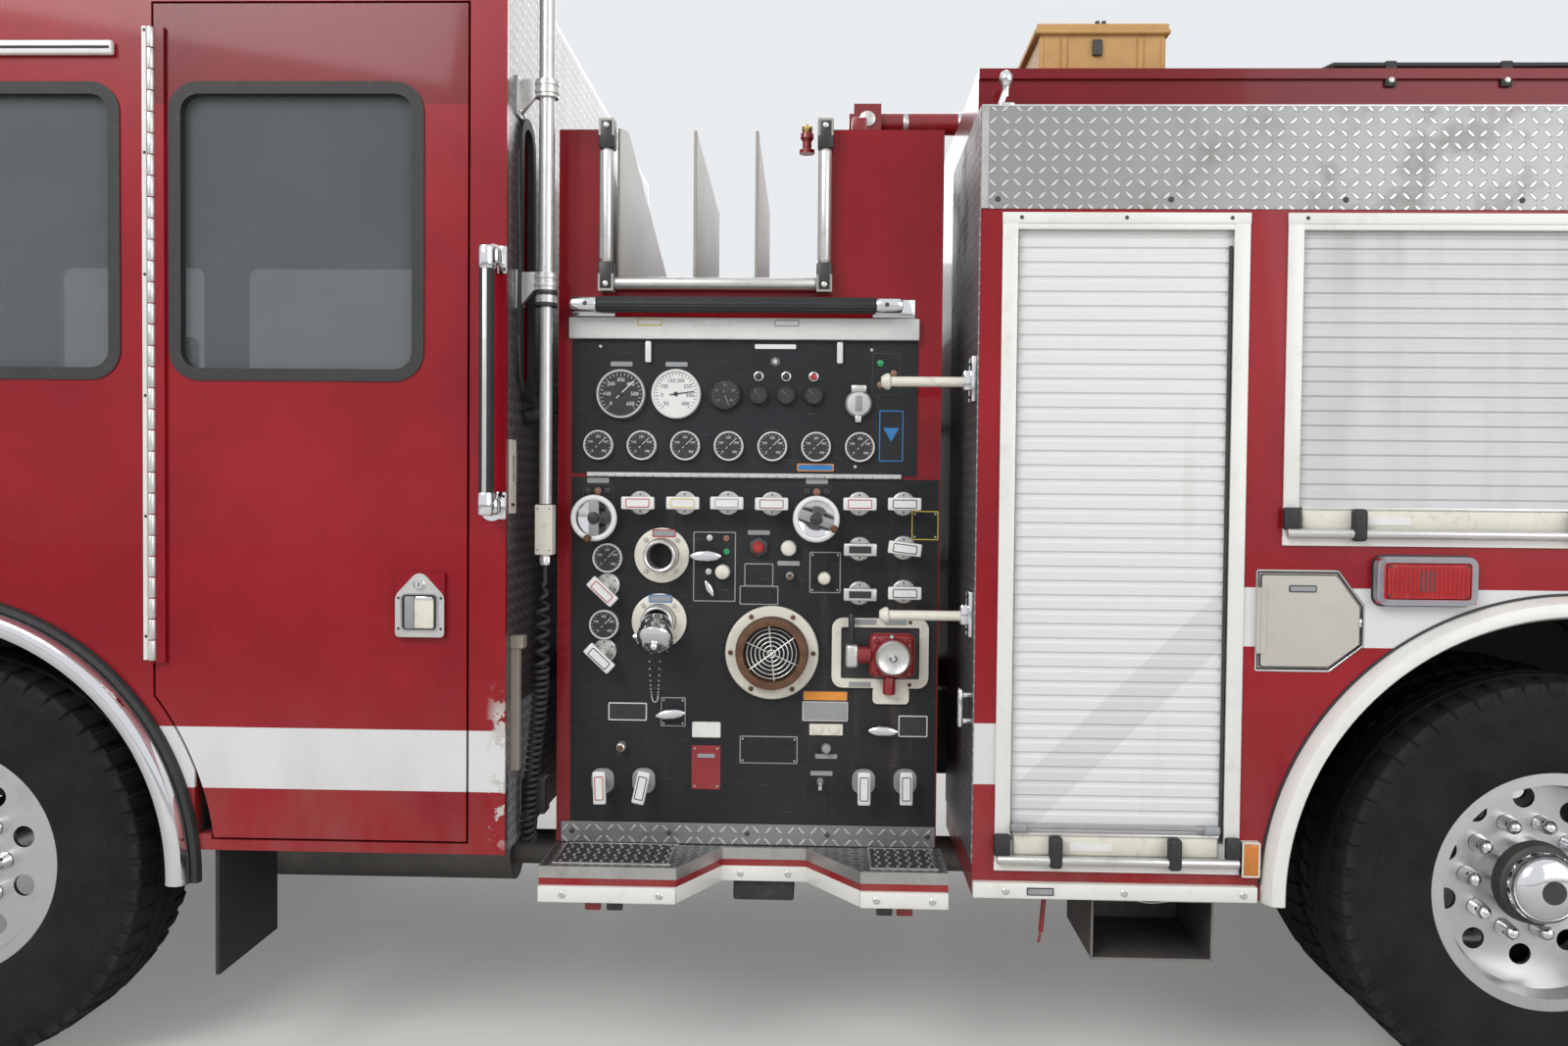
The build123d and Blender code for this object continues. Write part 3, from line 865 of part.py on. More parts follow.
fill_door += box(fill_hinge_x, fill_hinge_x + 20, -HALF_WIDTH - 8, -HALF_WIDTH + 2, 1130, 1290)
save("fill_door", fill_door)

# Rear locker between the side lockers, and the hose bed above the tank
rear_locker = box(REAR_AXLE_X + 930, BODY_BACK, -LOCKER_IN_Y, LOCKER_IN_Y, RAIL_TOP, TANK_TOP)
REAR_OPENING = (-470.0, 470.0, 960.0, 1880.0)
rear_locker -= box(REAR_AXLE_X + 960, BODY_BACK - 40, SHEET - LOCKER_IN_Y, LOCKER_IN_Y - SHEET, RAIL_TOP + 35, TANK_TOP - 25)
rear_locker -= box(BODY_BACK - 41, BODY_BACK + 1, *REAR_OPENING)
save("rear_locker", rear_locker)
bed = box(BODY_FRONT + 30, BODY_BACK, -LOCKER_IN_Y, LOCKER_IN_Y, TANK_TOP, TANK_TOP + 20)
for side in (-1, 1):
    y0, y1 = sorted((side * BED_WALL_Y, side * (BED_WALL_Y - 22)))
    bed += box(BODY_FRONT, BODY_BACK, y0, y1, LOCKER_TOP, BODY_TOP)
    y0, y1 = sorted((side * (BED_WALL_Y + 10), side * (BED_WALL_Y - 32)))
    bed += box(BODY_FRONT, BODY_BACK, y0, y1, BODY_TOP - 25, BODY_TOP)
bed += box(BODY_FRONT, BODY_FRONT + 30, -BED_WALL_Y, BED_WALL_Y, LOCKER_TOP, BODY_TOP)
bed += box(BODY_FRONT, BODY_FRONT + 30, -LOCKER_IN_Y, LOCKER_IN_Y, RAIL_TOP, LOCKER_TOP)
DECK_BACK = BODY_FRONT + 860.0
bed += box(BODY_FRONT, DECK_BACK, -LOCKER_IN_Y, LOCKER_IN_Y, LOCKER_TOP - 20, LOCKER_TOP)
save("hose_bed", bed)
COVER_T = 24.0
cover_arc = ThreePointArc((0, -BED_WALL_Y, BODY_TOP + SEAT_GAP), (0, 0, BODY_TOP + 110), (0, BED_WALL_Y, BODY_TOP + SEAT_GAP))
cover_top = ThreePointArc((0, -BED_WALL_Y, BODY_TOP + COVER_T), (0, 0, BODY_TOP + 110 + COVER_T), (0, BED_WALL_Y, BODY_TOP + COVER_T))
cover_face = make_face([cover_arc, cover_top, Line(cover_arc @ 0, cover_top @ 0), Line(cover_arc @ 1, cover_top @ 1)])
save("hose_bed_cover", Pos(DECK_BACK + 5, 0, 0) * extrude(cover_face, BODY_BACK - DECK_BACK - 5, dir=(1, 0, 0)))

# Storage box on the deck, with a hinged lid
CASE = (FRONT_AXLE_X + 2789.0, FRONT_AXLE_X + 3100.0, -1130.0, -690.0, LOCKER_TOP, 2662.0)
CASE_T = 6.0
case = box(CASE[0], CASE[1], CASE[2], CASE[3], CASE[4], CASE[5])
case -= box(CASE[0] + CASE_T, CASE[1] - CASE_T, CASE[2] + CASE_T, CASE[3] - CASE_T, CASE[4] + CASE_T, CASE[5] + 1)
save("storage_case", case)
CASE_HINGE_R = 6.0
CASE_HINGE_Y = CASE[3] + CASE_HINGE_R + SEAT_GAP
LID_LOW = CASE[5] + SEAT_GAP
lid = box(CASE[0] - 8, CASE[1] + 8, CASE[2] - 8, CASE_HINGE_Y, LID_LOW, CASE[5] + 26)
lid += rod((CASE[0] + 20, CASE_HINGE_Y, LID_LOW), (CASE[1] - 20, CASE_HINGE_Y, LID_LOW), CASE_HINGE_R)
save("storage_lid", lid)

# Roller shutters: a curtain of slats in each opening, with its frame
SLAT_PITCH = 35.0
CURTAIN_Y = HALF_WIDTH - 14.0


def curtain(z0, z1, depth):
    """Outline of a curtain as (depth, z) points: every slat bulges outward between two grooves."""
    count = round((z1 - z0) / SLAT_PITCH)
    pitch = (z1 - z0) / count
    outline = [(depth, z0), (0, z0)]
    for i in range(count):
        z = z0 + i * pitch
        outline += [(0, z + 0.12 * pitch), (-4, z + 0.25 * pitch), (-4, z + 0.8 * pitch), (0, z + 0.95 * pitch)]
    return outline + [(0, z1), (depth, z1)]


shutters = []
for x0, x1, z0, z1 in SHUTTERS:
    outline = curtain(z0 + 55, z1 - 1, 10)
    face = make_face(Polyline(*[(x0 + SEAT_GAP, -CURTAIN_Y + y, z) for y, z in outline], close=True))
    cover = extrude(face, x1 - x0 - 2 * SEAT_GAP, dir=(1, 0, 0))
    cover += box(x0 + SEAT_GAP, x1 - SEAT_GAP, -CURTAIN_Y - 8, -CURTAIN_Y + 10, z0 + SEAT_GAP, z0 + 55)
    frame = box(x0 - FRAME_W, x1 + FRAME_W, -HALF_WIDTH - 5, -HALF_WIDTH, z0 - FRAME_W, z1 + FRAME_W)
    frame -= box(x0 + 2, x1 - 2, -HALF_WIDTH - 6, -HALF_WIDTH + 1, z0 + 2, z1 - 10)
    shutters += [cover, frame]
rear_outline = curtain(REAR_OPENING[2] + 55, REAR_OPENING[3] - 1, 10)
rear_y0, rear_y1 = REAR_OPENING[0] + SEAT_GAP, REAR_OPENING[1] - SEAT_GAP
rear_face = make_face(Polyline(*[(BODY_BACK - 14 - d, rear_y0, z) for d, z in rear_outline], close=True))
rear_curtain = extrude(rear_face, rear_y1 - rear_y0, dir=(0, 1, 0))
rear_curtain += box(BODY_BACK - 24, BODY_BACK - 6, rear_y0, rear_y1, REAR_OPENING[2] + SEAT_GAP, REAR_OPENING[2] + 55)
save("roller_shutters", *shutters, *[right(s) for s in shutters], rear_curtain)

# Rear fenders, rub rails, tread plates, tailboard, lamps and flaps
rear_fender = disc_y(REAR_AXLE_X, AXLE_Z, -HALF_WIDTH - REAR_FENDER_PROUD, -HALF_WIDTH, REAR_FENDER_R, REAR_ARCH_R)
rear_fender -= box(REAR_AXLE_X - 900, REAR_AXLE_X + 900, -HALF_WIDTH - 100, 0, -AXLE_Z, FENDER_LOW)
RUB_PROUD = 22.0
RUB_TOP = BODY_LOW + 38.0
RUB_END = REAR_FENDER_R + 13.0
rub = box(BODY_FRONT, REAR_AXLE_X - RUB_END, -HALF_WIDTH - RUB_PROUD, -HALF_WIDTH, BODY_LOW, RUB_TOP)
rub_back = box(REAR_AXLE_X + RUB_END, BODY_BACK, -HALF_WIDTH - RUB_PROUD, -HALF_WIDTH, BODY_LOW, RUB_TOP)
trim = [rear_fender, rub, rub_back]
save("fenders_and_rub_rails", *trim, *[right(s) for s in trim])

PLATE_T = 3.0
KICK_TOP = LOW_PANEL[2]
plates = [box(BODY_FRONT, BODY_BACK, -HALF_WIDTH - PLATE_T, -HALF_WIDTH, BAND_LOW, LOCKER_TOP),
          box(BODY_FRONT - PLATE_T, BODY_FRONT, -HALF_WIDTH + 1, -LOCKER_IN_Y, 600, LOCKER_TOP),
          box(LOW_PANEL[0], LOW_PANEL[1], -PUMP_Y - PLATE_T, -PUMP_Y, PUMP_LOW, KICK_TOP - 1)]
save("tread_plates", *plates, *[right(plate) for plate in plates])

TAILBOARD_TOP = 560.0
tail = box(BODY_BACK, TAILBOARD_BACK, -HALF_WIDTH, HALF_WIDTH, 470, TAILBOARD_TOP)
tail -= box(BODY_BACK - 1, TAILBOARD_BACK - 6, 6 - HALF_WIDTH, HALF_WIDTH - 6, 469, TAILBOARD_TOP - 6)
for side in (-1, 1):
    tail += box(BODY_BACK - 300, BODY_BACK + 100, side * 700 - 20, side * 700 + 20, 480, BODY_LOW)
    tail += box(BODY_BACK, BODY_BACK + 100, side * 700 - 20, side * 700 + 20, BODY_LOW - 1, TAILBOARD_TOP - 6)
save("tailboard", tail)

lamps = []
for side in (-1, 1):
    def block(x0, x1, y0, y1, z0, z1):
        return box(x0, x1, *sorted((side * y0, side * y1)), z0, z1)
    lamps.append(block(REAR_AXLE_X - 483, REAR_AXLE_X - 254, HALF_WIDTH, HALF_WIDTH + 30, 1256, 1365))
    lamps.append(block(REAR_AXLE_X - 794, REAR_AXLE_X - 752, HALF_WIDTH, HALF_WIDTH + 18, 586, 668))
    for z in (1250, 1400, 1550, 2000, 2250):
        lamps.append(block(BODY_BACK, BODY_BACK + 32, 1030, 1180, z, z + 120))
save("marker_lamps", *lamps)
rear_flaps = [box(REAR_AXLE_X + 740, REAR_AXLE_X + 750, *sorted((side * 1210, side * 600)), 230, BODY_LOW) for side in (-1, 1)]
save("rear_mud_flaps", *rear_flaps)
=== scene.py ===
import math
import bpy
from mathutils import Matrix, Vector


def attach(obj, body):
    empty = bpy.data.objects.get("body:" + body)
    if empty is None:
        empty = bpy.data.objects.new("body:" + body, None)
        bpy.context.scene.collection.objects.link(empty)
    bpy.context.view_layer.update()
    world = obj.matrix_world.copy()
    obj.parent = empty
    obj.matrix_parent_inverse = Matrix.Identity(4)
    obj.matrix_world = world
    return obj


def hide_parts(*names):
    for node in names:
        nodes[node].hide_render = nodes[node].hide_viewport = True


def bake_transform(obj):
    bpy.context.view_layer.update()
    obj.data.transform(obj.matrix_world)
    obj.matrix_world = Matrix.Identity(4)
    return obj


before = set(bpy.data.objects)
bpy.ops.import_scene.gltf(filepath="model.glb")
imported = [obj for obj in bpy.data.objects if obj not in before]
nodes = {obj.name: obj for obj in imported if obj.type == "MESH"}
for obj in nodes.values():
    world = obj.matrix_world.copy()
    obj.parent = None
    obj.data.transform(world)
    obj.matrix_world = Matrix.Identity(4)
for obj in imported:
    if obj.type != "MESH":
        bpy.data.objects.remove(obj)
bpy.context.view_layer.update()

# Metres. X runs rearward, -Y is the photographed side.
AXLE = -2.195                 # front axle
REAR = 1.883                  # rear axle
HUB_Z = 0.535
SIDE = -1.250                 # outer skin of cab and body
PANEL = -1.036                # face of the pump panel
FRONT = AXLE - 1.400          # foot of the cab's front face
SILL_Z = 1.620                # where the front face starts to lean back
RAKE_ANGLE = math.atan(90 / 1280)
CORNER_R = 0.150              # the cab's front corners
CAB_REAR = AXLE + 1.473       # face of the sheet on the cab's rear wall
BACK = 3.795                  # rear face of the body
NOSE = -4.195                 # front face of the bumper
BUMPER_TOP = 0.8025           # skin of the bumper's deck
BAND_TOP = 2.453              # upper edge of the tread plate band over the shutters; red above it is painted darker as shade
PANE_DEPTH = (1.2214, 1.2308)  # the doors' glass, from the middle plane out
PANE_HEIGHT = (1.789, 2.494)
DOOR_PANES = ((0.645, 1.253), (-1.174, -0.491))   # behind the front axle


# materials
class Wire:
    """A socket of a material, on which Python's operators add Math nodes."""

    def __init__(self, finish, socket):
        self.finish = finish
        self.socket = socket

    def math(self, operation, *values):
        return self.finish.node("ShaderNodeMath", {"operation": operation}, dict(enumerate(values)))

    def __add__(self, other):
        return self.math("ADD", self, other)

    __radd__ = __add__

    def __sub__(self, other):
        return self.math("SUBTRACT", self, other)

    def __rsub__(self, other):
        return self.math("SUBTRACT", other, self)

    def __mul__(self, other):
        return self.math("MULTIPLY", self, other)

    __rmul__ = __mul__

    def __truediv__(self, other):
        return self.math("DIVIDE", self, other)

    def __pow__(self, other):
        return self.math("POWER", self, other)

    def __abs__(self):
        return self.math("ABSOLUTE", self)

    def above(self, edge, soft=0.001):
        """0 below edge, 1 above it, with a ramp of width soft."""
        ramp = (self - edge) / soft
        return self.math("MINIMUM", self.math("MAXIMUM", ramp, 0.0), 1.0)

    def within(self, low, high, soft=0.001):
        return self.above(low, soft) * (1 - self.above(high, soft))


class Finish:
    """A material built from its Principled shader, with sockets set by name."""

    def __init__(self, name, **values):
        self.material = bpy.data.materials.new(name)
        self.material.use_nodes = True
        self.tree = self.material.node_tree
        self.shader = self.tree.nodes["Principled BSDF"]
        self.where = self.node("ShaderNodeTexCoord", out="Object")
        self.x, self.y, self.z = [self.node("ShaderNodeSeparateXYZ", None, {0: self.where},
            out=axis) for axis in "XYZ"]
        self.put(**values)

    def node(self, kind, settings=None, links=None, out=0):
        made = self.tree.nodes.new(kind)
        for key, value in (settings or {}).items():
            if key == "stops":
                ramp = made.color_ramp
                while len(ramp.elements) < len(value):
                    ramp.elements.new(0.5)
                for element, (place, colour) in zip(ramp.elements, value):
                    element.position = place
                    element.color = (*colour, 1)
            else:
                setattr(made, key, value)
        for key, value in (links or {}).items():
            self.feed(made.inputs[key], value)
        return Wire(self, made.outputs[out])

    def feed(self, socket, value):
        if isinstance(value, Wire):
            self.tree.links.new(value.socket, socket)
        elif isinstance(value, (tuple, list)) and len(value) == 3 and socket.type == "RGBA":
            socket.default_value = (*value, 1)
        else:
            socket.default_value = value

    def put(self, **values):
        for key, value in values.items():
            self.feed(self.shader.inputs[key.replace("_", " ").title().replace("Ior", "IOR")], value)
        return self

    def noise(self, scale, detail=3.0, roughness=0.5, stretch=(1, 1, 1)):
        place = self.node("ShaderNodeMapping", None,
            {0: self.where, 3: stretch}) if stretch != (1, 1, 1) else self.where
        return self.node("ShaderNodeTexNoise", None,
            {"Vector": place, "Scale": scale, "Detail": detail, "Roughness": roughness})

    def mix(self, share, low, high):
        """Colour low where share is 0 and high where it is 1."""
        return self.node("ShaderNodeMix", {"data_type": "RGBA"}, {0: share, 6: low, 7: high}, out=2)

    def bump(self, height, distance=0.001, strength=1.0):
        normal = self.node("ShaderNodeBump", None,
            {"Height": height, "Distance": distance, "Strength": strength})
        return self.put(normal=normal)


def tread_height(finish, across, along, pitch=0.030):
    """Raised dashes of tread plate that lean left and right in turn, from 0 to 1."""
    u, v = across / pitch, along / pitch
    column, row = finish.x.math("FLOOR", u), finish.x.math("FLOOR", v)
    parity = finish.x.math("MODULO", abs(column + row), 2.0)
    lean = parity * 2 - 1
    a, b = u - column - 0.5, v - row - 0.5
    long_way = (a + b * lean) * 0.7071
    short_way = (b - a * lean) * 0.7071
    return 1 - ((long_way / 0.44) ** 2 + (short_way / 0.13) ** 2).above(0.55, 0.45)


def smoked(finish):
    """The colour of tinted glass and the smears that vary it."""
    smear = finish.noise(3.0, 5.0, 0.6)
    return finish.mix(smear, (0.11, 0.13, 0.135), (0.17, 0.19, 0.195)), smear


def side_stripe(finish):
    """The white stripe: level on the cab, higher on the body behind its first shutter."""
    cab = finish.z.within(0.756, 0.909) * (1 - finish.x.above(AXLE + 1.6))
    low = finish.z.within(0.797, 0.947) * finish.x.within(AXLE + 2.6, AXLE + 2.70)
    high = finish.z.within(1.145, 1.289) * finish.x.above(AXLE + 3.2)
    return (cab + low + high) * abs(finish.y).above(1.2395)


def fire_red(paint, chips_end):
    """Fire red with its white stripe, dust low down and chips on the cab's rear edge."""
    mottle = paint.noise(2.2, 4.0, 0.6)
    grime = paint.noise(9.0, 6.0, 0.65, (1, 1, 0.35))
    red = paint.mix(mottle.within(0.35, 0.75, 0.3), (0.225, 0.003, 0.009), (0.300, 0.007, 0.014))
    red = paint.mix(side_stripe(paint), red, (0.66, 0.66, 0.66))
    dusty = (1 - paint.z.above(0.50, 0.55)) * grime.above(0.35, 0.4)
    red = paint.mix(dusty * 0.35, red, (0.23, 0.17, 0.14))
    edge = paint.x.within(AXLE + 1.425, AXLE + chips_end, 0.03) * paint.z.within(0.60, 0.95, 0.08)
    chips = edge * paint.noise(34.0, 4.0, 0.6).above(0.54, 0.02)
    return paint.mix(chips, red, (0.50, 0.47, 0.44)), mottle, grime, dusty


def red_paint(name="red_paint", glazed=False):
    """The body's red; a glazed one turns to glass where a door's pane is."""
    paint = Finish(name, coat_weight=0.22, coat_roughness=0.05, specular_ior_level=0.25)
    red, mottle, grime, dusty = fire_red(paint, 1.48)
    # Painted shade: red above the band's top edge is darkened, and the doors share it.
    red = paint.mix(paint.z.above(BAND_TOP) * 0.55, red, (0.085, 0.001, 0.004))
    # Painted shade: inside the rear wheel arch the red turns nearly black. On a glazed door the same
    # near-black covers its inner faces.
    well = 1 - (((paint.x - REAR) ** 2 + (paint.z - HUB_Z) ** 2) ** 0.5).above(0.700)
    dark_inside = well * (1 - abs(paint.y).above(1.236))
    if glazed:
        dark_inside = 1 - abs(paint.y).above(1.205)
    red = paint.mix(dark_inside, red, (0.020, 0.020, 0.021))
    gloss = 0.22 + 0.25 * dusty + 0.12 * mottle
    grain = paint.noise(160.0, 2.0)
    if glazed:
        pane = abs(paint.y).within(*PANE_DEPTH, 0.0004) * paint.z.within(*PANE_HEIGHT, 0.0005)
        pane = pane * sum(paint.x.within(AXLE + front, AXLE + rear, 0.0005) for front, rear in DOOR_PANES)
        paint.put(base_color=paint.mix(pane, red, smoked(paint)[0]), alpha=1 - 0.50 * pane)
        paint.put(roughness=gloss * (1 - pane) + 0.04 * pane)
        return paint.bump(grain * abs(paint.y).above(1.240), 0.00015, 0.35)
    paint.put(base_color=red, roughness=gloss)
    return paint.bump(grain, 0.00015, 0.35)


def cab_paint():
    """Red outside, grey trim inside, painted shade low in the front wheel wells, and tread plate on the rear
    wall.
    """
    paint = Finish("cab_paint", coat_roughness=0.05, specular_ior_level=0.25)
    red, mottle, grime, dusty = fire_red(paint, 1.4725)
    upright = paint.x - paint.x.math("MAXIMUM", paint.z - SILL_Z, 0.0) * 0.0703
    ahead = paint.x.math("MAXIMUM", FRONT + CORNER_R - upright, 0.0)
    aside = paint.x.math("MAXIMUM", abs(paint.y) - 1.250 + CORNER_R, 0.0)
    core = (1 - abs(paint.y).above(1.215)) * (1 - ((ahead ** 2 + aside ** 2) ** 0.5).above(CORNER_R - 0.015))
    inside = core * (1 - paint.x.above(AXLE + 1.44)) * paint.z.within(0.90, 2.865)
    # Painted shade: the shell's inner faces below 0.96 m, round the front wheel wells, take the trim's dark
    # grey.
    under = core * (1 - paint.z.above(0.96))
    dark = paint.x.math("MAXIMUM", inside, under)
    plate = paint.x.above(AXLE + 1.4722, 0.0004) * (1 - abs(paint.y).above(1.235))
    height = tread_height(paint, paint.y, paint.z)
    colour = paint.mix(dark, red, (0.075, 0.078, 0.082))
    # Painted highlight: on the rear wall's tread plate the raised dashes are lighter.
    colour = paint.mix(plate, colour, paint.mix(height, (0.26, 0.26, 0.27), (0.52, 0.52, 0.53)))
    paint.put(base_color=colour, metallic=plate * 0.95, coat_weight=0.22 * (1 - dark) * (1 - plate))
    paint.put(roughness=0.22 + 0.2 * dusty + 0.4 * dark + 0.14 * plate + 0.1 * grime)
    return paint.bump(height * plate + 0.008 * paint.noise(160.0, 2.0) * (1 - dark), 0.0016, 0.8)


def tread_plate(name, sideways="x", upright="z", tone=0.29, pitch=0.030, front_sheet=None):
    """Tread plate; front_sheet is where a side's finish turns to a sheet that faces forward."""
    metal = Finish(name, metallic=0.9, specular_ior_level=0.5)
    across = getattr(metal, sideways)
    if front_sheet is not None:
        turned_face = metal.x.within(front_sheet - 0.006, front_sheet + 0.0004, 0.0002)
        across = across * (1 - turned_face) + metal.y * turned_face
    height = tread_height(metal, across, getattr(metal, upright), pitch)
    grime = metal.noise(7.0, 6.0, 0.65)
    dirt = grime.above(0.5, 0.25) * (1 - height)
    # Painted highlight: raised dashes are a lighter grey than the sheet between them.
    colour = metal.mix(dirt * 0.55, metal.mix(height, (tone, tone, tone),
        (tone + 0.3,) * 3), (0.24, 0.21, 0.18))
    # Painted shade: the sheet that faces forward is darkened.
    if front_sheet is not None:
        colour = metal.mix(turned_face * 0.4, colour, (0.16, 0.16, 0.165))
    metal.put(base_color=colour, roughness=0.40 + 0.25 * dirt)
    return metal.bump(height, 0.0018, 0.9)


def shutter_paint():
    paint = Finish("shutter_aluminium", metallic=0.05, specular_ior_level=0.4)
    streak = paint.noise(6.0, 5.0, 0.6, (1.0, 1.0, 0.04))
    ghost = (paint.z - 0.985 * paint.x).within(0.115, 0.26) * paint.x.within(AXLE + 2.70, AXLE + 3.266)
    clean = paint.mix(ghost * 0.75, (0.70, 0.695, 0.685), (0.585, 0.59, 0.60))
    upper = paint.z.above(1.45) * paint.x.within(AXLE + 3.38, AXLE + 4.78)
    clean = paint.mix(upper * 0.7, clean, (0.52, 0.52, 0.535))
    dirt = streak.above(0.52 - 0.06 * upper, 0.25) * 0.55 * paint.noise(3.0,
        3.0).above(0.42 - 0.1 * upper, 0.25)
    colour = paint.mix(dirt, clean, (0.40, 0.375, 0.34))
    paint.put(base_color=colour, roughness=0.36 + 0.2 * dirt)
    return paint.bump(paint.noise(220.0, 2.0, 0.5, (1, 1, 0.08)), 0.0002, 0.3)


def panel_black():
    paint = Finish("panel_black", specular_ior_level=0.25)
    haze = paint.noise(3.0, 5.0, 0.6)
    run = paint.noise(11.0, 5.0, 0.7, (1.0, 1.0, 0.10))
    stain = run.above(0.56, 0.16) * (1 - paint.z.above(1.25, 0.5))
    colour = paint.mix(haze.within(0.3, 0.75, 0.3), (0.011, 0.012, 0.014), (0.020, 0.021, 0.024))
    colour = paint.mix(stain * 0.45, colour, (0.085, 0.062, 0.046))
    scratch = paint.noise(60.0, 2.0, 0.5, (0.3, 1, 6.0)).above(0.70, 0.02)
    colour = paint.mix(scratch * 0.25, colour, (0.20, 0.20, 0.20))
    paint.put(base_color=colour, roughness=0.42 + 0.18 * haze)
    return paint.bump(paint.noise(260.0, 2.0), 0.00015, 0.3)


def plain(name, colour, roughness, spread=0.15, scale=14.0, dirt=(0.20, 0.16, 0.13), dirt_share=0.25,
          grain=120.0, **more):
    """One colour with cloudy wear, a little dirt and a fine grain."""
    made = Finish(name, **more)
    cloud = made.noise(scale, 5.0, 0.6)
    low = tuple(c * (1 - spread) for c in colour)
    shade = made.mix(cloud.within(0.3, 0.8, 0.35), low, colour)
    shade = made.mix(made.noise(scale * 2.7, 6.0, 0.7).above(0.56, 0.14) * dirt_share, shade, dirt)
    made.put(base_color=shade, roughness=roughness * 0.85 + roughness * 0.3 * cloud)
    return made.bump(made.noise(grain, 3.0), 0.0003, 0.3)


def brushed(name, centre_x, tone=0.60):
    """Spun aluminium, with fine rings round a wheel's axle."""
    metal = Finish(name, metallic=1.0)
    a, b = metal.x - centre_x, metal.z - HUB_Z
    radius = (a * a + b * b) ** 0.5
    rings = metal.node("ShaderNodeTexNoise", {"noise_dimensions": "1D"},
        {"W": radius, "Scale": 420.0, "Detail": 3.0})
    grime = metal.noise(8.0, 5.0, 0.65)
    colour = metal.mix(rings, (tone * 0.85,) * 3, (tone * 1.12,) * 3)
    colour = metal.mix(grime.above(0.55, 0.2) * 0.35, colour, (0.30, 0.26, 0.22))
    metal.put(base_color=colour, roughness=0.22 + 0.2 * grime)
    return metal.bump(rings, 0.0001, 0.4)


def tyre_rubber(name, centre_x):
    """Black rubber, dusty brown on the tread, with fine rings on the wall."""
    rubber = Finish(name, specular_ior_level=0.2)
    a, b = rubber.x - centre_x, rubber.z - HUB_Z
    radius = (a * a + b * b) ** 0.5
    rings = rubber.node("ShaderNodeTexNoise", {"noise_dimensions": "1D"},
        {"W": radius, "Scale": 90.0, "Detail": 3.0})
    dust = rubber.noise(11.0, 6.0, 0.65)
    colour = rubber.mix(dust.within(0.35, 0.8, 0.3), (0.008, 0.008, 0.009), (0.017, 0.016, 0.016))
    colour = rubber.mix(radius.above(0.50, 0.02) * 0.35 * dust, colour, (0.06, 0.05, 0.04))
    rubber.put(base_color=colour, roughness=0.72 + 0.15 * dust)
    return rubber.bump(rings * 0.5 + 0.5 * rubber.noise(140.0, 3.0), 0.0010, 0.5)


RED = red_paint()
DOOR_RED = red_paint("door_paint_and_glass", True)
CAB_RED = cab_paint()
PLATE_SIDE = tread_plate("tread_plate_side", front_sheet=AXLE + 2.633)
PLATE_TOP = tread_plate("tread_plate_top", "x", "y", 0.24, 0.026)
SHUTTER = shutter_paint()
PANEL_BLACK = panel_black()
CHROME = plain("chrome", (0.80, 0.80, 0.82), 0.09, 0.05, dirt_share=0.08, metallic=1.0)
SATIN = plain("satin_aluminium", (0.66, 0.65, 0.63), 0.34, 0.12, metallic=0.75)
CREAM = plain("cream_casting", (0.72, 0.69, 0.60), 0.42, 0.10, dirt=(0.35, 0.25, 0.17), dirt_share=0.35)
WHITE = plain("white_plastic", (0.74, 0.74, 0.72), 0.35, 0.08, dirt_share=0.12)
BLACK = plain("black_plastic", (0.028, 0.028, 0.030), 0.42, 0.3, dirt=(0.09, 0.08, 0.07))
RUBBER = plain("black_rubber", (0.022, 0.022, 0.023), 0.62, 0.3, dirt=(0.09, 0.08, 0.07))
CHASSIS = plain("chassis_black", (0.030, 0.030, 0.032), 0.55, 0.3, dirt=(0.13, 0.11, 0.09), dirt_share=0.5)
CAST = plain("cast_steel", (0.075, 0.072, 0.070), 0.6, 0.3, metallic=0.5,
    dirt=(0.14, 0.09, 0.05), dirt_share=0.5)
RUST = plain("rusty_iron", (0.16, 0.075, 0.038), 0.7, 0.45, 30.0, dirt=(0.05, 0.03, 0.02), metallic=0.3)
TRIM = plain("cab_trim", (0.10, 0.105, 0.11), 0.6, 0.2)
SEAT = plain("seat_cloth", (0.10, 0.105, 0.12), 0.85, 0.3, grain=700.0)
TANK = plain("tank_plastic", (0.045, 0.045, 0.047), 0.6, 0.12)
VINYL = plain("cover_vinyl", (0.025, 0.025, 0.028), 0.5, 0.3, 5.0)
TAN = plain("tan_plastic", (0.52, 0.29, 0.10), 0.5, 0.15)
RED_LENS = plain("red_lens", (0.45, 0.012, 0.015), 0.12, 0.25, coat_weight=0.6)
AMBER_LENS = plain("amber_lens", (0.62, 0.20, 0.02), 0.15, 0.2, coat_weight=0.6)
LABEL_RED = plain("label_red", (0.42, 0.03, 0.03), 0.4)
LABEL_YELLOW = plain("label_yellow", (0.65, 0.50, 0.08), 0.4)
LABEL_BLUE = plain("label_blue", (0.03, 0.20, 0.50), 0.4)
LABEL_ORANGE = plain("label_orange", (0.75, 0.28, 0.04), 0.4)
LABEL_BROWN = plain("label_brown", (0.28, 0.13, 0.08), 0.4)
LABEL_GREY = plain("label_grey", (0.30, 0.31, 0.32), 0.4)
GREEN = plain("green_lamp", (0.02, 0.30, 0.09), 0.3)
VALVE_RED = plain("valve_red", (0.27, 0.012, 0.016), 0.3, 0.25, coat_weight=0.4)
FENDER_PAINT = plain("fender_white", (0.76, 0.75, 0.71), 0.30, 0.05, 6.0, dirt=(0.45, 0.41, 0.35),
    dirt_share=0.25, coat_weight=0.3)
STEP_EDGE = plain("step_aluminium", (0.50, 0.49, 0.47), 0.38, 0.2, metallic=0.85, dirt_share=0.35)
GRATING_SHADOW = plain("grating_shadow", (0.035, 0.034, 0.033), 0.7, 0.3)
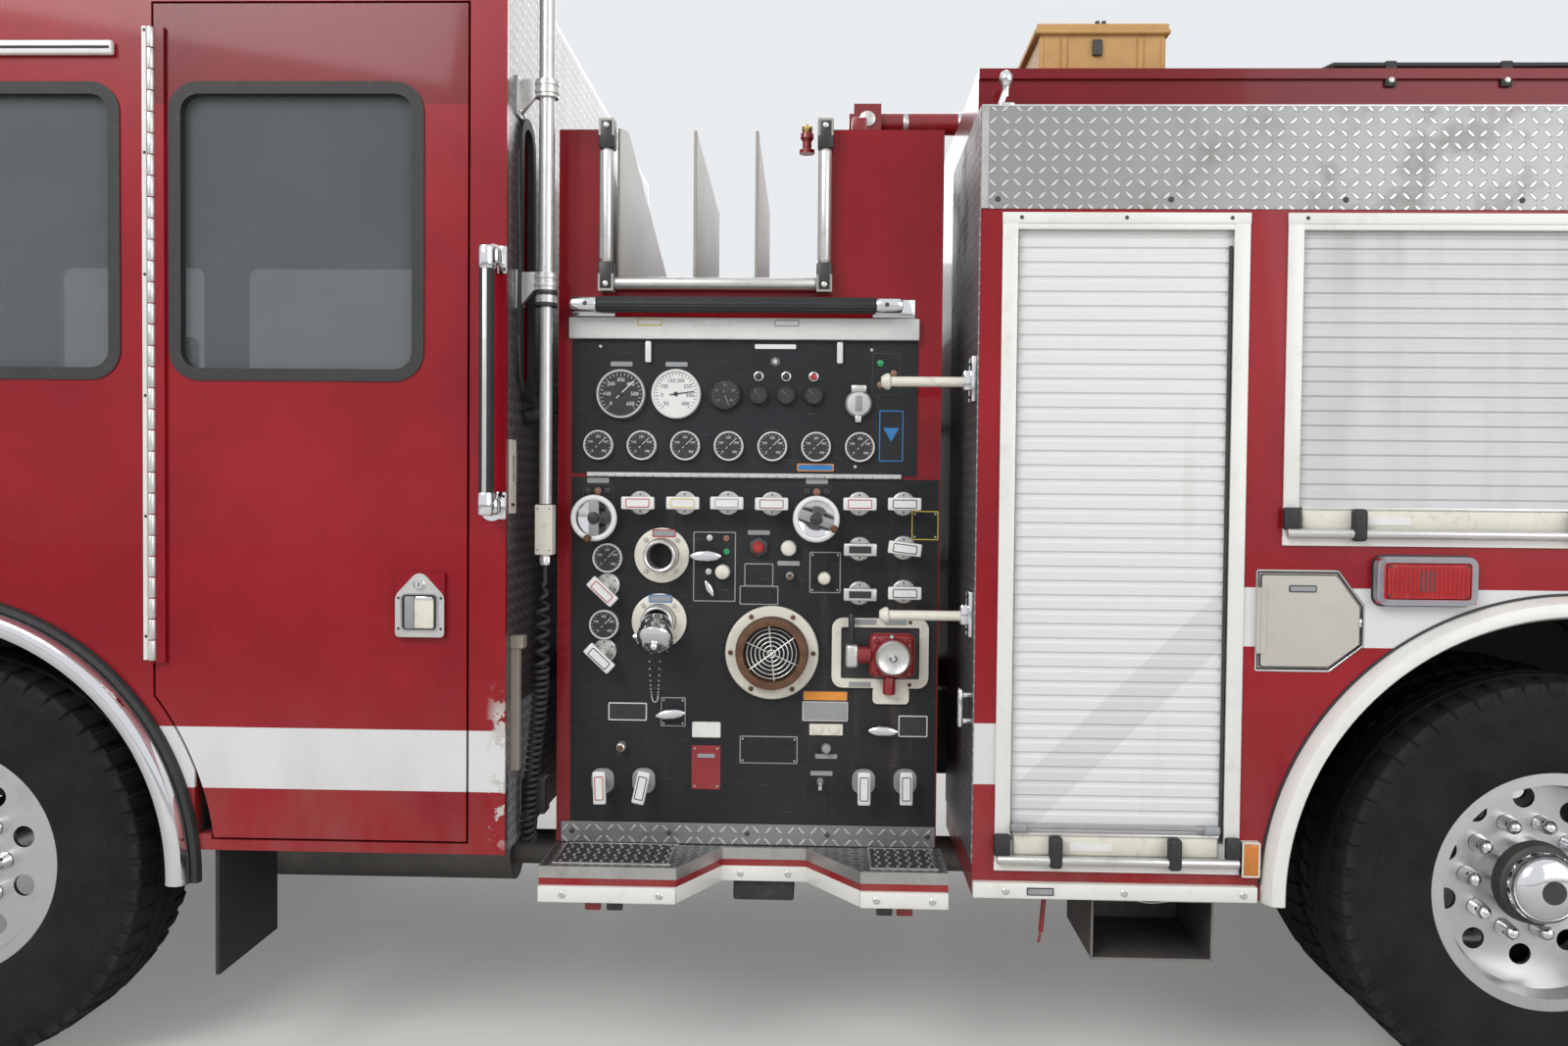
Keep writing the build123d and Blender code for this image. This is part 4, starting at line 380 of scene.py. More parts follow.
DIVIDER = plain("divider_aluminium", (0.36, 0.345, 0.31), 0.45, 0.15, 5.0, metallic=0.3)
DOOR_BEIGE = plain("fill_door_beige", (0.50, 0.475, 0.42), 0.42, 0.08, 5.0,
    dirt=(0.36, 0.33, 0.28), metallic=0.15)
LAMP_GREY = plain("lamp_bezel_grey", (0.30, 0.29, 0.32), 0.4, 0.1)
TAN_COVER = plain("cable_cover", (0.33, 0.29, 0.235), 0.5, 0.15)
BRASS = plain("brass", (0.62, 0.42, 0.16), 0.3, 0.15, metallic=0.9)
EXHAUST = plain("exhaust_steel", (0.15, 0.14, 0.13), 0.55, 0.3, metallic=0.6, dirt_share=0.5)
EXHAUST_GREY = plain("exhaust_grey", (0.24, 0.23, 0.22), 0.5, 0.2, metallic=0.4)
LENS = plain("clear_lens", (0.62, 0.65, 0.68), 0.08, 0.1, coat_weight=0.8)
FRONT_ALLOY = brushed("front_rim_alloy", AXLE)
REAR_ALLOY = brushed("rear_rim_alloy", REAR)
FRONT_RUBBER = tyre_rubber("front_tyre_rubber", AXLE)
REAR_RUBBER = tyre_rubber("rear_tyre_rubber", REAR)


def window_glass():
    glass = Finish("tinted_glass", alpha=0.50, specular_ior_level=0.6)
    colour, smear = smoked(glass)
    return glass.put(base_color=colour, roughness=0.03 + 0.05 * smear)


GLASS = window_glass()

CAD_FINISHES = {CAB_RED: "cab_shell",
    DOOR_RED: "front_door_left front_door_right crew_door_left crew_door_right",
    RED: "pump_house locker_left locker_right hose_bed rear_locker", PLATE_SIDE: "tread_plates tailboard",
    PLATE_TOP: "running_steps", SHUTTER: "roller_shutters", PANEL_BLACK: "pump_panels gauge_panel",
    SATIN: "fenders_and_rub_rails mast_sleeve mast_pole", DIVIDER: "crosslay_frame",
    DOOR_BEIGE: "fill_door", CHROME: "front_bumper mirrors_and_grab_bars grille headlights front_fenders",
    CREAM: "pump_ports", WHITE: "panel_controls",
    RUBBER: "hand_rails front_mud_flaps rear_mud_flaps mast_cord", CHASSIS: "chassis_frame",
    CAST: "running_gear engine_block pump_unit knuckle_left knuckle_right", EXHAUST: "exhaust_pipe",
    TANK: "tanks", VINYL: "hose_bed_cover", TAN: "storage_case storage_lid",
    RED_LENS: "marker_lamps light_bar", GLASS: "cab_glass", TRIM: "cab_interior", SEAT: "seats",
    VALVE_RED: "gun_swivel gun_barrel", FRONT_ALLOY: "front_rim_left front_rim_right",
    REAR_ALLOY: "rear_rims_left rear_rims_right", FRONT_RUBBER: "front_tyre_left front_tyre_right",
    REAR_RUBBER: "rear_tyres_left rear_tyres_right", }
for finish, names in CAD_FINISHES.items():
    for name in names.split():
        mesh = nodes[name].data
        mesh.materials.clear()
        mesh.materials.append(finish.material)

# Camera, light and floor
camera_data = bpy.data.cameras.new("camera")
camera_data.lens = 29.09
camera_data.sensor_width = 36.0
camera = bpy.data.objects.new("camera", camera_data)
bpy.context.scene.collection.objects.link(camera)
rightward, downward, forward = (0.999487, 0.03054, 0.009621), (0.010405, -0.025648,
    -0.999617), (-0.030282, 0.999204, -0.025953)
turn = Matrix([rightward, [-v for v in downward], [-v for v in forward]]).transposed()
camera.matrix_world = Matrix.Translation((AXLE + 2.2557, -4.3603, 1.5151)) @ turn.to_4x4()
bpy.context.scene.camera = camera
bpy.context.scene.view_settings.view_transform = "Standard"

world = bpy.data.worlds.new("studio")
bpy.context.scene.world = world
world.use_nodes = True
sky = world.node_tree
background = sky.nodes["Background"]
background.inputs["Color"].default_value = (0.82, 0.84, 0.86, 1)
seen = sky.nodes.new("ShaderNodeLightPath")
shown = seen.outputs["Is Camera Ray"]
for ray in ("Is Glossy Ray", "Is Transmission Ray"):
    either = sky.nodes.new("ShaderNodeMath")
    either.operation = "MAXIMUM"
    sky.links.new(shown, either.inputs[0])
    sky.links.new(seen.outputs[ray], either.inputs[1])
    shown = either.outputs[0]
strength = sky.nodes.new("ShaderNodeMix")
strength.inputs[2].default_value = 0.62
strength.inputs[3].default_value = 1.0
sky.links.new(shown, strength.inputs[0])
sky.links.new(strength.outputs[0], background.inputs["Strength"])
for name, place, size, power in (("key_light", (-5.0, -8.0, 7.5), 5.0, 620.0),
        ("fill_light", (6.0, -7.0, 4.0), 6.0, 240.0), ("back_light", (0.0, 8.0, 6.5), 6.0, 300.0)):
    lamp_data = bpy.data.lights.new(name, "AREA")
    lamp_data.energy = power
    lamp_data.size = size
    lamp = bpy.data.objects.new(name, lamp_data)
    bpy.context.scene.collection.objects.link(lamp)
    lamp.location = place
    lamp.rotation_euler = (Vector((0, 0, 1.0)) - Vector(place)).to_track_quat("-Z", "Y").to_euler()

bpy.ops.object.select_all(action="DESELECT")
bpy.ops.mesh.primitive_plane_add(size=60, location=(0, 0, 0))
floor = bpy.context.object
floor.name = "floor"
FLOOR = plain("floor_concrete", (0.62, 0.61, 0.59), 0.8, 0.04, 3.0, dirt_share=0.05)
seen_floor = FLOOR.node("ShaderNodeLightPath", out="Is Camera Ray")
FLOOR.put(emission_color=(0.62, 0.61, 0.59), emission_strength=seen_floor * 0.30)
floor.data.materials.append(FLOOR.material)


# modelling helpers
def clear():
    """Back to object mode with nothing selected."""
    if bpy.context.mode != "OBJECT":
        bpy.ops.object.mode_set(mode="OBJECT")
    bpy.ops.object.select_all(action="DESELECT")


def select(piece):
    clear()
    piece.select_set(True)
    bpy.context.view_layer.objects.active = piece


def shape(piece):
    select(piece)
    bpy.ops.object.mode_set(mode="EDIT")
    bpy.ops.mesh.select_all(action="SELECT")


def settle(piece, finish=None):
    """Applies the place, turns faces outward and gives the finish."""
    shape(piece)
    bpy.ops.mesh.normals_make_consistent(inside=False)
    select(piece)
    bpy.ops.object.transform_apply(location=True, rotation=True, scale=True)
    if finish:
        piece.data.materials.clear()
        piece.data.materials.append(finish.material)
    return piece


def block(finish, x, y, z, rounding=0.0, segments=2):
    """A box over the spans x, y and z, with its edges rounded."""
    clear()
    centre = [(low + high) / 2 for low, high in (x, y, z)]
    bpy.ops.mesh.primitive_cube_add(size=1, location=centre)
    piece = bpy.context.object
    piece.scale = [abs(high - low) for low, high in (x, y, z)]
    bpy.ops.object.transform_apply(location=True, rotation=True, scale=True)
    if rounding:
        shape(piece)
        bpy.ops.mesh.bevel(offset=rounding, segments=segments, affect="EDGES")
    return settle(piece, finish)


def round_corners(piece, corner, segments):
    """Rounds the edges that run across a plate's thickness."""
    shape(piece)
    bpy.ops.mesh.select_mode(type="EDGE")
    bpy.ops.mesh.select_all(action="DESELECT")
    bpy.ops.object.mode_set(mode="OBJECT")
    for edge in piece.data.edges:
        a, b = [piece.data.vertices[i].co for i in edge.vertices]
        edge.select = abs(a.y - b.y) > 1e-6
    bpy.ops.object.mode_set(mode="EDIT")
    bpy.ops.mesh.bevel(offset=corner, segments=segments, affect="EDGES")


def panel_plate(finish, x, z, y, corner, segments=4):
    """A plate over x and z between the two values of y, with the four corners rounded."""
    piece = block(finish, x, y, z)
    round_corners(piece, corner, segments)
    return settle(piece)


TURNS = {"out": (math.pi / 2, 0, 0), "in": (-math.pi / 2, 0, 0), "up": (0, 0, 0), "back": (0, math.pi / 2, 0)}

# Heads of screws and bolts, as distance along the axis and radius
RIVET = [(0, 0.004), (0.002, 0.003)]
PIN = [(0, 0.005), (0.002, 0.004)]
CAP_SCREW = [(0, 0.006), (0.003, 0.005)]
BOLT = [(0, 0.008), (0.003, 0.008), (0.005, 0.005)]
RAIL_BOLT = [(0, 0.0085), (0.002, 0.0085), (0.004, 0.006)]
DOME = [(0.002, 0.0075), (0.005, 0.0065), (0.006, 0.004)]


def turned(finish, steps, place=(0, 0, 0), toward="out", sides=32, ring=False):
    """A turned piece from steps (distance along the axis, radius); a ring comes back to its first step."""
    clear()
    bpy.ops.mesh.primitive_circle_add(vertices=sides, radius=steps[0][1],
        location=(0, 0, steps[0][0]), fill_type="NGON")
    piece = bpy.context.object
    bpy.ops.object.transform_apply(location=True)
    shape(piece)
    for (d0, r0), (d1, r1) in zip(steps, steps[1:]):
        bpy.ops.mesh.extrude_region_move(TRANSFORM_OT_translate={"value": (0, 0, d1 - d0)})
        if r1 != r0:
            bpy.ops.transform.resize(value=(r1 / r0, r1 / r0, 1), center_override=(0, 0, d1))
    if ring:
        bpy.ops.object.mode_set(mode="OBJECT")
        for face in piece.data.polygons:
            face.select = len(face.vertices) == sides
        bpy.ops.object.mode_set(mode="EDIT")
        bpy.ops.mesh.select_mode(type="FACE")
        bpy.ops.mesh.delete(type="ONLY_FACE")
        bpy.ops.mesh.select_all(action="SELECT")
        bpy.ops.mesh.remove_doubles(threshold=1e-5)
    select(piece)
    piece.rotation_euler = TURNS[toward]
    piece.location = place
    return settle(piece, finish)


def bar(finish, a, b, radius, sides=16, rounding=0.0):
    """A round bar from a to b, with softened ends."""
    clear()
    a, b = Vector(a), Vector(b)
    length = (b - a).length
    bpy.ops.mesh.primitive_cylinder_add(vertices=sides, radius=radius, depth=length, location=(a + b) / 2)
    piece = bpy.context.object
    piece.rotation_euler = (b - a).to_track_quat("Z", "Y").to_euler()
    if rounding:
        shape(piece)
        bpy.ops.mesh.select_all(action="DESELECT")
        bpy.ops.object.mode_set(mode="OBJECT")
        for edge in piece.data.edges:
            p, q = [piece.data.vertices[i].co for i in edge.vertices]
            edge.select = abs(p.z - q.z) < 1e-6
        bpy.ops.object.mode_set(mode="EDIT")
        bpy.ops.mesh.bevel(offset=rounding, segments=2, affect="EDGES")
    return settle(piece, finish)


def copied(piece, offset=(0, 0, 0), turn=0.0, centre=(0, 0, 0), axis="Y", scale=1.0):
    """A copy with its own mesh, turned about an axis through centre, scaled and then moved."""
    twin = piece.copy()
    twin.data = piece.data.copy()
    bpy.context.scene.collection.objects.link(twin)
    middle = Matrix.Translation(centre)
    change = Matrix.Rotation(turn, 4, axis) @ Matrix.Scale(scale, 4)
    twin.data.transform(Matrix.Translation(offset) @ middle @ change @ middle.inverted())
    return twin


def leaned(piece, turn, centre=(0, 0, 0)):
    """Turns a piece about the Y axis through centre, where it is."""
    middle = Matrix.Translation(centre)
    piece.data.transform(middle @ Matrix.Rotation(turn, 4, "Y") @ middle.inverted())
    return piece


def quarter_turned(piece, x, y=0, way=1):
    """Turns a piece a quarter round the upright axis and moves it by x and y."""
    piece.data.transform(Matrix.Translation((x, y, 0)) @ Matrix.Rotation(way * math.pi / 2, 4, "Z"))
    return piece


def discard(*pieces):
    for piece in pieces:
        bpy.data.objects.remove(piece)


def mirrored(piece):
    """The same piece on the vehicle's right."""
    twin = copied(piece)
    twin.data.transform(Matrix.Scale(-1, 4, (0, 1, 0)))
    shape(twin)
    bpy.ops.mesh.flip_normals()
    clear()
    return twin


def joined(name, pieces, body, slot, *stands_for, angle=35.0):
    """Joins pieces as one that rides on body; slot is not used."""
    clear()
    for piece in pieces:
        piece.select_set(True)
    bpy.context.view_layer.objects.active = pieces[0]
    if len(pieces) > 1:
        bpy.ops.object.join()
    whole = bpy.context.view_layer.objects.active
    bpy.ops.object.shade_smooth_by_angle(angle=math.radians(angle))
    whole.name = name
    whole.data.name = name
    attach(whole, body)
    if stands_for:
        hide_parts(*stands_for)
    return whole


def fx(x):
    """Metres along the vehicle from millimetres behind the front axle."""
    return AXLE + x / 1000


def spot(x, z, y=PANEL):
    """A place on the pump panel, from millimetres behind the front axle and above the ground."""
    return (fx(x), y, z / 1000)


# curly cord of the light mast
MAST = Vector((-0.649, -1.135, 0))
# The cord's way from the mast's foot, as offsets from the mast
CORD_ROUTE = [(0, 0, 1.318), (0, 0, 1.245), (-0.007, 0, 1.160), (-0.006, 0.001, 1.010),
    (-0.027, 0.003, 0.830), (-0.038, 0.003, 0.710), (-0.044, 0.004, 0.620), (-0.042, 0.043, 0.598),
    (-0.040, 0.082, 0.620), (-0.040, 0.082, 0.662)]


def smooth_line(name, points, resolution=16):
    """A NURBS curve that these control points draw."""
    curve = bpy.data.curves.new(name, "CURVE")
    curve.dimensions = "3D"
    curve.resolution_u = resolution
    line = curve.splines.new("NURBS")
    line.points.add(len(points) - 1)
    for knot, point in zip(line.points, points):
        knot.co = (*point, 1)
    line.order_u = 3
    line.use_endpoint_u = True
    return curve


def meshed(curve):
    holder = bpy.data.objects.new(curve.name, curve)
    bpy.context.scene.collection.objects.link(holder)
    bpy.context.view_layer.update()
    mesh = bpy.data.meshes.new_from_object(holder)
    bpy.data.objects.remove(holder)
    return mesh


def line_points(name, points):
    """The points that the curve follows."""
    mesh = meshed(smooth_line(name, points))
    found = [v.co.copy() for v in mesh.vertices]
    bpy.data.meshes.remove(mesh)
    return found


def curly_cord():
    route = line_points("cord_route", [MAST + Vector(p) for p in CORD_ROUTE])
    lengths = [0.0]
    for a, b in zip(route, route[1:]):
        lengths.append(lengths[-1] + (b - a).length)
    total = lengths[-1]

    def at(distance):
        for i in range(1, len(route)):
            if lengths[i] >= distance:
                share = (distance - lengths[i - 1]) / max(lengths[i] - lengths[i - 1], 1e-9)
                return route[i - 1].lerp(route[i], share), (route[i] - route[i - 1]).normalized()
        return route[-1], (route[-1] - route[-2]).normalized()

    helix = []
    distance, angle = 0.0, 0.0
    while distance < total:
        middle, ahead = at(distance)
        sideways = ahead.cross(Vector((0, 1, 0.3))).normalized()
        other = ahead.cross(sideways)
        grow = min(1.0, max(0.0, (distance - 0.03) / 0.10))
        grow *= min(1.0, max(0.0, (total - 0.045 - distance) / 0.05))
        pitch = 0.034 if distance < 0.26 else 0.0165
        reach = 0.015 * grow
        helix.append(middle + sideways * math.cos(angle) * reach + other * math.sin(angle) * reach)
        step = pitch / 14 if grow > 0 else 0.01
        angle += 2 * math.pi * step / pitch if grow > 0 else 0.0
        distance += step
    helix.append(route[-1])
    path = line_points("cord_helix", helix)
    curve = smooth_line("mast_curly_cord", helix, 3)
    curve.bevel_depth = 0.006
    curve.bevel_resolution = 2
    curve.use_fill_caps = True
    mesh = meshed(curve)
    cord = bpy.data.objects.new("mast_curly_cord", mesh)
    bpy.context.scene.collection.objects.link(cord)
    mesh.materials.clear()
    mesh.materials.append(RUBBER.material)
    select(cord)
    bpy.ops.object.shade_smooth()
    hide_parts("mast_cord")
    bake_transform(cord)
    return cord


curly_cord()


# tyres and wheel trim
def road_tyre(finish, centre_x, centre_y, side, shoulder_lugs=54):
    """A tyre with three grooves, stepped shoulder lugs and a ribbed wall; side is -1 on the left."""
    half, tread = 0.148, 0.535
    steps = [(-half + 0.026, 0.299), (-half + 0.008, 0.33), (-half, 0.41), (-half + 0.004, 0.455),
        (-half + 0.002, 0.462), (-half + 0.010, 0.505), (-half + 0.020, 0.522), (-0.062, 0.528),
        (-0.060, 0.516), (-0.050, 0.516), (-0.048, tread), (-0.006, tread), (-0.005, 0.518), (0.005, 0.518),
        (0.006, tread), (0.048, tread), (0.050, 0.516), (0.060, 0.516), (0.062, 0.528),
        (half - 0.020, 0.522), (half - 0.010, 0.505), (half - 0.002, 0.462), (half - 0.004, 0.455),
        (half, 0.41), (half - 0.008, 0.33), (half - 0.026, 0.299), (-half + 0.026, 0.299)]
    body = turned(finish, steps, (centre_x, centre_y, HUB_Z), sides=96, ring=True)
    lug = block(finish, (-0.0195, 0.0195), (0.062, half - 0.006), (0.500, tread), 0.004, 1)
    shape(lug)
    bpy.ops.mesh.select_all(action="DESELECT")
    bpy.ops.object.mode_set(mode="OBJECT")
    for vertex in lug.data.vertices:
        if vertex.co.y > 0.1:
            vertex.co.z -= 0.010
    parts = [body]
    for row in (-1, 1):
        for i in range(shoulder_lugs):
            twin = copied(lug, turn=math.pi if row < 0 else 0.0, axis="Z")
            twin.data.transform(Matrix.Rotation((i + 0.25 * row) * 2 * math.pi / shoulder_lugs, 4, "Y"))
            twin.data.transform(Matrix.Translation((centre_x, centre_y, HUB_Z)))
            parts.append(twin)
    rib = turned(finish, [(0, 0.452), (0.003, 0.4505), (0.003, 0.4475), (0, 0.446), (0, 0.452)],
                 (centre_x, centre_y + side * (half - 0.006), HUB_Z), "out" if side < 0 else "in", 96, True)
    discard(lug)
    return parts + [rib]


# Middle planes of the tyres, and the circle of the wheel nuts
OUTER_Y, INNER_Y = 1.064, 0.726
NUT_RING = 0.142875
for side, word in ((-1, "left"), (1, "right")):
    joined(f"front_road_tyre_{word}", road_tyre(FRONT_RUBBER, AXLE, side * OUTER_Y, side),
        f"front_wheel_{word}", "tyre", f"front_tyre_{word}", angle=30)
    twins = road_tyre(REAR_RUBBER, REAR, side * OUTER_Y, side)
    twins += road_tyre(REAR_RUBBER, REAR, side * INNER_Y, side)
    joined(f"rear_road_tyres_{word}", twins, f"rear_wheels_{word}", "tyre", f"rear_tyres_{word}", angle=30)

# Bullet covers on the wheel nuts, and hub caps
for centre_x, disc_y, word, body in ((AXLE, -1.159, "front", "front_wheel"),
        (REAR, -1.042, "rear", "rear_wheels")):
    hub = (centre_x, disc_y, HUB_Z)
    cover = turned(CHROME, [(0.002, 0.0235), (0.012, 0.0225), (0.030, 0.0205), (0.044, 0.0185),
        (0.054, 0.013), (0.058, 0.005)], hub, sides=14)
    covers = []
    for i in range(10):
        angle = (i + 0.5) * math.pi / 5
        covers.append(copied(cover, (NUT_RING * math.sin(angle), 0, NUT_RING * math.cos(angle))))
    discard(cover)
    if word == "rear":
        covers += [
            turned(CAST, [(0.054, 0.107), (0.062, 0.106), (0.085, 0.101), (0.090, 0.094)], hub, sides=40),
            turned(CHROME, [(0.088, 0.090), (0.112, 0.089), (0.128, 0.082), (0.140, 0.066), (0.147, 0.040),
                (0.149, 0.018)], hub, sides=40),
            turned(CAST, [(0.1485, 0.030), (0.151, 0.029), (0.151, 0.024)], hub, sides=24)]
    else:
        covers.append(turned(CHROME, [(0.040, 0.107), (0.062, 0.104), (0.068, 0.094), (0.070, 0.060),
            (0.074, 0.056), (0.074, 0.02)], (centre_x, disc_y + 0.02, HUB_Z), sides=40))
    twins = [mirrored(piece) for piece in covers]
    joined(f"{word}_nut_covers_left", covers, f"{body}_left", "chrome")
    joined(f"{word}_nut_covers_right", twins, f"{body}_right", "chrome")


# pump panel
def ring_plate(finish, x, z, y, corner, width, segments=5):
    """A rounded plate with a rounded hole, width from edge to hole."""
    piece = panel_plate(finish, x, z, y, corner, segments)
    shape(piece)
    bpy.ops.mesh.select_mode(type="FACE")
    bpy.ops.mesh.select_all(action="DESELECT")
    bpy.ops.object.mode_set(mode="OBJECT")
    for face in piece.data.polygons:
        face.select = abs(face.normal.y) > 0.9
    bpy.ops.object.mode_set(mode="EDIT")
    bpy.ops.mesh.inset(thickness=width)
    bpy.ops.mesh.bridge_edge_loops()
    return settle(piece)


def tag(finish, x, z, width, height, y=PANEL, thick=0.0015, corner=0.003, paper=None):
    """A blank plate centred at x, z in panel millimetres, with an inner field of another finish."""
    cx, cz = AXLE + x / 1000, z / 1000
    w, h = width / 2000, height / 2000
    parts = [panel_plate(finish, (cx - w, cx + w), (cz - h, cz + h), (y - thick, y),
        min(corner, h * 0.8), 3)]
    if paper:
        w, h = w - 0.0028, h - 0.0028
        parts.append(panel_plate(paper, (cx - w, cx + w), (cz - h, cz + h),
            (y - thick - 0.0005, y - thick + 0.0002), 0.002, 2))
    return parts


def around(count, radius, start=0):
    """Places sideways and up that lie evenly round a circle, from start degrees on."""
    turns = [math.radians(start + 360 / count * i) for i in range(count)]
    return [(radius * math.cos(turn), radius * math.sin(turn)) for turn in turns]


def ring_of(count, radius, start, finish, steps, centre=(0, 0, 0), sides=6):
    """Screws or nuts that stand evenly round a centre on the panel or at the origin."""
    places = [(centre[0] + a, centre[1], centre[2] + b) for a, b in around(count, radius, start)]
    return [turned(finish, steps, place, sides=sides) for place in places]


def hoop(finish, radius, thickness, segments, place, turn=(math.pi / 2, 0, 0)):
    """A round ring about place."""
    clear()
    bpy.ops.mesh.primitive_torus_add(major_radius=radius, minor_radius=thickness, location=place,
        major_segments=segments[0], minor_segments=segments[1], rotation=turn)
    return settle(bpy.context.object, finish)


def screw(x, z, y=PANEL, radius=0.0045, finish=None):
    return turned(finish or SATIN, [(0, radius), (0.002, radius), (0.0035, radius * 0.6)],
        spot(x, z, y), sides=10)


def figures(finish, words, size, place):
    """Dial numbers as a flat mesh that faces the viewer."""
    clear()
    bpy.ops.object.text_add(location=place, rotation=(math.pi / 2, 0, 0))
    text = bpy.context.object
    text.data.body = words
    text.data.size = size
    text.data.align_x = "CENTER"
    text.data.align_y = "CENTER"
    text.data.resolution_u = 2
    select(text)
    bpy.ops.object.convert(target="MESH")
    piece = bpy.context.object
    bpy.ops.object.transform_apply(location=True, rotation=True, scale=True)
    piece.data.materials.clear()
    piece.data.materials.append(finish.material)
    return piece


def dial(radius, bezel, face, ink, numbers, needle, thick=0.016):
    """A pressure gauge at the panel's own origin: bezel, face, scale marks, numbers and needle."""
    parts = [turned(bezel, [(0, radius), (thick - 0.004, radius), (thick, radius * 0.965),
        (thick, radius * 0.91), (thick - 0.005, radius * 0.875)], (0, 0, 0), sides=44)]
    y = -(thick - 0.0048)
    parts.append(turned(face, [(thick - 0.006, radius * 0.872),
        (thick - 0.0048, radius * 0.872)], (0, 0, 0), sides=40))
    major = len(numbers) - 1
    count = major * 4
    mark = block(ink, (-radius * 0.010, radius * 0.010), (y - 0.0005, y), (radius * 0.74, radius * 0.84))
    for i in range(count + 1):
        turn = math.radians(-135 + 270 * i / count)
        twin = copied(mark, turn=turn)
        if i % 4 == 0:
            parts.append(copied(mark, offset=(-0.055 * radius * math.sin(turn), 0,
                -0.055 * radius * math.cos(turn)), turn=turn))
        parts.append(twin)
    discard(mark)
    for i, number in enumerate(numbers):
        turn = math.radians(-135 + 270 * i / major)
        if number:
            parts.append(figures(ink, number, radius * 0.22,
                (radius * 0.56 * math.sin(turn), y - 0.0004, radius * 0.56 * math.cos(turn))))
    hand = block(ink, (-radius * 0.02, radius * 0.02), (y - 0.0022, y - 0.0014),
        (-radius * 0.25, radius * 0.74))
    parts.append(copied(hand, turn=math.radians(needle)))
    discard(hand)
    parts.append(turned(BLACK, [(thick - 0.0048, radius * 0.09),
        (thick - 0.0015, radius * 0.08)], (0, 0, 0), sides=16))
    return parts


def placed(parts, x, z, y=PANEL):
    """Copies of parts made at the origin, set at a place on the panel."""
    return [copied(piece, spot(x, z, y)) for piece in parts]


gauge_parts = [
    panel_plate(PANEL_BLACK, (fx(1595), fx(2500)), (1.555, 1.905), (PANEL, -1.0303), 0.004, 2),
    block(SATIN, (fx(1635), fx(2460)), (PANEL - 0.0045, PANEL), (1.5515, 1.558))]
for i in range(33):
    x = AXLE + 1.636 + i * 0.025
    gauge_parts.append(bar(SATIN, (x, PANEL - 0.005, 1.5495),
        (x + 0.0235, PANEL - 0.005, 1.5495), 0.0040, 10))
big = dial(0.065, SATIN, BLACK, WHITE, ["0", "100", "200", "300", "400", "500", "600"], 45)
pale = dial(0.065, WHITE, WHITE, BLACK, ["30", "0", "100", "150", "200", "250", "300", "400"], 82)
small = dial(0.039, WHITE, BLACK, WHITE, ["0", "100", "200", "300", "400"], 45)
tacho = dial(0.042, BLACK, BLACK, LABEL_GREY, ["0", "10", "20", "30", "40"], 160)
tiny = dial(0.025, BLACK, BLACK, LABEL_GREY, ["", "", ""], -40)
gauge_parts += placed(big, 1724, 1763) + placed(pale, 1869, 1764) + placed(tacho, 1997, 1765)
for x in (2085, 2157, 2229):
    gauge_parts += placed(tiny, x, 1764)
for i in range(7):
    gauge_parts += placed(small, 1665 + 114.4 * i, 1629)
discard(*big, *pale, *tacho, *tiny)
for x, lens in ((2085, BLACK), (2157, BLACK), (2229, RED_LENS)):
    gauge_parts += [
        turned(SATIN, [(0, 0.0125), (0.004, 0.0125), (0.005, 0.010), (0.003, 0.009)],
            spot(x, 1812), sides=20),
        turned(lens, [(0.003, 0.009), (0.006, 0.008), (0.0075, 0.004)], spot(x, 1812), sides=16)]
for x in (1724, 1869):
    gauge_parts += tag(LABEL_GREY, x, 1842, 58, 12)
gauge_parts += tag(WHITE, 2128, 1890, 108, 12) + tag(LABEL_ORANGE, 2236, 1575, 96, 20, paper=LABEL_BLUE)
gauge_parts += tag(BLACK, 2418, 1819, 75, 112, paper=PANEL_BLACK)
gauge_parts += tag(LABEL_BLUE, 2433, 1659, 63, 133, paper=PANEL_BLACK)
for x, z, lens in ((2403, 1848, GREEN), (2438, 1822, LABEL_BROWN), (2403, 1792, LABEL_BROWN)):
    gauge_parts.append(turned(lens, [(0.001, 0.009), (0.004, 0.0085),
        (0.006, 0.005)], spot(x, z), sides=16))
wedge = turned(LABEL_BLUE, [(0.0015, 0.024), (0.0022, 0.024)], (0, 0, 0), sides=3)
gauge_parts.append(copied(wedge, spot(2433, 1668), math.pi))
discard(wedge)
for x, z in ((1668, 1888), (2380, 1883), (2340, 1578)):
    gauge_parts.append(screw(x, z))
for x in (1795, 2297):
    gauge_parts.append(block(WHITE, (fx(x - 8), fx(x + 8)), (PANEL - 0.012, PANEL),
        (1.846, 1.902), 0.004, 2))
# Covered socket and the small key switch
gauge_parts += [
    turned(SATIN, [(0, 0.035), (0.012, 0.035), (0.018, 0.030), (0.020, 0.010)], spot(2347, 1742), sides=28),
    block(SATIN, (AXLE + 2.327, AXLE + 2.367), (PANEL - 0.022, PANEL), (1.772, 1.790), 0.004, 2),
    block(LABEL_GREY, (AXLE + 2.338, AXLE + 2.356), (PANEL - 0.023, PANEL - 0.01),
        (1.722, 1.762), 0.003, 2),
    block(SATIN, (AXLE + 2.338, AXLE + 2.354), (PANEL - 0.016, PANEL), (1.693, 1.712), 0.003, 2),
    turned(SATIN, [(0, 0.014), (0.003, 0.013), (0.010, 0.006)], spot(2128, 1850), sides=6)]
joined("gauge_panel_dressed", gauge_parts, "gauge_panel", "black_panel", "gauge_panel")

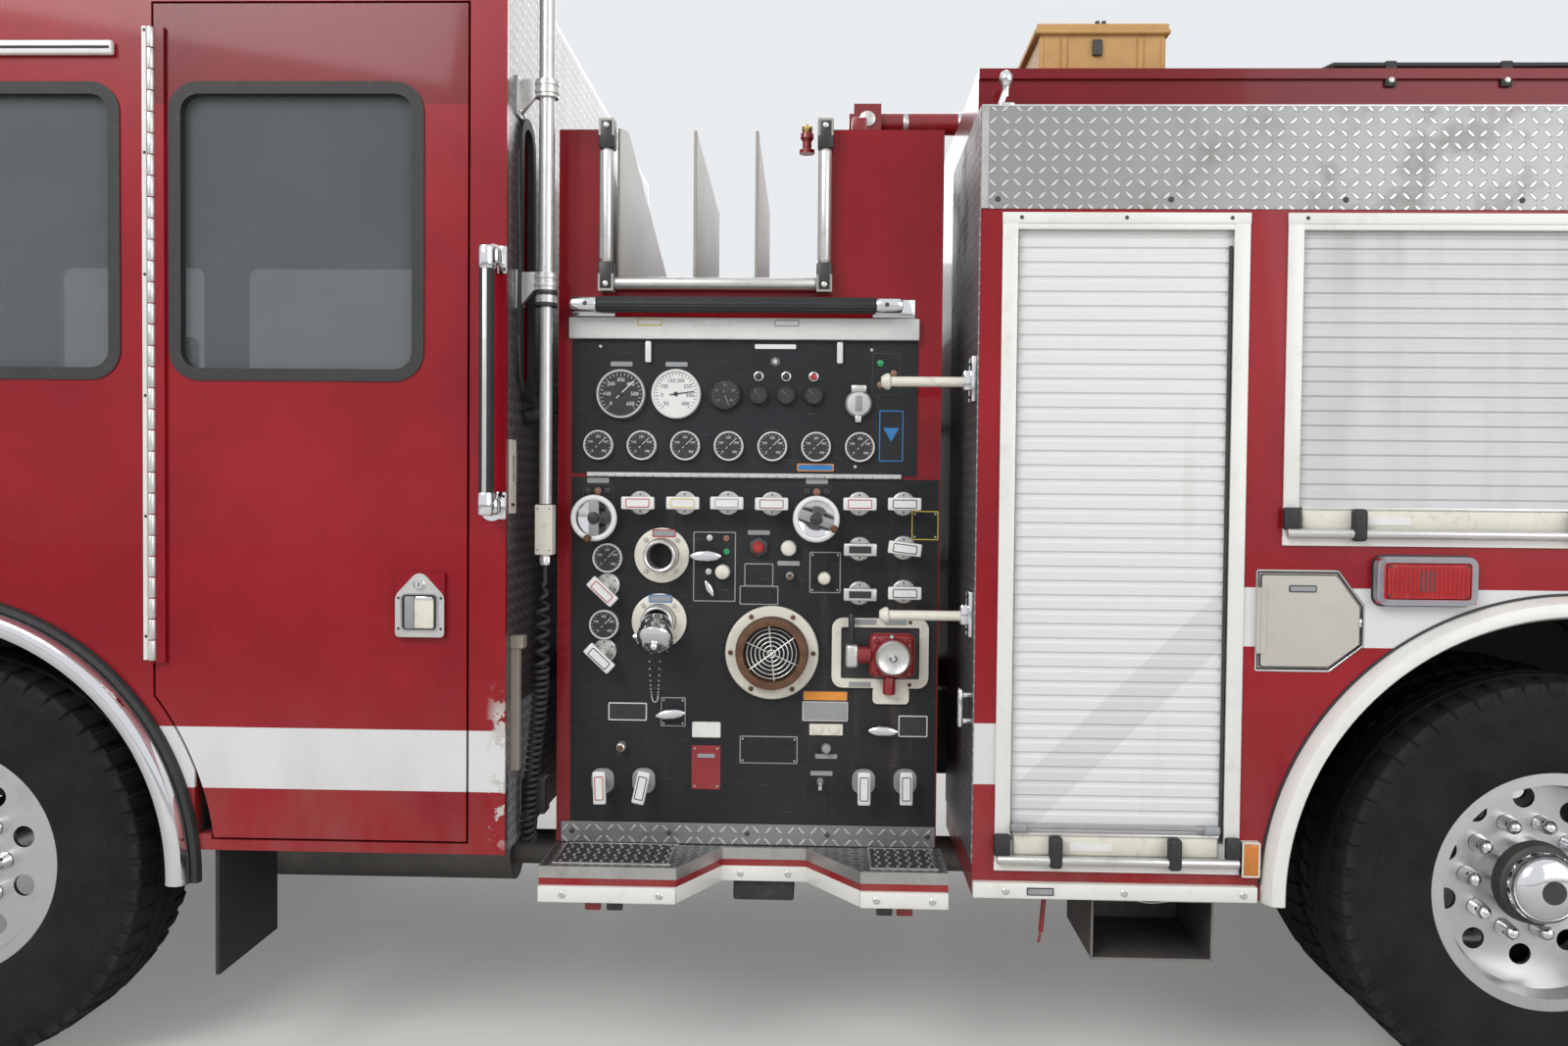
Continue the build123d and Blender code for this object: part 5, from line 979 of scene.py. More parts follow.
# Light strip above the gauges, kick plate below and the fixed panel's fittings
fixed = [block(WHITE, (AXLE + 1.587, AXLE + 2.503), (PANEL - 0.016, -1.030), (1.907, 1.963), 0.004, 2)]
for x, frame_finish in ((1800, LABEL_YELLOW), (1975, SATIN), (2158, LABEL_GREY)):
    fixed += tag(frame_finish, x, 1949, 64, 17, PANEL - 0.016, paper=WHITE)
fixed.append(block(PLATE_SIDE, (AXLE + 1.570, AXLE + 2.560), (PANEL - 0.002, -1.030),
    (0.577, 0.632), 0.001, 1))
for x in (1600, 1858, 2065, 2277, 2540):
    fixed.append(screw(x, 607, PANEL - 0.002, 0.007, CAST))
joined("panel_strips", fixed + [mirrored(piece) for piece in fixed], "chassis", "shutter_aluminium")


def pull_handle(frame_finish, paper, upright=False):
    """A valve's pull handle at the origin: escutcheon, rod and a plate that carries a blank tag."""
    parts = []
    if upright:
        parts.append(panel_plate(LABEL_GREY, (-0.030, 0.030), (-0.036, 0.030), (-0.002, 0.0), 0.024, 6))
        for x in (-0.018, 0.018):
            parts.append(turned(SATIN, [(0.002, 0.003), (0.004, 0.002)], (x, 0, 0.018), sides=8))
    else:
        parts.append(turned(SATIN, [(0, 0.031), (0.006, 0.031), (0.009, 0.027), (0.009, 0.016),
            (0.012, 0.014)], sides=36))
        parts += ring_of(6, 0.0225, 30, CAST, [(0.008, 0.003), (0.0105, 0.002)], sides=8)
    parts.append(turned(SATIN, [(0.0, 0.010), (0.046, 0.010)], sides=16))
    plate = block(WHITE, (-0.043, 0.043), (-0.060, -0.044), (-0.0165, 0.0165), 0.004, 3)
    edge = ring_plate(frame_finish, (-0.031, 0.031), (-0.0115, 0.0115),
        (-0.0610, -0.0595), 0.003, 0.0022, 2)
    field = panel_plate(paper, (-0.029, 0.029), (-0.0095, 0.0095), (-0.0605, -0.0595), 0.002, 2)
    return parts, [plate, edge, field]


def set_handle(x, z, colour, paper=WHITE, lean=0, upright=False, rod=(0, 0)):
    """A pull handle at x, z with its plate leaned, and its rod and escutcheon shifted by rod."""
    still, plate = pull_handle(colour, paper, upright)
    if paper == BLACK:
        plate[0].data.materials[0] = SATIN.material
    done = placed(still, x + rod[0], z + rod[1])
    done += [copied(piece, spot(x, z), math.radians(lean)) for piece in plate]
    discard(*still, *plate)
    return done


controls = []
PULL_HANDLES = [(1777, 1478, LABEL_RED), (1894, 1479, LABEL_YELLOW), (2008, 1480, LABEL_GREY),
    (2124, 1479, LABEL_BROWN), (2352, 1481, LABEL_RED), (2467, 1482, BLACK)]
for handle in PULL_HANDLES:
    controls += set_handle(*handle)
SIDE_HANDLES = [(2354, 1363, SATIN, BLACK, 0), (2355, 1247, SATIN, BLACK, 0), (2469, 1367, BLACK, WHITE, 7),
    (2470, 1252, BLACK, WHITE, 0), (1686, 1247, LABEL_RED, WHITE, 43), (1679, 1073, BLACK, WHITE, 43)]
for handle in SIDE_HANDLES:
    controls += set_handle(*handle, rod=(6, 14) if handle[-1] == 43 else (0, 0))
for x, z, colour, lean in ((1681, 734, LABEL_RED, 88), (1790, 736, BLACK, 102), (2371, 743, BLACK, 90),
        (2480, 745, BLACK, 90)):
    controls += set_handle(x, z, colour, WHITE, lean, True, (0, 10))
for x, z, lean, knob in ((1664, 1438, 90, (-12, -52)), (2240, 1441, 18, (46, -24))):
    wheel = [turned(CHROME, [(0, 0.034), (0.012, 0.034), (0.020, 0.046), (0.034, 0.050), (0.036, 0.046),
        (0.028, 0.020)], sides=40)]
    spoke = block(LABEL_GREY, (-0.052, 0.052), (-0.066, -0.056), (-0.013, 0.013), 0.003, 2)
    wheel += [
        hoop(WHITE, 0.053, 0.0075, (48, 12), (0, -0.062, 0)),
        leaned(spoke, math.radians(lean)),
        turned(BLACK, [(0.030, 0.016), (0.066, 0.016), (0.072, 0.013), (0.074, 0.006)], sides=24),
        turned(RUST, [(0.062, 0.007), (0.078, 0.009), (0.090, 0.010), (0.096, 0.006)],
            (knob[0] / 1000, 0, knob[1] / 1000), sides=16)]
    controls += placed(wheel, x, z)
    discard(*wheel)
for x, z in ((1664, 1438), (2240, 1441)):
    controls += tag(LABEL_GREY, x, z + 98, 58, 14)
    controls += tag(BLACK, x, z + 70, 82, 36, paper=PANEL_BLACK)
    for k, lens in ((-26, BLACK), (0, LABEL_BROWN), (26, BLACK)):
        controls.append(turned(lens, [(0.001, 0.010), (0.005, 0.009), (0.006, 0.005)],
            spot(x + k, z + 70), sides=16))
controls += placed(small, 1691, 1332) + placed(small, 1683, 1156)

# Instrument plate with its two clear-edged fields, lamps, knob and lever
controls += tag(LABEL_GREY, 1973, 1312, 112, 184, thick=0.001, paper=PANEL_BLACK)
for x, z, lens in ((1960, 1388, SATIN), (2004, 1387, LABEL_BROWN),
        (2005, 1352, GREEN), (1958, 1299, SATIN)):
    controls.append(turned(lens, [(0.001, 0.008), (0.006, 0.008), (0.007, 0.004)], spot(x, z), sides=16))
paddle = turned(CHROME, [(0, 0.003), (0.010, 0.010), (0.028, 0.0145), (0.050, 0.0145), (0.068, 0.010),
    (0.080, 0.003)], toward="back", sides=20)
paddle.data.transform(Matrix.Scale(0.55, 4, (0, 1, 0)))


def paddles(x, z, lean, scale=1.0):
    """A polished paddle switch whose left end starts at x, z."""
    piece = copied(paddle, scale=scale)
    leaned(piece, math.radians(lean))
    piece.data.transform(Matrix.Translation(spot(x, z, PANEL - 0.030)))
    stem = turned(SATIN, [(0, 0.007), (0.026, 0.006)], spot(x + 40 * scale, z), sides=12)
    return [piece, stem]


controls += paddles(1912, 1341, 0) + paddles(1825, 921, -6, 0.95) + paddles(2382, 890, 2, 0.95)
lever = leaned(copied(paddle, scale=0.55), math.radians(62))
lever.data.transform(Matrix.Translation(spot(1951, 1275, PANEL - 0.018)))
controls.append(lever)
discard(paddle)
CREAM_KNOBS = [(1995, 1299, 0.020), (2168, 1363, 0.021), (2262, 1285, 0.017),
    (2172, 1291, 0.011), (1731, 834, 0.013)]
for x, z, r in CREAM_KNOBS:
    controls.append(turned(CREAM if r > 0.015 else SATIN,
        [(0, r), (0.014, r), (0.024, r * 0.85), (0.028, r * 0.45)], spot(x, z), sides=24))
    if r < 0.015:
        controls.append(turned(RUST, [(0.02, r * 0.6), (0.0295, r * 0.55)], spot(x, z), sides=16))
controls += [
    turned(CAST, [(0, 0.026), (0.012, 0.026), (0.014, 0.022)], spot(2089, 1365), sides=6),
    turned(RED_LENS, [(0.010, 0.016), (0.026, 0.015), (0.030, 0.010)], spot(2089, 1365), sides=20)]
# x, z, width, height, edge, field of blank plates
PLATES = [(2089, 1403, 58, 12, LABEL_GREY, None), (2168, 1323, 58, 12, LABEL_GREY, None),
    (2090, 1292, 76, 60, LABEL_GREY, PANEL_BLACK), (2091, 1238, 102, 50, LABEL_GREY, PANEL_BLACK),
    (2264, 1300, 82, 108, LABEL_GREY, PANEL_BLACK), (2524, 1426, 70, 76, LABEL_YELLOW, PANEL_BLACK),
    (1746, 926, 102, 47, WHITE, BLACK), (1867, 927, 66, 77, LABEL_GREY, PANEL_BLACK),
    (1955, 881, 75, 41, CREAM, WHITE), (1955, 781, 76, 116, VALVE_RED, None),
    (2120, 830, 153, 73, LABEL_GREY, PANEL_BLACK), (2268, 934, 120, 52, SATIN, LABEL_GREY),
    (2268, 975, 120, 28, BLACK, LABEL_ORANGE), (2271, 886, 93, 35, BLACK, CREAM),
    (2272, 815, 58, 12, LABEL_GREY, None), (2260, 770, 58, 12, LABEL_GREY, None),
    (2499, 898, 76, 56, WHITE, BLACK)]
for x, z, width, height, edge, field in PLATES:
    controls += tag(edge, x, z, width, height, paper=field)
    if height > 70:
        aside, high = width / 2 - 8, height / 2 - 8
        controls += [screw(x + i * aside, z + k * high, PANEL - 0.0015, 0.003)
            for i in (-1, 1) for k in (-1, 1)]
controls += tag(LABEL_GREY, 1955, 812, 46, 10, PANEL - 0.0015)
for k in (-22, 22):
    controls.append(turned(CREAM, [(0.001, 0.013), (0.005, 0.012), (0.006, 0.006)],
        spot(2271 + k, 886), sides=20))
controls += [
    turned(LABEL_GREY, [(0, 0.013), (0.012, 0.013), (0.020, 0.010), (0.022, 0.004)],
        spot(2272, 837), sides=20),
    turned(SATIN, [(0, 0.010), (0.014, 0.010), (0.030, 0.006), (0.034, 0.003)], spot(2257, 749), sides=16),
    block(SATIN, (AXLE + 2.252, AXLE + 2.262), (PANEL - 0.020, PANEL - 0.010), (0.728, 0.750), 0.003, 2)]
joined("panel_valve_controls", controls, "chassis", "chrome", "panel_controls")

# Inlets and outlets
ports = []
inlet = [
    turned(CREAM, [(0, 0.122), (0.018, 0.122), (0.022, 0.118), (0.022, 0.096), (0.004, 0.094), (0.0, 0.094),
        (0, 0.122)], ring=True, sides=64),
    turned(RUST, [(0.0, 0.095), (0.046, 0.094), (0.060, 0.092), (0.062, 0.088), (0.060, 0.074),
        (0.002, 0.073), (0.0, 0.095)], ring=True, sides=56),
    turned(BLACK, [(-0.060, 0.080), (-0.055, 0.080)], sides=32)]
for i, (a, b) in enumerate(around(6, 0.109)):
    inlet.append(turned(RUST, [(0.020, 0.0065), (0.026, 0.0065), (0.028, 0.004)], (a, 0, b), sides=6))
    spoke = bar(SATIN, (0, -0.040, 0), (0.072, -0.040, 0), 0.0016, 8)
    inlet.append(leaned(spoke, math.radians(60 * i + 24)))
inlet += [hoop(SATIN, 0.010 + 0.011 * i, 0.0016, (40, 8), (0, -0.040, 0)) for i in range(6)]
ports += placed(inlet, 2127, 1089)
discard(*inlet)
outlet = [
    turned(CREAM, [(0, 0.072), (0.012, 0.072), (0.014, 0.069), (0.014, 0.046), (0, 0.045), (0, 0.072)],
        ring=True, sides=48),
    turned(SATIN, [(0, 0.045), (0.058, 0.043), (0.064, 0.041), (0.066, 0.038), (0.064, 0.034), (0, 0.033),
        (0, 0.045)], ring=True, sides=44),
    turned(RUST, [(-0.03, 0.0345), (-0.02, 0.0345)], sides=32)]
outlet += ring_of(4, 0.058, 45, SATIN, [(0.013, 0.006), (0.018, 0.006), (0.020, 0.004)])
ports += placed(outlet, 1835, 1341) + placed(outlet, 1829, 1168)
discard(*outlet)
ports += tag(LABEL_RED, 1841, 1399, 62, 20, PANEL - 0.014, paper=LABEL_GREY)
ports += tag(LABEL_BLUE, 1833, 1227, 62, 20, PANEL - 0.014, paper=LABEL_GREY)
# The lower outlet's capped elbow and its bead chain
cap = [
    turned(CHROME, [(0, 0.040), (0.020, 0.044), (0.032, 0.044), (0.036, 0.047), (0.060, 0.048),
        (0.066, 0.044), (0.072, 0.030), (0.074, 0.012)], sides=36),
    turned(CHROME, [(0.070, 0.013), (0.084, 0.012), (0.090, 0.008), (0.092, 0.004)], sides=16)]
for i in range(3):
    cap.append(leaned(turned(CHROME, [(0, 0.007), (0.010, 0.006)], (0, -0.045, 0.046), "up", 10),
        math.radians(120 * i + 30)))
for piece in cap:
    piece.data.transform(Matrix.Rotation(math.radians(38), 4, "X"))
ports += [copied(piece, spot(1829, 1163, PANEL - 0.050)) for piece in cap]
discard(*cap)
bead = turned(SATIN, [(-0.0022, 0.0006), (-0.0012, 0.0019), (0.0, 0.0022), (0.0012, 0.0019),
    (0.0022, 0.0006)], sides=8)
for i in range(44):
    t = i / 43
    x = 1806 + 28 * t
    drop = 132 * (1 - (2 * t - 1) ** 4)
    ports.append(copied(bead, spot(x, 1086 - drop, PANEL - 0.030 + 0.02 * math.sin(math.pi * t))))
discard(bead)
twins = [mirrored(piece) for piece in ports]
joined("panel_ports", ports + twins, "chassis", "cream_casting", "pump_ports")

# Relief valve in its frame
valve = [
    ring_plate(CREAM, (AXLE + 2.284, AXLE + 2.537), (0.999, 1.182), (PANEL - 0.010, PANEL), 0.028, 0.024),
    panel_plate(CREAM, (AXLE + 2.392, AXLE + 2.487), (0.957, 1.003), (PANEL - 0.0095, PANEL), 0.012, 4),
    panel_plate(BLACK, (AXLE + 2.306, AXLE + 2.516), (1.020, 1.161),
        (PANEL - 0.001, PANEL + 0.001), 0.012, 4),
    block(VALVE_RED, (AXLE + 2.380, AXLE + 2.500), (PANEL - 0.050, PANEL), (1.030, 1.146), 0.018, 3),
    turned(VALVE_RED, [(0.040, 0.052), (0.056, 0.050), (0.062, 0.046)], spot(2441, 1086), sides=36),
    turned(SATIN, [(0.060, 0.045), (0.078, 0.044), (0.082, 0.040), (0.078, 0.034), (0.076, 0.012)],
        spot(2441, 1086), sides=40),
    turned(CHROME, [(0.070, 0.010), (0.086, 0.010), (0.090, 0.006)], spot(2441, 1086), sides=16),
    block(SATIN, (AXLE + 2.320, AXLE + 2.352), (PANEL - 0.052, PANEL), (1.056, 1.116), 0.008, 3),
    bar(VALVE_RED, spot(2350, 1088, PANEL - 0.030), spot(2385, 1088, PANEL - 0.030), 0.022, 20),
    bar(BLACK, spot(2334, 1112, PANEL - 0.034), spot(2334, 1196, PANEL - 0.034), 0.0085, 14, 0.003),
    bar(VALVE_RED, spot(2434, 1032, PANEL - 0.022), spot(2434, 984, PANEL - 0.022), 0.017, 18, 0.005)]
valve += ring_of(4, 0.060, 45, VALVE_RED, [(0.048, 0.008), (0.054, 0.008), (0.057, 0.005)], spot(2441, 1086))
valve.append(turned(CHROME, [(0.050, 0.006), (0.066, 0.005)], spot(2437, 1140), sides=12))
for x, z in ((2371, 1172), (2450, 1172), (2358, 1008)):
    valve += tag(LABEL_GREY, x, z, 58, 13, PANEL - 0.010)
for x, z in ((2488, 1172), (2488, 1008)):
    valve.append(screw(x, z, PANEL - 0.010, 0.005, RUST))
joined("relief_valve", valve, "chassis", "gun_paint")


# cab side
def cut_plate(finish, points, y, thick, corner=0.0, segments=4):
    """A flat plate with its outline given in x and z, its outer face at y."""
    clear()
    bpy.ops.mesh.primitive_circle_add(vertices=len(points), radius=1, fill_type="NGON")
    piece = bpy.context.object
    for vertex, (x, z) in zip(piece.data.vertices, points):
        vertex.co = (x, y, z)
    shape(piece)
    bpy.ops.mesh.extrude_region_move(TRANSFORM_OT_translate={"value": (0, thick, 0)})
    if corner:
        round_corners(piece, corner, segments)
    return settle(piece, finish)


def both_sides(name, pieces, body, slot, *stands_for):
    """Joins pieces on the left and their twins on the right; body may hold {} for the side."""
    twins = [mirrored(piece) for piece in pieces]
    if "{}" in body:
        joined(f"{name}_left", pieces, body.format("left"), slot,
            *[node.format("left") for node in stands_for])
        joined(f"{name}_right", twins, body.format("right"), slot,
            *[node.format("right") for node in stands_for])
    else:
        joined(name, pieces + twins, body, slot, *stands_for)


def gasket(x, z, y=SIDE):
    """The rubber seal round a side window's opening."""
    span = (fx(x[0]) - 0.014, fx(x[1]) + 0.014)
    high = (z[0] / 1000 - 0.014, z[1] / 1000 + 0.014)
    return ring_plate(RUBBER, span, high, (y - 0.004, y + 0.024), 0.074, 0.030, 8)


WINDOW_Z = (1788, 2495)
both_sides("front_door_seal", [gasket((-1175, -490), WINDOW_Z)], "front_door_{}", "rubber")
both_sides("crew_door_seal", [gasket((644, 1254), WINDOW_Z)], "crew_door_{}", "rubber")
both_sides("middle_window_seal", [gasket((-330, 493), WINDOW_Z)], "cab", "rubber")

# Paddle latch of each door
LATCH_PLATE = [(-61, -79), (61, -79), (61, 24), (10, 79), (-10, 79), (-61, 24)]


def paddle_latch(centre):
    """A door's latch: plate with a lock above a recess and its paddle."""
    x, z, y = fx(centre), 1.222, SIDE - 0.012
    place = lambda points: [(x + a / 1000, z + b / 1000) for a, b in points]
    parts = [
        cut_plate(SATIN, place(LATCH_PLATE), y - 0.0035, 0.004, 0.010),
        ring_plate(CHROME, (x - 0.047, x + 0.047), (z - 0.065, z + 0.030),
            (y - 0.0065, y - 0.003), 0.014, 0.004, 4),
        panel_plate(BLACK, (x - 0.043, x + 0.043), (z - 0.061, z + 0.026),
            (y - 0.0040, y - 0.003), 0.010, 4),
        block(LABEL_GREY, (x - 0.037, x - 0.013), (y - 0.0050, y - 0.003),
            (z - 0.058, z + 0.022), 0.002, 2),
        block(CREAM, (x - 0.012, x + 0.036), (y - 0.0085, y - 0.003), (z - 0.057, z + 0.018), 0.004, 3),
        block(CHROME, (x - 0.010, x + 0.034), (y - 0.0095, y - 0.006), (z + 0.012, z + 0.022), 0.003, 2),
        turned(CHROME, [(0, 0.014), (0.005, 0.014), (0.0065, 0.012)], (x, y - 0.003, z + 0.052), sides=24),
        turned(SATIN, [(0.006, 0.011), (0.0075, 0.010)], (x, y - 0.003, z + 0.052), sides=20),
        block(BLACK, (x - 0.0012, x + 0.0012), (y - 0.0112, y - 0.010), (z + 0.047, z + 0.057))]
    for a, b in ((-53, 18), (53, 18), (-53, -58), (53, -58)):
        parts.append(turned(CAST, [(0, 0.0035), (0.002, 0.003)],
            (x + a / 1000, y - 0.0035, z + b / 1000), sides=10))
    return parts


both_sides("crew_door_latch", paddle_latch(1263), "crew_door_{}", "shutter_aluminium")
both_sides("front_door_latch", paddle_latch(-540), "front_door_{}", "shutter_aluminium")


def door_hinge(edge, low):
    """The knuckles of a piano hinge ahead of a door's front edge, and its flange on the cab."""
    centre = fx(edge - 3)
    knuckles = []
    count = round((2.64 - low) / 0.053)
    pitch = (2.64 - low) / count
    for i in range(count):
        z = low + i * pitch
        knuckles.append(bar(SATIN, (centre, SIDE - 0.0093, z + 0.001),
            (centre, SIDE - 0.0093, z + pitch - 0.0015), 0.0105, 14, 0.001))
    leaf = block(WHITE, (centre - 0.026, centre - 0.010), (SIDE - 0.004, SIDE), (low, 2.645), 0.001, 1)
    bolts = [turned(CAST, RIVET, (centre - 0.019, SIDE - 0.004, low + 0.06 + i * 0.30),
        sides=10) for i in range(6)]
    return knuckles, [leaf] + bolts


for name, edge, low in (("front", -1235, 1.075), ("crew", 592, 1.075)):
    knuckles, leaf = door_hinge(edge, low)
    both_sides(f"{name}_door_hinge", knuckles, name + "_door_{}", "shutter_aluminium")
    if name == "crew":
        both_sides("crew_hinge_leaf", leaf, "cab", "shutter_aluminium")
    else:
        discard(*leaf)

# Grab bars: a ribbed black sleeve with a bright strip between chrome ends
grips = []
for x in (-385, 1440):
    centre, y = fx(x), SIDE - 0.062
    grips += [
        bar(RUBBER, (centre, y, 1.500), (centre, y, 2.044), 0.0185, 24, 0.002),
        block(SATIN, (centre - 0.0055, centre + 0.0055), (y - 0.0198, y - 0.010), (1.503, 2.041), 0.002, 2)]
    for z, up in ((1.448, 1), (2.096, -1)):
        grips += [
            bar(CHROME, (centre, y, z - up * 0.002), (centre, y, z + up * 0.056), 0.0215, 24, 0.006),
            block(CHROME, (centre - 0.015, centre + 0.028), (SIDE - 0.062, SIDE),
                (z, z + up * 0.042), 0.010, 3),
            block(CHROME, (centre + 0.010, centre + 0.034), (SIDE - 0.005, SIDE),
                (z - up * 0.012, z + up * 0.056), 0.003, 2),
            turned(CAST, RIVET, (centre + 0.028, SIDE - 0.005, z + up * 0.045), sides=10)]
both_sides("grab_grips", grips, "cab", "chrome")

# Drip rail over the front windows: its front length sits on the door and swings with it
for name, body, x0, x1 in (("front_door_rail", "front_door_{}", -1180, -436),
        ("drip_rail", "cab", -424, 496)):
    both_sides(name, [block(WHITE, (fx(x0), fx(x1)), (SIDE - 0.018, SIDE), (2.572, 2.607), 0.006, 3),
        block(RUBBER, (fx(x0), fx(x1 - 6)), (SIDE - 0.0195, SIDE - 0.010), (2.585, 2.592), 0.001, 1)],
        body, "shutter_aluminium")


# fenders
def arch_band(finish, centre_x, steps, y, low, sides=160):
    """A turned ring about an axle, cut off level below the height low."""
    piece = turned(finish, steps, (centre_x, y, HUB_Z), sides=sides, ring=True)
    shape(piece)
    bpy.ops.mesh.bisect(plane_co=(0, 0, low), plane_no=(0, 0, 1), use_fill=True, clear_inner=True)
    return settle(piece)


front_band = [
    arch_band(CHROME, AXLE, [(-0.004, 0.629), (0.020, 0.628), (0.040, 0.636), (0.049, 0.650),
        (0.050, 0.664), (0.044, 0.678), (0.030, 0.686), (-0.004, 0.688), (-0.004, 0.629)], SIDE, 0.520),
    arch_band(RUBBER, AXLE, [(-0.002, 0.688), (0.016, 0.688), (0.020, 0.692), (0.018, 0.704),
        (0.008, 0.708), (-0.002, 0.708), (-0.002, 0.688)], SIDE, 0.520)]
for x, z in ((fx(679), 0.532), (fx(-679), 0.532)):
    front_band.append(turned(SATIN, CAP_SCREW, (x, SIDE - 0.044, z), sides=12))
both_sides("front_fender_band", front_band, "cab", "chrome", "front_fenders")
rear_band = [
    arch_band(FENDER_PAINT, REAR, [(-0.002, 0.692), (0.030, 0.691), (0.044, 0.698), (0.046, 0.710),
        (0.040, 0.728), (0.024, 0.739), (-0.002, 0.743), (-0.002, 0.692)], SIDE, 0.520),
    arch_band(BLACK, REAR, [(-0.001, 0.743), (0.003, 0.743), (0.003, 0.749), (-0.001, 0.749),
        (-0.001, 0.743)], SIDE, 0.560)]
# Rub rails below the lockers, with their bolts and a blank label
for x0, x1 in ((2633, 3323), (4833, 5990)):
    rear_band.append(block(FENDER_PAINT, (fx(x0), fx(x1)), (SIDE - 0.022, SIDE + 0.003),
        (0.5215, 0.5605), 0.004, 2))
    count = 3 if x1 < 4000 else 4
    for i in range(count):
        x = x0 + 80 + i * (x1 - x0 - 115) / (count - 1)
        rear_band.append(turned(SATIN, RAIL_BOLT, (fx(x), SIDE - 0.022, 0.541), sides=16))
rear_band += tag(CAST, 2797, 541, 66, 19, SIDE - 0.022, paper=LABEL_GREY)
both_sides("rear_fender_band", rear_band, "chassis", "shutter_aluminium", "fenders_and_rub_rails")


# light mast on the cab's rear wall
mast = []
for z in (2.039, 2.525):
    mast.append(block(SATIN, (CAB_REAR, CAB_REAR + 0.007), (MAST.y - 0.034, MAST.y + 0.034),
        (z - 0.072, z + 0.027), 0.002, 2))
    web = cut_plate(SATIN, [(CAB_REAR + 0.004, z + 0.024), (CAB_REAR + 0.070, z + 0.024),
        (CAB_REAR + 0.070, z + 0.010), (CAB_REAR + 0.004, z - 0.066)], MAST.y - 0.010, 0.020, 0.0)
    mast.append(web)
    for d in (-0.014, 0.006):
        mast.append(turned(SATIN, [(d, 0.0285), (d + 0.002, 0.0315), (d + 0.012, 0.0315),
            (d + 0.014, 0.0285)], (MAST.x, MAST.y, z), "up", 32))
    for y in (-0.024, 0.024):
        for dz in (0.014, -0.058):
            mast.append(turned(CHROME, [(0.006, 0.0055), (0.0105, 0.005), (0.012, 0.003)],
                (CAB_REAR, MAST.y + y, z + dz), "back", 10))
for z, r in ((1.976, 0.0285), (1.992, 0.0275), (2.004, 0.0285)):
    mast.append(turned(BLACK if r > 0.028 else SATIN,
        [(0, r - 0.001), (0.001, r), (0.009, r), (0.010, r - 0.001)], (MAST.x, MAST.y, z), "up", 28))
mast.append(turned(BLACK, [(0, 0.0205), (0.004, 0.0235), (0.022, 0.0235), (0.024, 0.0205)],
    (MAST.x, MAST.y, 2.935), "up", 28))
# Ribbed speaker, small lamp, latch plate and cable cover beside the mast
speaker = [block(BLACK, (CAB_REAR + 0.070, CAB_REAR + 0.150), (-0.985, -0.935), (1.680, 1.790), 0.006, 2)]
for i in range(9):
    z = 1.690 + i * 0.011
    speaker.append(block(BLACK, (CAB_REAR + 0.068, CAB_REAR + 0.152), (-0.991, -0.930),
        (z, z + 0.0045), 0.001, 1))
speaker.append(block(CAST, (CAB_REAR, CAB_REAR + 0.080), (-0.975, -0.945), (1.715, 1.760), 0.003, 2))
mast += speaker
mast += [
    bar(BLACK, (CAB_REAR + 0.004, -1.062, 1.700), (CAB_REAR + 0.056, -1.062, 1.712), 0.022, 20, 0.003),
    turned(CAST, [(0.050, 0.020), (0.060, 0.019), (0.062, 0.014)], (CAB_REAR, -1.062, 1.712), "back", 20),
    block(CREAM, (CAB_REAR, CAB_REAR + 0.005), (-1.225, -1.165), (1.450, 1.635), 0.001, 1),
    ring_plate(SATIN, (CAB_REAR, CAB_REAR + 0.012), (1.525, 1.600), (-1.200, -1.186), 0.004, 0.0035, 3),
    block(CAST, (CAB_REAR, CAB_REAR + 0.012), (-1.215, -1.205), (1.468, 1.476), 0.002, 1),
    block(TAN_COVER, (CAB_REAR, CAB_REAR + 0.022), (-1.200, -1.172), (0.800, 1.140), 0.002, 1),
    block(TAN_COVER, (CAB_REAR, CAB_REAR + 0.034), (-1.206, -1.166), (1.110, 1.142), 0.002, 1),
    block(BLACK, (CAB_REAR, CAB_REAR + 0.064), (-1.084, -1.022), (0.660, 0.753), 0.004, 2)]
# A loose black lead from the roof to the small lamp
lead = [(CAB_REAR + 0.012, -1.190, 2.36), (CAB_REAR + 0.016, -1.186, 2.10),
    (CAB_REAR + 0.012, -1.178, 1.90), (CAB_REAR + 0.010, -1.150, 1.79), (CAB_REAR + 0.014, -1.070, 1.735)]
for a, b in zip(lead, lead[1:]):
    mast.append(bar(BLACK, a, b, 0.004, 8, 0.001))
joined("mast_fittings", mast, "cab", "shutter_aluminium")
# Slot windows' seals
for side in (-1, 1):
    y = side * 1.0675
    seal = ring_plate(RUBBER, (-0.0785, 0.0785), (1.742, 2.468), (-0.012, 0.004), 0.074, 0.026, 6)
    quarter_turned(seal, CAB_REAR, y)
    joined(f"slot_seal_{side + 2}", [seal], "cab", "rubber")
sleeve = [
    turned(BLACK, [(0, 0.019), (0.006, 0.0215), (0.020, 0.0215), (0.022, 0.018)],
        (MAST.x, MAST.y, 1.452), "up", 24),
    block(CREAM, (MAST.x - 0.0225, MAST.x + 0.0225), (MAST.y - 0.0225, MAST.y + 0.0225),
        (1.344, 1.472), 0.003, 2),
    turned(CHROME, [(0, 0.009), (0.003, 0.0135), (0.020, 0.0145), (0.026, 0.012)],
        (MAST.x, MAST.y, 1.316), "up", 6)]
for dx, dz in ((-0.015, 1.462), (0.015, 1.462), (-0.015, 1.356), (0.015, 1.356)):
    sleeve.append(turned(CAST, [(0, 0.002), (0.0015, 0.0015)], (MAST.x + dx, MAST.y - 0.0225, dz), sides=8))
lamp_z = 3.12
sleeve.append(ring_plate(CAST, (-0.151, 0.151), (lamp_z - 0.001, lamp_z + 0.191),
    (-0.006, 0.006), 0.012, 0.016, 3))
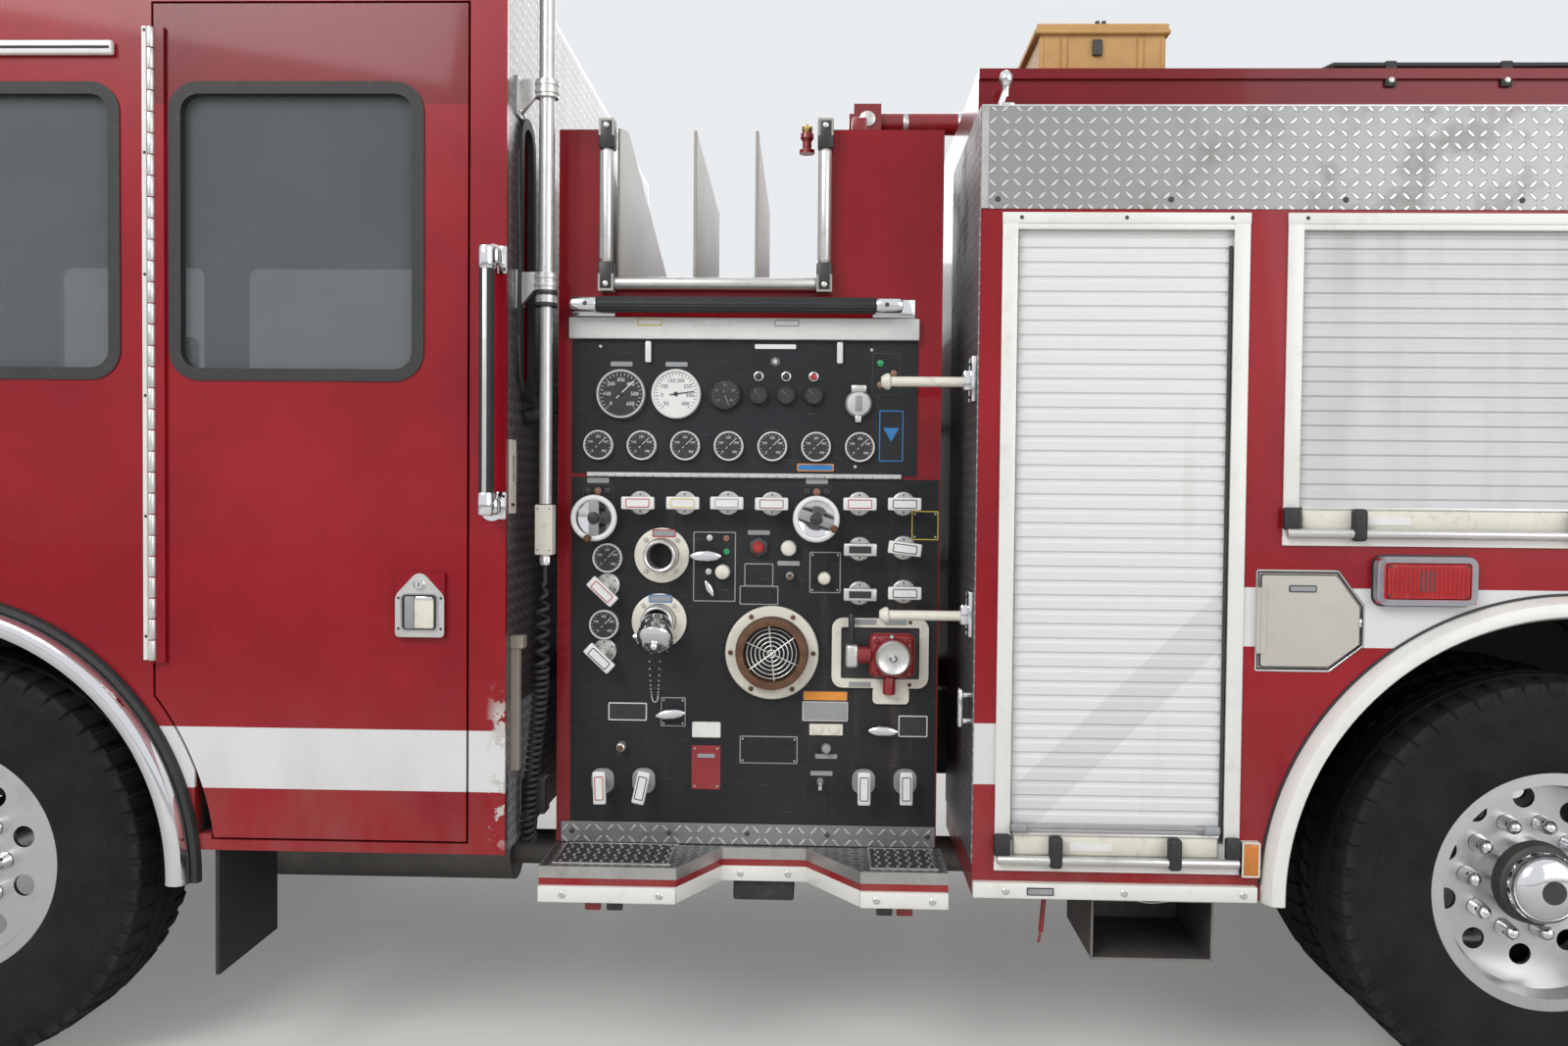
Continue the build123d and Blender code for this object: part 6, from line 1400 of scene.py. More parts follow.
quarter_turned(sleeve[-1], MAST.x + 0.070, MAST.y)
sleeve.append(block(LENS, (MAST.x + 0.044, MAST.x + 0.066), (MAST.y - 0.133, MAST.y + 0.133),
    (lamp_z + 0.017, lamp_z + 0.173), 0.004, 2))
for i in range(7):
    z = lamp_z + 0.025 + i * 0.023
    sleeve.append(block(CAST, (MAST.x - 0.072, MAST.x - 0.060), (MAST.y - 0.14, MAST.y + 0.14),
        (z, z + 0.006), 0.001, 1))
joined("mast_box_and_lamp", sleeve, "mast", "shutter_aluminium")

# crosslay rollers, dividers and the hand rail
lay = []
for x in (1687, 2254):
    lay += [
        bar(SATIN, (fx(x), -1.056, 2.110), (fx(x), -1.056, 2.392), 0.0165, 20, 0.002),
        bar(LABEL_GREY, (fx(x) - 0.011, -1.062, 2.112), (fx(x) - 0.011, -1.062, 2.390), 0.0075, 10)]
    for z, up in ((2.050, 1), (2.450, -1)):
        ends = (z - up * 0.022, z + up * 0.055)
        lay += [
            block(BLACK, (fx(x) - 0.0205, fx(x) + 0.0205), (-1.0765, -1.030), ends, 0.007, 2),
            turned(SATIN, [(0, 0.007), (0.003, 0.007), (0.0045, 0.004)],
                (fx(x), -1.0765, z - up * 0.004), sides=12)]
lay += [
    bar(SATIN, (fx(1712), -1.056, 2.050), (fx(2230), -1.056, 2.050), 0.0165, 20, 0.002),
    bar(LABEL_GREY, (fx(1714), -1.064, 2.046), (fx(2228), -1.064, 2.046), 0.0075, 10)]
for x in (1910, 2072):
    lay.append(block(DIVIDER, (fx(x) - 0.001, fx(x) + 0.007), (-1.021, -0.992), (2.062, 2.455), 0.002, 1))
lay.append(block(RED, (fx(1674), fx(2267)), (-1.033, -1.022), (2.052, 2.066), 0.003, 2))
end_plate = cut_plate(DIVIDER, [(-1.020, 2.062), (-1.020, 2.462), (-0.870, 2.492), (0.030, 2.230),
    (0.030, 2.062)], -0.003, 0.006, 0.012, 3)
lay.append(quarter_turned(end_plate, fx(1711)))
joined("crosslay_rollers", lay, "chassis", "shutter_aluminium")
rail = []
for x, end in ((1600, 1), (2455, -1)):
    low, high = sorted((fx(x) - 0.001 * end, fx(x) + 0.070 * end))
    rail += [
        bar(CHROME, (fx(x) - 0.001 * end, -1.090, 1.990),
            (fx(x) + 0.068 * end, -1.090, 1.990), 0.0215, 24, 0.007),
        block(CHROME, (low, high), (-1.088, -1.030), (1.973, 2.007), 0.010, 3),
        block(CHROME, (low - 0.004, high + 0.036), (-1.0345, -1.030), (1.966, 2.014), 0.003, 2),
        turned(CAST, [(0, 0.006), (0.002, 0.005)], (fx(x) + 0.040 * end, -1.1112, 1.990), sides=12)]
rail.append(bar(RUBBER, (fx(1668), -1.090, 1.990), (fx(2387), -1.090, 1.990), 0.0195, 24, 0.002))
for k in range(16):
    a = 2 * math.pi * k / 16
    y, z = -1.090 - 0.0195 * math.cos(a), 1.990 + 0.0195 * math.sin(a)
    rail.append(bar(RUBBER, (fx(1669), y, z), (fx(2386), y, z), 0.0014, 6))
both_sides("hand_rail_grip", rail, "chassis", "rubber", "hand_rails")


# running steps
def wall_strip(finish, a, b, z, proud, thick=0.004, rounding=0.0):
    """A flat strip along a step's edge from a to b in plan, standing proud of it."""
    start, end = Vector((fx(a[0]), a[1] / 1000, 0)), Vector((fx(b[0]), b[1] / 1000, 0))
    length = (end - start).length
    strip = block(finish, (-length / 2, length / 2), (-proud, thick), (z[0], z[1]), rounding)
    turn = math.atan2(end.y - start.y, end.x - start.x)
    strip.data.transform(Matrix.Translation((start + end) / 2) @ Matrix.Rotation(turn, 4, "Z"))
    return strip


EDGE = [(1559, -1250), (1902, -1250), (2001, -1060), (2222, -1060), (2358, -1250), (2575, -1250)]
steps = []
for a, b in zip(EDGE, EDGE[1:]):
    steps += [
        wall_strip(STEP_EDGE, a, b, (0.546, 0.5755), 0.002),
        wall_strip(RED, a, b, (0.5285, 0.546), 0.0012)]
    if a[1] == b[1]:
        steps.append(wall_strip(FENDER_PAINT, a, b, (0.4885, 0.5285),
            0.014 if a[1] < -1100 else 0.003, rounding=0.002))
    else:
        steps.append(wall_strip(FENDER_PAINT, a, b, (0.4885, 0.5285), 0.003, rounding=0.001))
for x, y in ((1620, -1.264), (1862, -1.264), (2398, -1.264), (2536, -1.264),
        (2050, -1.063), (2175, -1.063)):
    steps.append(turned(SATIN, RAIL_BOLT, (fx(x), y, 0.5085), sides=16))
steps.append(block(STEP_EDGE, (fx(1557), fx(1560)), (-1.250, -1.034), (0.489, 0.5755), 0.001, 1))
for x0, x1, y0, y1 in ((1592, 1880, -1.222, -1.052), (2388, 2548, -1.222, -1.052)):
    steps += [
        # Painted shadow: a dark sheet under the grating's teeth.
        block(GRATING_SHADOW, (fx(x0), fx(x1)), (y0, y1), (0.5735, 0.5775), 0.001, 1),
        block(STEP_EDGE, (fx(x0) - 0.006, fx(x1) + 0.006), (y0 - 0.006, y0), (0.574, 0.5785), 0.001, 1),
        block(STEP_EDGE, (fx(x0) - 0.006, fx(x1) + 0.006), (y1, y1 + 0.006), (0.574, 0.5785), 0.001, 1)]
    for x in (fx(x0), fx(x1)):
        steps.append(block(STEP_EDGE, (x - 0.006, x), (y0, y1), (0.574, 0.5785), 0.001, 1))
    rows = 7
    tooth = block(STEP_EDGE, (-0.0035, 0.0035), (-0.007, 0.007), (0.577, 0.5805), 0.001, 1)
    for i in range(int((x1 - x0) / 26)):
        for j in range(rows):
            x = fx(x0) + 0.013 + 0.026 * i + (0.007 if j % 2 else 0)
            y = y0 + (j + 0.5) * (y1 - y0) / rows
            steps.append(copied(tooth, (x, y, 0)))
    discard(tooth)
both_sides("step_trim", steps, "chassis", "tread_plate")
# Drain valves and a small box under the step's notch
under = [block(CHASSIS, (fx(2030), fx(2190)), (-1.040, -0.900), (0.430, 0.490), 0.006, 2)]
for x in (1690, 1745, 2420, 2470):
    under += [
        bar(SATIN, (fx(x), -1.215, 0.470), (fx(x), -1.050, 0.474), 0.007, 12, 0.002),
        block(VALVE_RED if x in (1690, 2470) else CAST, (fx(x) - 0.020, fx(x) + 0.020), (-1.228, -1.214),
            (0.458, 0.482), 0.004, 2)]
both_sides("step_underside", under, "chassis", "cast_steel")

# lockers: shutter frames, lift bars and handles
def shutter_trim(x0, x1, z0, z1, straps, lift):
    """Everything on one side shutter: its frame, dark channels, bottom rail, tube and straps."""
    parts = []
    for a, b in ((x0 - 17, x0 + 21), (x1 - 21, x1 + 17)):
        parts.append(block(FENDER_PAINT, (fx(a), fx(b)), (SIDE - 0.0075, SIDE),
            (z0 / 1000 - 0.010, z1 / 1000 + 0.017), 0.002, 2))
    parts += [
        block(FENDER_PAINT, (fx(x0 - 18), fx(x1 + 18)), (SIDE - 0.0085, SIDE),
            (z1 / 1000 - 0.010, z1 / 1000 + 0.017), 0.002, 2),
        block(FENDER_PAINT, (fx(x0 - 10), fx(x1 + 10)), (SIDE - 0.0060, SIDE),
            (z1 / 1000 - 0.024, z1 / 1000 - 0.006), 0.002, 2),
        block(FENDER_PAINT, (fx(x0 - 18), fx(x1 + 18)), (SIDE - 0.0085, SIDE),
            (z0 / 1000 - 0.0165, z0 / 1000 + 0.006), 0.002, 2),
        block(CAST, (fx(x1 - 30), fx(x1 - 21)), (SIDE + 0.003, SIDE + 0.010),
            (z0 / 1000 + 0.06, z1 / 1000 - 0.06), 0.002, 1),
        block(CAST, (fx(x0 + 21), fx(x0 + 24)), (SIDE + 0.003, SIDE + 0.010),
            (z0 / 1000 + 0.06, z1 / 1000 - 0.02), 0.001, 1)]
    for x in (x0 + 28, (x0 + x1) / 2, x1 - 28):
        parts.append(turned(CAST, PIN, (fx(x), SIDE - 0.0085, z1 / 1000 + 0.004), sides=12))
    base = z0 / 1000
    parts += [
        block(CREAM, (fx(x0 + 30), fx(x1 - 34)), (SIDE - 0.004, SIDE + 0.012),
            (base + 0.022, base + 0.074), 0.005, 2),
        block(SATIN, (fx(x0 + 28), fx(x1 - 32)), (SIDE - 0.0065, SIDE + 0.012),
            (base + 0.070, base + 0.078), 0.002, 2),
        bar(SATIN, (fx(x0 - 12), SIDE - 0.020, base + 0.014),
            (fx(x1 + 12), SIDE - 0.020, base + 0.014), 0.0115, 20, 0.002)]
    for a, b in ((x0 - 20, x0 + 20), (x1 - 20, x1 + 16)):
        parts += [
            block(RUBBER, (fx(a), fx(b)), (SIDE - 0.026, SIDE - 0.004),
                (base + 0.022, base + 0.076), 0.006, 2),
            turned(CAST, [(0, 0.0045), (0.002, 0.004)],
                (fx((a + b) / 2) - 0.004, SIDE - 0.026, base + 0.058), sides=10)]
    for x in straps:
        parts.append(block(RUBBER, (fx(x - 16), fx(x + 16)), (SIDE - 0.036, SIDE - 0.003),
            (base - 0.004, base + 0.074), 0.009, 3))
    if lift:
        parts.append(bar(LABEL_GREY, (fx(x0 + 30), SIDE - 0.009, base + 0.094),
            (fx(x1 - 34), SIDE - 0.009, base + 0.094), 0.0055, 12, 0.001))
        for x in (x0 + 42, x1 - 52):
            parts.append(block(LABEL_GREY, (fx(x - 20), fx(x + 20)), (SIDE - 0.022, SIDE + 0.002),
                (base + 0.080, base + 0.104), 0.008, 3))
    width = x1 - x0
    parts += tag(CREAM, x0 + min(0.39 * width, 238), z0 + 46, 108, 24, SIDE - 0.004, paper=WHITE)
    return parts


trim = shutter_trim(2703, 3264, 603, 2177, (2833, 3121), True)
trim += shutter_trim(3388, 4768, 1409, 2177, (3548, 4070, 4592), False)
trim += shutter_trim(4892, 5915, 603, 2177, (5040, 5760), True)
for i in range(8):
    x = 2673 + i * 417
    trim.append(turned(CAST, DOME, (fx(x), SIDE, 2.226), sides=14))
trim += [
    block(STEP_EDGE, (fx(2632), fx(2650)), (SIDE - 0.005, SIDE + 0.004), (2.203, 2.4515), 0.001, 1),
    block(SATIN, (fx(2632), fx(5990)), (SIDE - 0.0045, SIDE + 0.020), (2.4485, 2.4535), 0.001, 1)]
both_sides("shutter_trim", trim, "chassis", "shutter_aluminium")

# Fill door on the left, side lamps and markers
FILL_OPENING = [(-765, 1088), (-765, 1331), (-570, 1331), (-508, 1248), (-508, 1150), (-588, 1088)]
FILL_SKIN = [(-757, 1096), (-757, 1323), (-574, 1323), (-516, 1245), (-516, 1153), (-591, 1096)]
FILL_FACE = [(-754, 1099), (-754, 1320), (-575.5, 1320), (-519, 1244), (-519, 1154), (-592, 1099)]
outlines = (FILL_OPENING, FILL_SKIN, FILL_FACE)
opening, inner, outer = [[(REAR + x / 1000, z / 1000) for x, z in outline] for outline in outlines]
rim = []
for (xa, za), (xb, zb) in zip(opening, opening[1:] + opening[:1]):
    rim.append(bar(CHROME, (xa, SIDE - 0.001, za), (xb, SIDE - 0.001, zb), 0.0028, 10))
joined("fill_door_rim", rim, "chassis", "chrome")
skin = cut_plate(BLACK, inner, SIDE - 0.0036, 0.003, 0.005, 3)
face = cut_plate(DOOR_BEIGE, outer, SIDE - 0.0055, 0.004, 0.005, 3)
fill = [skin, face, block(CHROME, (REAR - 0.521, REAR - 0.514), (SIDE - 0.0085, SIDE - 0.003),
    (1.196, 1.216), 0.002, 2)]
fill += tag(CAST, 3422, 1288, 66, 17, SIDE - 0.0055, paper=LABEL_GREY)
joined("fill_door_face", fill, "fill_door", "shutter_aluminium")
lamps = [
    panel_plate(BLACK, (fx(3587), fx(3832)), (1.248, 1.373), (SIDE - 0.004, SIDE), 0.024, 6),
    panel_plate(LAMP_GREY, (fx(3591), fx(3828)), (1.252, 1.369), (SIDE - 0.022, SIDE - 0.003), 0.022, 6),
    ring_plate(LAMP_GREY, (fx(3591), fx(3828)), (1.252, 1.369),
        (SIDE - 0.030, SIDE - 0.021), 0.022, 0.014, 6),
    ring_plate(CREAM, (fx(3611), fx(3811)), (1.267, 1.354),
        (SIDE - 0.0300, SIDE - 0.022), 0.008, 0.0022, 4),
    panel_plate(RED_LENS, (fx(3613), fx(3809)), (1.269, 1.352), (SIDE - 0.0305, SIDE - 0.022), 0.007, 4)]
for i in range(18):
    x = fx(3622 + i * 10.4)
    lamps.append(block(RED_LENS, (x, x + 0.006), (SIDE - 0.0325, SIDE - 0.030), (1.276, 1.345), 0.001, 1))
lamps.append(block(CAST, (fx(3690), fx(3728)), (SIDE - 0.0315, SIDE - 0.0300), (1.285, 1.336), 0.001, 1))
for x in (3619, 3803):
    for z in (1.275, 1.346):
        lamps.append(turned(CAST, RIVET, (fx(x), SIDE - 0.0305, z), sides=10))
# Amber marker in its pale frame
lamps += [
    ring_plate(CREAM, (fx(3284), fx(3328)), (0.584, 0.670), (SIDE - 0.020, SIDE), 0.003, 0.004, 3),
    block(AMBER_LENS, (fx(3287), fx(3325)), (SIDE - 0.019, SIDE), (0.587, 0.667), 0.003, 2)]
both_sides("side_lamps", lamps, "chassis", "lamp_plastic")

# upper body and its front wall
knob = turned(CHROME, [(0, 0.0075), (0.018, 0.0080), (0.030, 0.0115), (0.040, 0.0165), (0.050, 0.0165),
    (0.060, 0.011), (0.064, 0.004)], toward="up", sides=24)
knob.data.transform(Matrix.Translation((fx(2691), -1.236, 2.476)))
top = [
    knob,
    block(CHROME, (fx(2675), fx(2712)), (-1.246, -1.222), (2.4515, 2.462), 0.004, 2),
    bar(CHROME, (fx(2679), -1.236, 2.456), (fx(2691), -1.236, 2.492), 0.0085, 16, 0.002)]
for x in (3090, 3507, 3924, 4341, 4758, 5175, 5592):
    top.append(turned(SATIN, PIN, (fx(x), -1.170, 2.468), sides=12))
# Arms that stand forward from the body's front wall, with their pads, and a chrome grab handle
front_wall = fx(2630)
for z, reach in ((1.787, 2420), (1.206, 2422)):
    top += [
        bar(CREAM, (fx(reach), -1.200, z), (front_wall - 0.004, -1.200, z), 0.0125, 16, 0.004),
        block(CHROME, (front_wall - 0.012, front_wall), (-1.232, -1.168), (z - 0.050, z + 0.062), 0.003, 2),
        block(CHROME, (front_wall - 0.030, front_wall - 0.008), (-1.215, -1.185),
            (z - 0.022, z + 0.028), 0.006, 2),
        turned(CREAM, [(0, 0.012), (0.012, 0.020), (0.020, 0.020), (0.024, 0.014)],
            (fx(reach) - 0.022, -1.200, z), "back", 20)]
    for y, dz in ((-1.224, 0.046), (-1.176, 0.046), (-1.224, -0.036), (-1.176, -0.036)):
        top.append(bar(CAST, (front_wall - 0.014, y, z + dz), (front_wall - 0.010, y, z + dz), 0.0035, 8))
for z in (0.945, 1.010):
    top.append(bar(CHROME, (front_wall - 0.030, -1.205, z), (front_wall, -1.205, z), 0.008, 12, 0.002))
top.append(block(CHROME, (front_wall - 0.034, front_wall - 0.020), (-1.220, -1.190),
    (0.930, 1.026), 0.006, 3))
both_sides("body_front_fittings", top, "chassis", "chrome")

# Deck between pump house and storage box: small red box, and a red valve with a brass top
deck = [
    block(VALVE_RED, (fx(2322), fx(2362)), (-1.000, -0.950), (2.455, 2.497), 0.004, 2),
    turned(VALVE_RED, [(0, 0.020), (0.010, 0.020), (0.014, 0.012), (0.032, 0.012), (0.040, 0.018),
        (0.052, 0.017)], (fx(2205), -1.000, 2.400), "up", 24),
    turned(BRASS, [(0.052, 0.010), (0.058, 0.014), (0.070, 0.014), (0.076, 0.006)],
        (fx(2205), -1.000, 2.400), "up", 20),
    turned(VALVE_RED, [(0, 0.060), (0.010, 0.060), (0.012, 0.048), (0.040, 0.048)],
        (fx(2390), -0.100, 2.455), "up", 40)]
for a, b in around(8, 0.054):
    deck.append(turned(CAST, [(0.010, 0.0065), (0.017, 0.0065), (0.019, 0.004)],
        (fx(2390) + a, -0.100 + b, 2.455), "up", 6))
joined("deck_fittings", deck, "chassis", "gun_paint")
# Gun: handwheel, nozzle rings and elbow ribs
pivot = (fx(2390), -0.100, 2.735)
gun = [
    turned(VALVE_RED, [(0, 0.053), (0.006, 0.0545), (0.020, 0.0545), (0.026, 0.053)],
        (pivot[0], pivot[1], 2.560), "up", 40),
    turned(CAST, [(0, 0.0535), (0.003, 0.0555), (0.009, 0.0555), (0.012, 0.0535)],
        (pivot[0], pivot[1], 2.505), "up", 40),
    bar(SATIN, (pivot[0], -0.168, 2.735), (pivot[0], -0.162, 2.735), 0.026, 24, 0.002),
    bar(SATIN, (pivot[0], -0.038, 2.735), (pivot[0], -0.032, 2.735), 0.026, 24, 0.002)]
joined("gun_swivel_trim", gun, "gun_swivel", "gun_paint")
tip = pivot[0] + 0.440
barrel = [turned(finish, steps, (x, pivot[1], pivot[2]), "back", sides) for finish, steps, x, sides in (
    (BLACK, [(0, 0.0465), (0.006, 0.049), (0.020, 0.049), (0.026, 0.0465)], tip + 0.012, 40),
    (BLACK, [(0, 0.0465), (0.006, 0.049), (0.030, 0.049), (0.036, 0.0465)], tip + 0.138, 40),
    (CHROME, [(0, 0.0365), (0.004, 0.039), (0.014, 0.039), (0.018, 0.0365)], pivot[0] + 0.300, 36),
    (SATIN, [(0, 0.0365), (0.004, 0.038), (0.012, 0.038), (0.016, 0.0365)], pivot[0] + 0.120, 36))]
for i in range(20):
    a = 2 * math.pi * i / 20
    y, z = pivot[1] + 0.0465 * math.cos(a), pivot[2] + 0.0465 * math.sin(a)
    barrel.append(bar(BLACK, (tip + 0.045, y, z), (tip + 0.130, y, z), 0.0022, 6))
joined("gun_barrel_trim", barrel, "gun_barrel", "gun_paint")

# storage box: raised ribs and latches
box_parts = []
for x in (fx(2789) - 0.002, fx(3100) - 0.010):
    box_parts.append(block(TAN, (x, x + 0.012), (-1.133, -1.127), (2.470, 2.655), 0.002, 1))
for x in (fx(2850), fx(3040)):
    box_parts.append(block(TAN, (x - 0.008, x + 0.008), (-1.136, -1.128), (2.465, 2.655), 0.003, 1))
box_parts.append(block(CAST, (fx(2920), fx(2944)), (-1.140, -1.128), (2.610, 2.650), 0.003, 2))
joined("storage_case_ribs", box_parts, "chassis", "case_plastic")
lid_parts = [block(TAN, (fx(2776), fx(3113)), (-1.143, -0.690), (2.663, 2.674), 0.004, 2),
             block(TAN, (fx(2790), fx(3099)), (-1.130, -0.705), (2.672, 2.690), 0.010, 3)]
for x in (2932, 2948):
    lid_parts.append(bar(CAST, (fx(x), -1.128, 2.688), (fx(x), -1.128, 2.698), 0.006, 12, 0.002))
joined("storage_lid_top", lid_parts, "storage_lid", "case_plastic")

# exhaust diffuser's edge, the drooping wire and the hanging red rod
out = [block(EXHAUST_GREY, (fx(2939), fx(3239)), (-1.196, -1.188), (0.496, 0.5015), 0.001, 1),
       block(EXHAUST_GREY, (fx(2939), fx(3239)), (-1.196, -1.188), (0.3485, 0.354), 0.001, 1),
       block(EXHAUST_GREY, (fx(2937.5), fx(2943)), (-1.196, -1.188), (0.349, 0.501), 0.001, 1),
       block(EXHAUST_GREY, (fx(3235), fx(3240.5)), (-1.196, -1.188), (0.349, 0.501), 0.001, 1)]
droop = [(fx(2985 + 18 * i), -1.200 + 0.004 * math.sin(i),
    0.520 - 0.024 * math.sin(math.pi * i / 12)) for i in range(13)]
for a, b in zip(droop, droop[1:]):
    out.append(bar(SATIN, a, b, 0.0018, 6))
out += [
    bar(VALVE_RED, (fx(2830), -1.150, 0.522), (fx(2818), -1.165, 0.405), 0.006, 12, 0.002),
    bar(VALVE_RED, (fx(2818), -1.165, 0.408), (fx(2812), -1.170, 0.380), 0.0035, 10, 0.001)]
joined("exhaust_outlet_edge", out, "chassis", "chassis_paint")
# the right side's pull handles
right_side = []
for handle in PULL_HANDLES:
    right_side += set_handle(*handle)
for x, z, width, height, edge, paper in ((1945, 1403, 520, 14, LABEL_GREY, None),
        (2160, 1250, 150, 76, LABEL_GREY, PANEL_BLACK), (2410, 1250, 110, 60, LABEL_YELLOW, PANEL_BLACK),
        (2410, 760, 170, 84, LABEL_GREY, PANEL_BLACK)):
    right_side += tag(edge, x, z, width, height, paper=paper)
right_side += placed(small, 2352, 1610) + placed(small, 2467, 1610)
discard(*small)
twins = [mirrored(piece) for piece in right_side]
discard(*right_side)
joined("right_valve_controls", twins, "chassis", "case_plastic")

# front of the cab
def facing(piece, toward, x):
    """Turns a piece that was made facing left to the front or rear, its outer face at x."""
    return quarter_turned(piece, x, 0, -1 if toward == "front" else 1)


def raked(piece):
    """Leans a piece back with the windscreen."""
    return leaned(piece, RAKE_ANGLE, (FRONT, 0, SILL_Z))


def laid(piece, z):
    """Lays an upright plate flat, its outer face up at z."""
    piece.data.transform(Matrix.Translation((0, 0, z)) @ Matrix.Rotation(-math.pi / 2, 4, "X"))
    return piece


screen = []
for low, high in ((-1.060, -0.040), (0.040, 1.060)):
    seal = ring_plate(RUBBER, (low - 0.026, high + 0.026), (1.674, 2.546), (-0.008, 0.014), 0.045, 0.034, 6)
    screen.append(raked(facing(seal, "front", FRONT)))
for pivot, inner, outer in ((-0.86, -0.96, -0.22), (0.16, 0.08, 0.82)):
    middle = (inner + outer) / 2
    screen += [raked(piece) for piece in (
        bar(BLACK, (FRONT + 0.004, pivot, 1.652), (FRONT - 0.030, pivot, 1.652), 0.017, 20, 0.004),
        bar(BLACK, (FRONT - 0.024, pivot, 1.652), (FRONT - 0.016, middle, 1.744), 0.0065, 12, 0.002),
        bar(BLACK, (FRONT - 0.024, pivot + 0.03, 1.640),
            (FRONT - 0.016, middle + 0.03, 1.734), 0.0045, 10, 0.001),
        block(BLACK, (FRONT - 0.018, FRONT - 0.002), (inner, outer), (1.736, 1.748), 0.003, 2),
        block(RUBBER, (FRONT - 0.002, FRONT + 0.018), (inner + 0.01, outer - 0.01),
            (1.739, 1.745), 0.001, 1))]
for y in (-1.05, -0.19, 0.0, 0.19, 1.05):
    screen += [raked(piece) for piece in (
        block(CHROME, (FRONT - 0.006, FRONT + 0.004), (y - 0.048, y + 0.048), (2.790, 2.836), 0.004, 2),
        block(AMBER_LENS, (FRONT - 0.024, FRONT - 0.004), (y - 0.040, y + 0.040),
            (2.798, 2.828), 0.008, 3))]
for y in (-0.62, -0.5, 0.5, 0.62):
    screen.append(raked(bar(CHROME, (FRONT - 0.034, y, 2.62), (FRONT, y, 2.62), 0.010, 14, 0.002)))
for y in (-0.56, 0.56):
    screen.append(raked(bar(CHROME, (FRONT - 0.034, y - 0.085, 2.62),
        (FRONT - 0.034, y + 0.085, 2.62), 0.012, 16, 0.003)))
joined("windscreen_trim", screen, "cab", "rubber")

grille_parts = [
    facing(ring_plate(CHROME, (-0.545, 0.545), (0.940, 1.525), (-0.034, 0.0), 0.036,
        0.044, 6), "front", FRONT),
    block(BLACK, (FRONT - 0.0035, FRONT - 0.0005), (-0.485, 0.485), (1.000, 1.465))]
for i in range(9):
    z = 1.005 + (i + 0.5) * 0.0505556
    grille_parts.append(bar(CHROME, (FRONT - 0.0225, -0.482, z),
        (FRONT - 0.0225, 0.482, z), 0.0098, 20, 0.001))
for i in range(13):
    y = -0.42 + 0.07 * i
    grille_parts.append(block(CAST, (FRONT - 0.0130, FRONT - 0.0060), (y - 0.003, y + 0.003),
        (1.005, 1.460), 0.001, 1))
for y in (-0.52, 0.52):
    for z in (0.968, 1.232, 1.498):
        grille_parts.append(facing(turned(SATIN, BOLT, (y, -0.034, z), sides=14), "front", FRONT))
joined("grille_trim", grille_parts, "cab", "chrome")

lamp_parts = []
for y in (0.735, 0.965):
    bezel = turned(CHROME, [(0.000, 0.0895), (0.010, 0.0895), (0.014, 0.086), (0.012, 0.080),
        (-0.006, 0.0760), (-0.010, 0.0740)], (y, -0.030, 1.078), sides=48)
    lens = turned(LENS, [(-0.009, 0.0735), (-0.002, 0.0705), (0.004, 0.058), (0.0075, 0.036),
        (0.009, 0.012)], (y, -0.030, 1.078), sides=48)
    lamp_parts += [facing(bezel, "front", FRONT), facing(lens, "front", FRONT)]
    for i in range(-4, 5):
        high = (0.066 ** 2 - (0.0145 * i) ** 2) ** 0.5
        bow = -0.0355 + 0.0018 * abs(i)
        lamp_parts.append(facing(bar(LENS, (y + 0.0145 * i, bow, 1.078 - high),
            (y + 0.0145 * i, bow, 1.078 + high), 0.0022, 8), "front", FRONT))
lamp_parts += [facing(piece, "front", FRONT) for piece in (
    ring_plate(CHROME, (0.606, 1.094), (0.971, 1.184), (-0.037, 0.0), 0.030, 0.014, 5),
    ring_plate(CHROME, (0.690, 1.010), (1.196, 1.276), (-0.022, 0.0), 0.016, 0.011, 4),
    block(AMBER_LENS, (0.700, 1.000), (-0.024, 0.0), (1.205, 1.267), 0.009, 3))]
rib = facing(block(AMBER_LENS, (0.716, 0.720), (-0.0262, -0.02), (1.213, 1.259), 0.001, 1), "front", FRONT)
lamp_parts += [copied(rib, (0, -0.0205 * i, 0)) for i in range(14)]
discard(rib)
both_sides("headlight_lenses", lamp_parts, "cab", "glass")

# bumper: tread plate on top, rubber strip, warning lamps and the mat in the tray
corner = 0.260
deck_half = [(-3.640, -1.243), (NOSE + corner + 0.003, -1.243), (NOSE + 0.006, -1.243 + corner * 1.3),
    (NOSE + 0.006, -0.389), (-3.640, -0.389)]
bumper_parts = [laid(cut_plate(PLATE_TOP, deck_half, 0.0, 0.0030), BUMPER_TOP)]
bumper_parts += [facing(piece, "front", NOSE) for piece in (
    block(RUBBER, (0.0, 0.905), (-0.013, 0.004), (0.628, 0.672), 0.007, 3),
    ring_plate(CHROME, (0.520, 0.730), (0.688, 0.764), (-0.010, 0.0), 0.014, 0.010, 4),
    block(RED_LENS, (0.528, 0.722), (-0.014, 0.0), (0.696, 0.756), 0.006, 3))]
for x, y in ((-3.70, -1.20), (-3.90, -1.21), (-4.16, -0.78), (-4.16, -0.42),
        (-3.66, -0.42), (-3.66, -0.80)):
    bumper_parts.append(turned(SATIN, BOLT, (x, y, BUMPER_TOP), "up", 14))
twins = [mirrored(piece) for piece in bumper_parts]
tray = [
    laid(cut_plate(PLATE_TOP, [(-4.189, -0.389), (-4.189, 0.389), (-4.051, 0.389), (-4.051, -0.389)],
        0.0, 0.003), BUMPER_TOP),
    laid(cut_plate(PLATE_TOP, [(-3.719, -0.389), (-3.719, 0.389), (-3.640, 0.389), (-3.640, -0.389)],
        0.0, 0.003), BUMPER_TOP)]
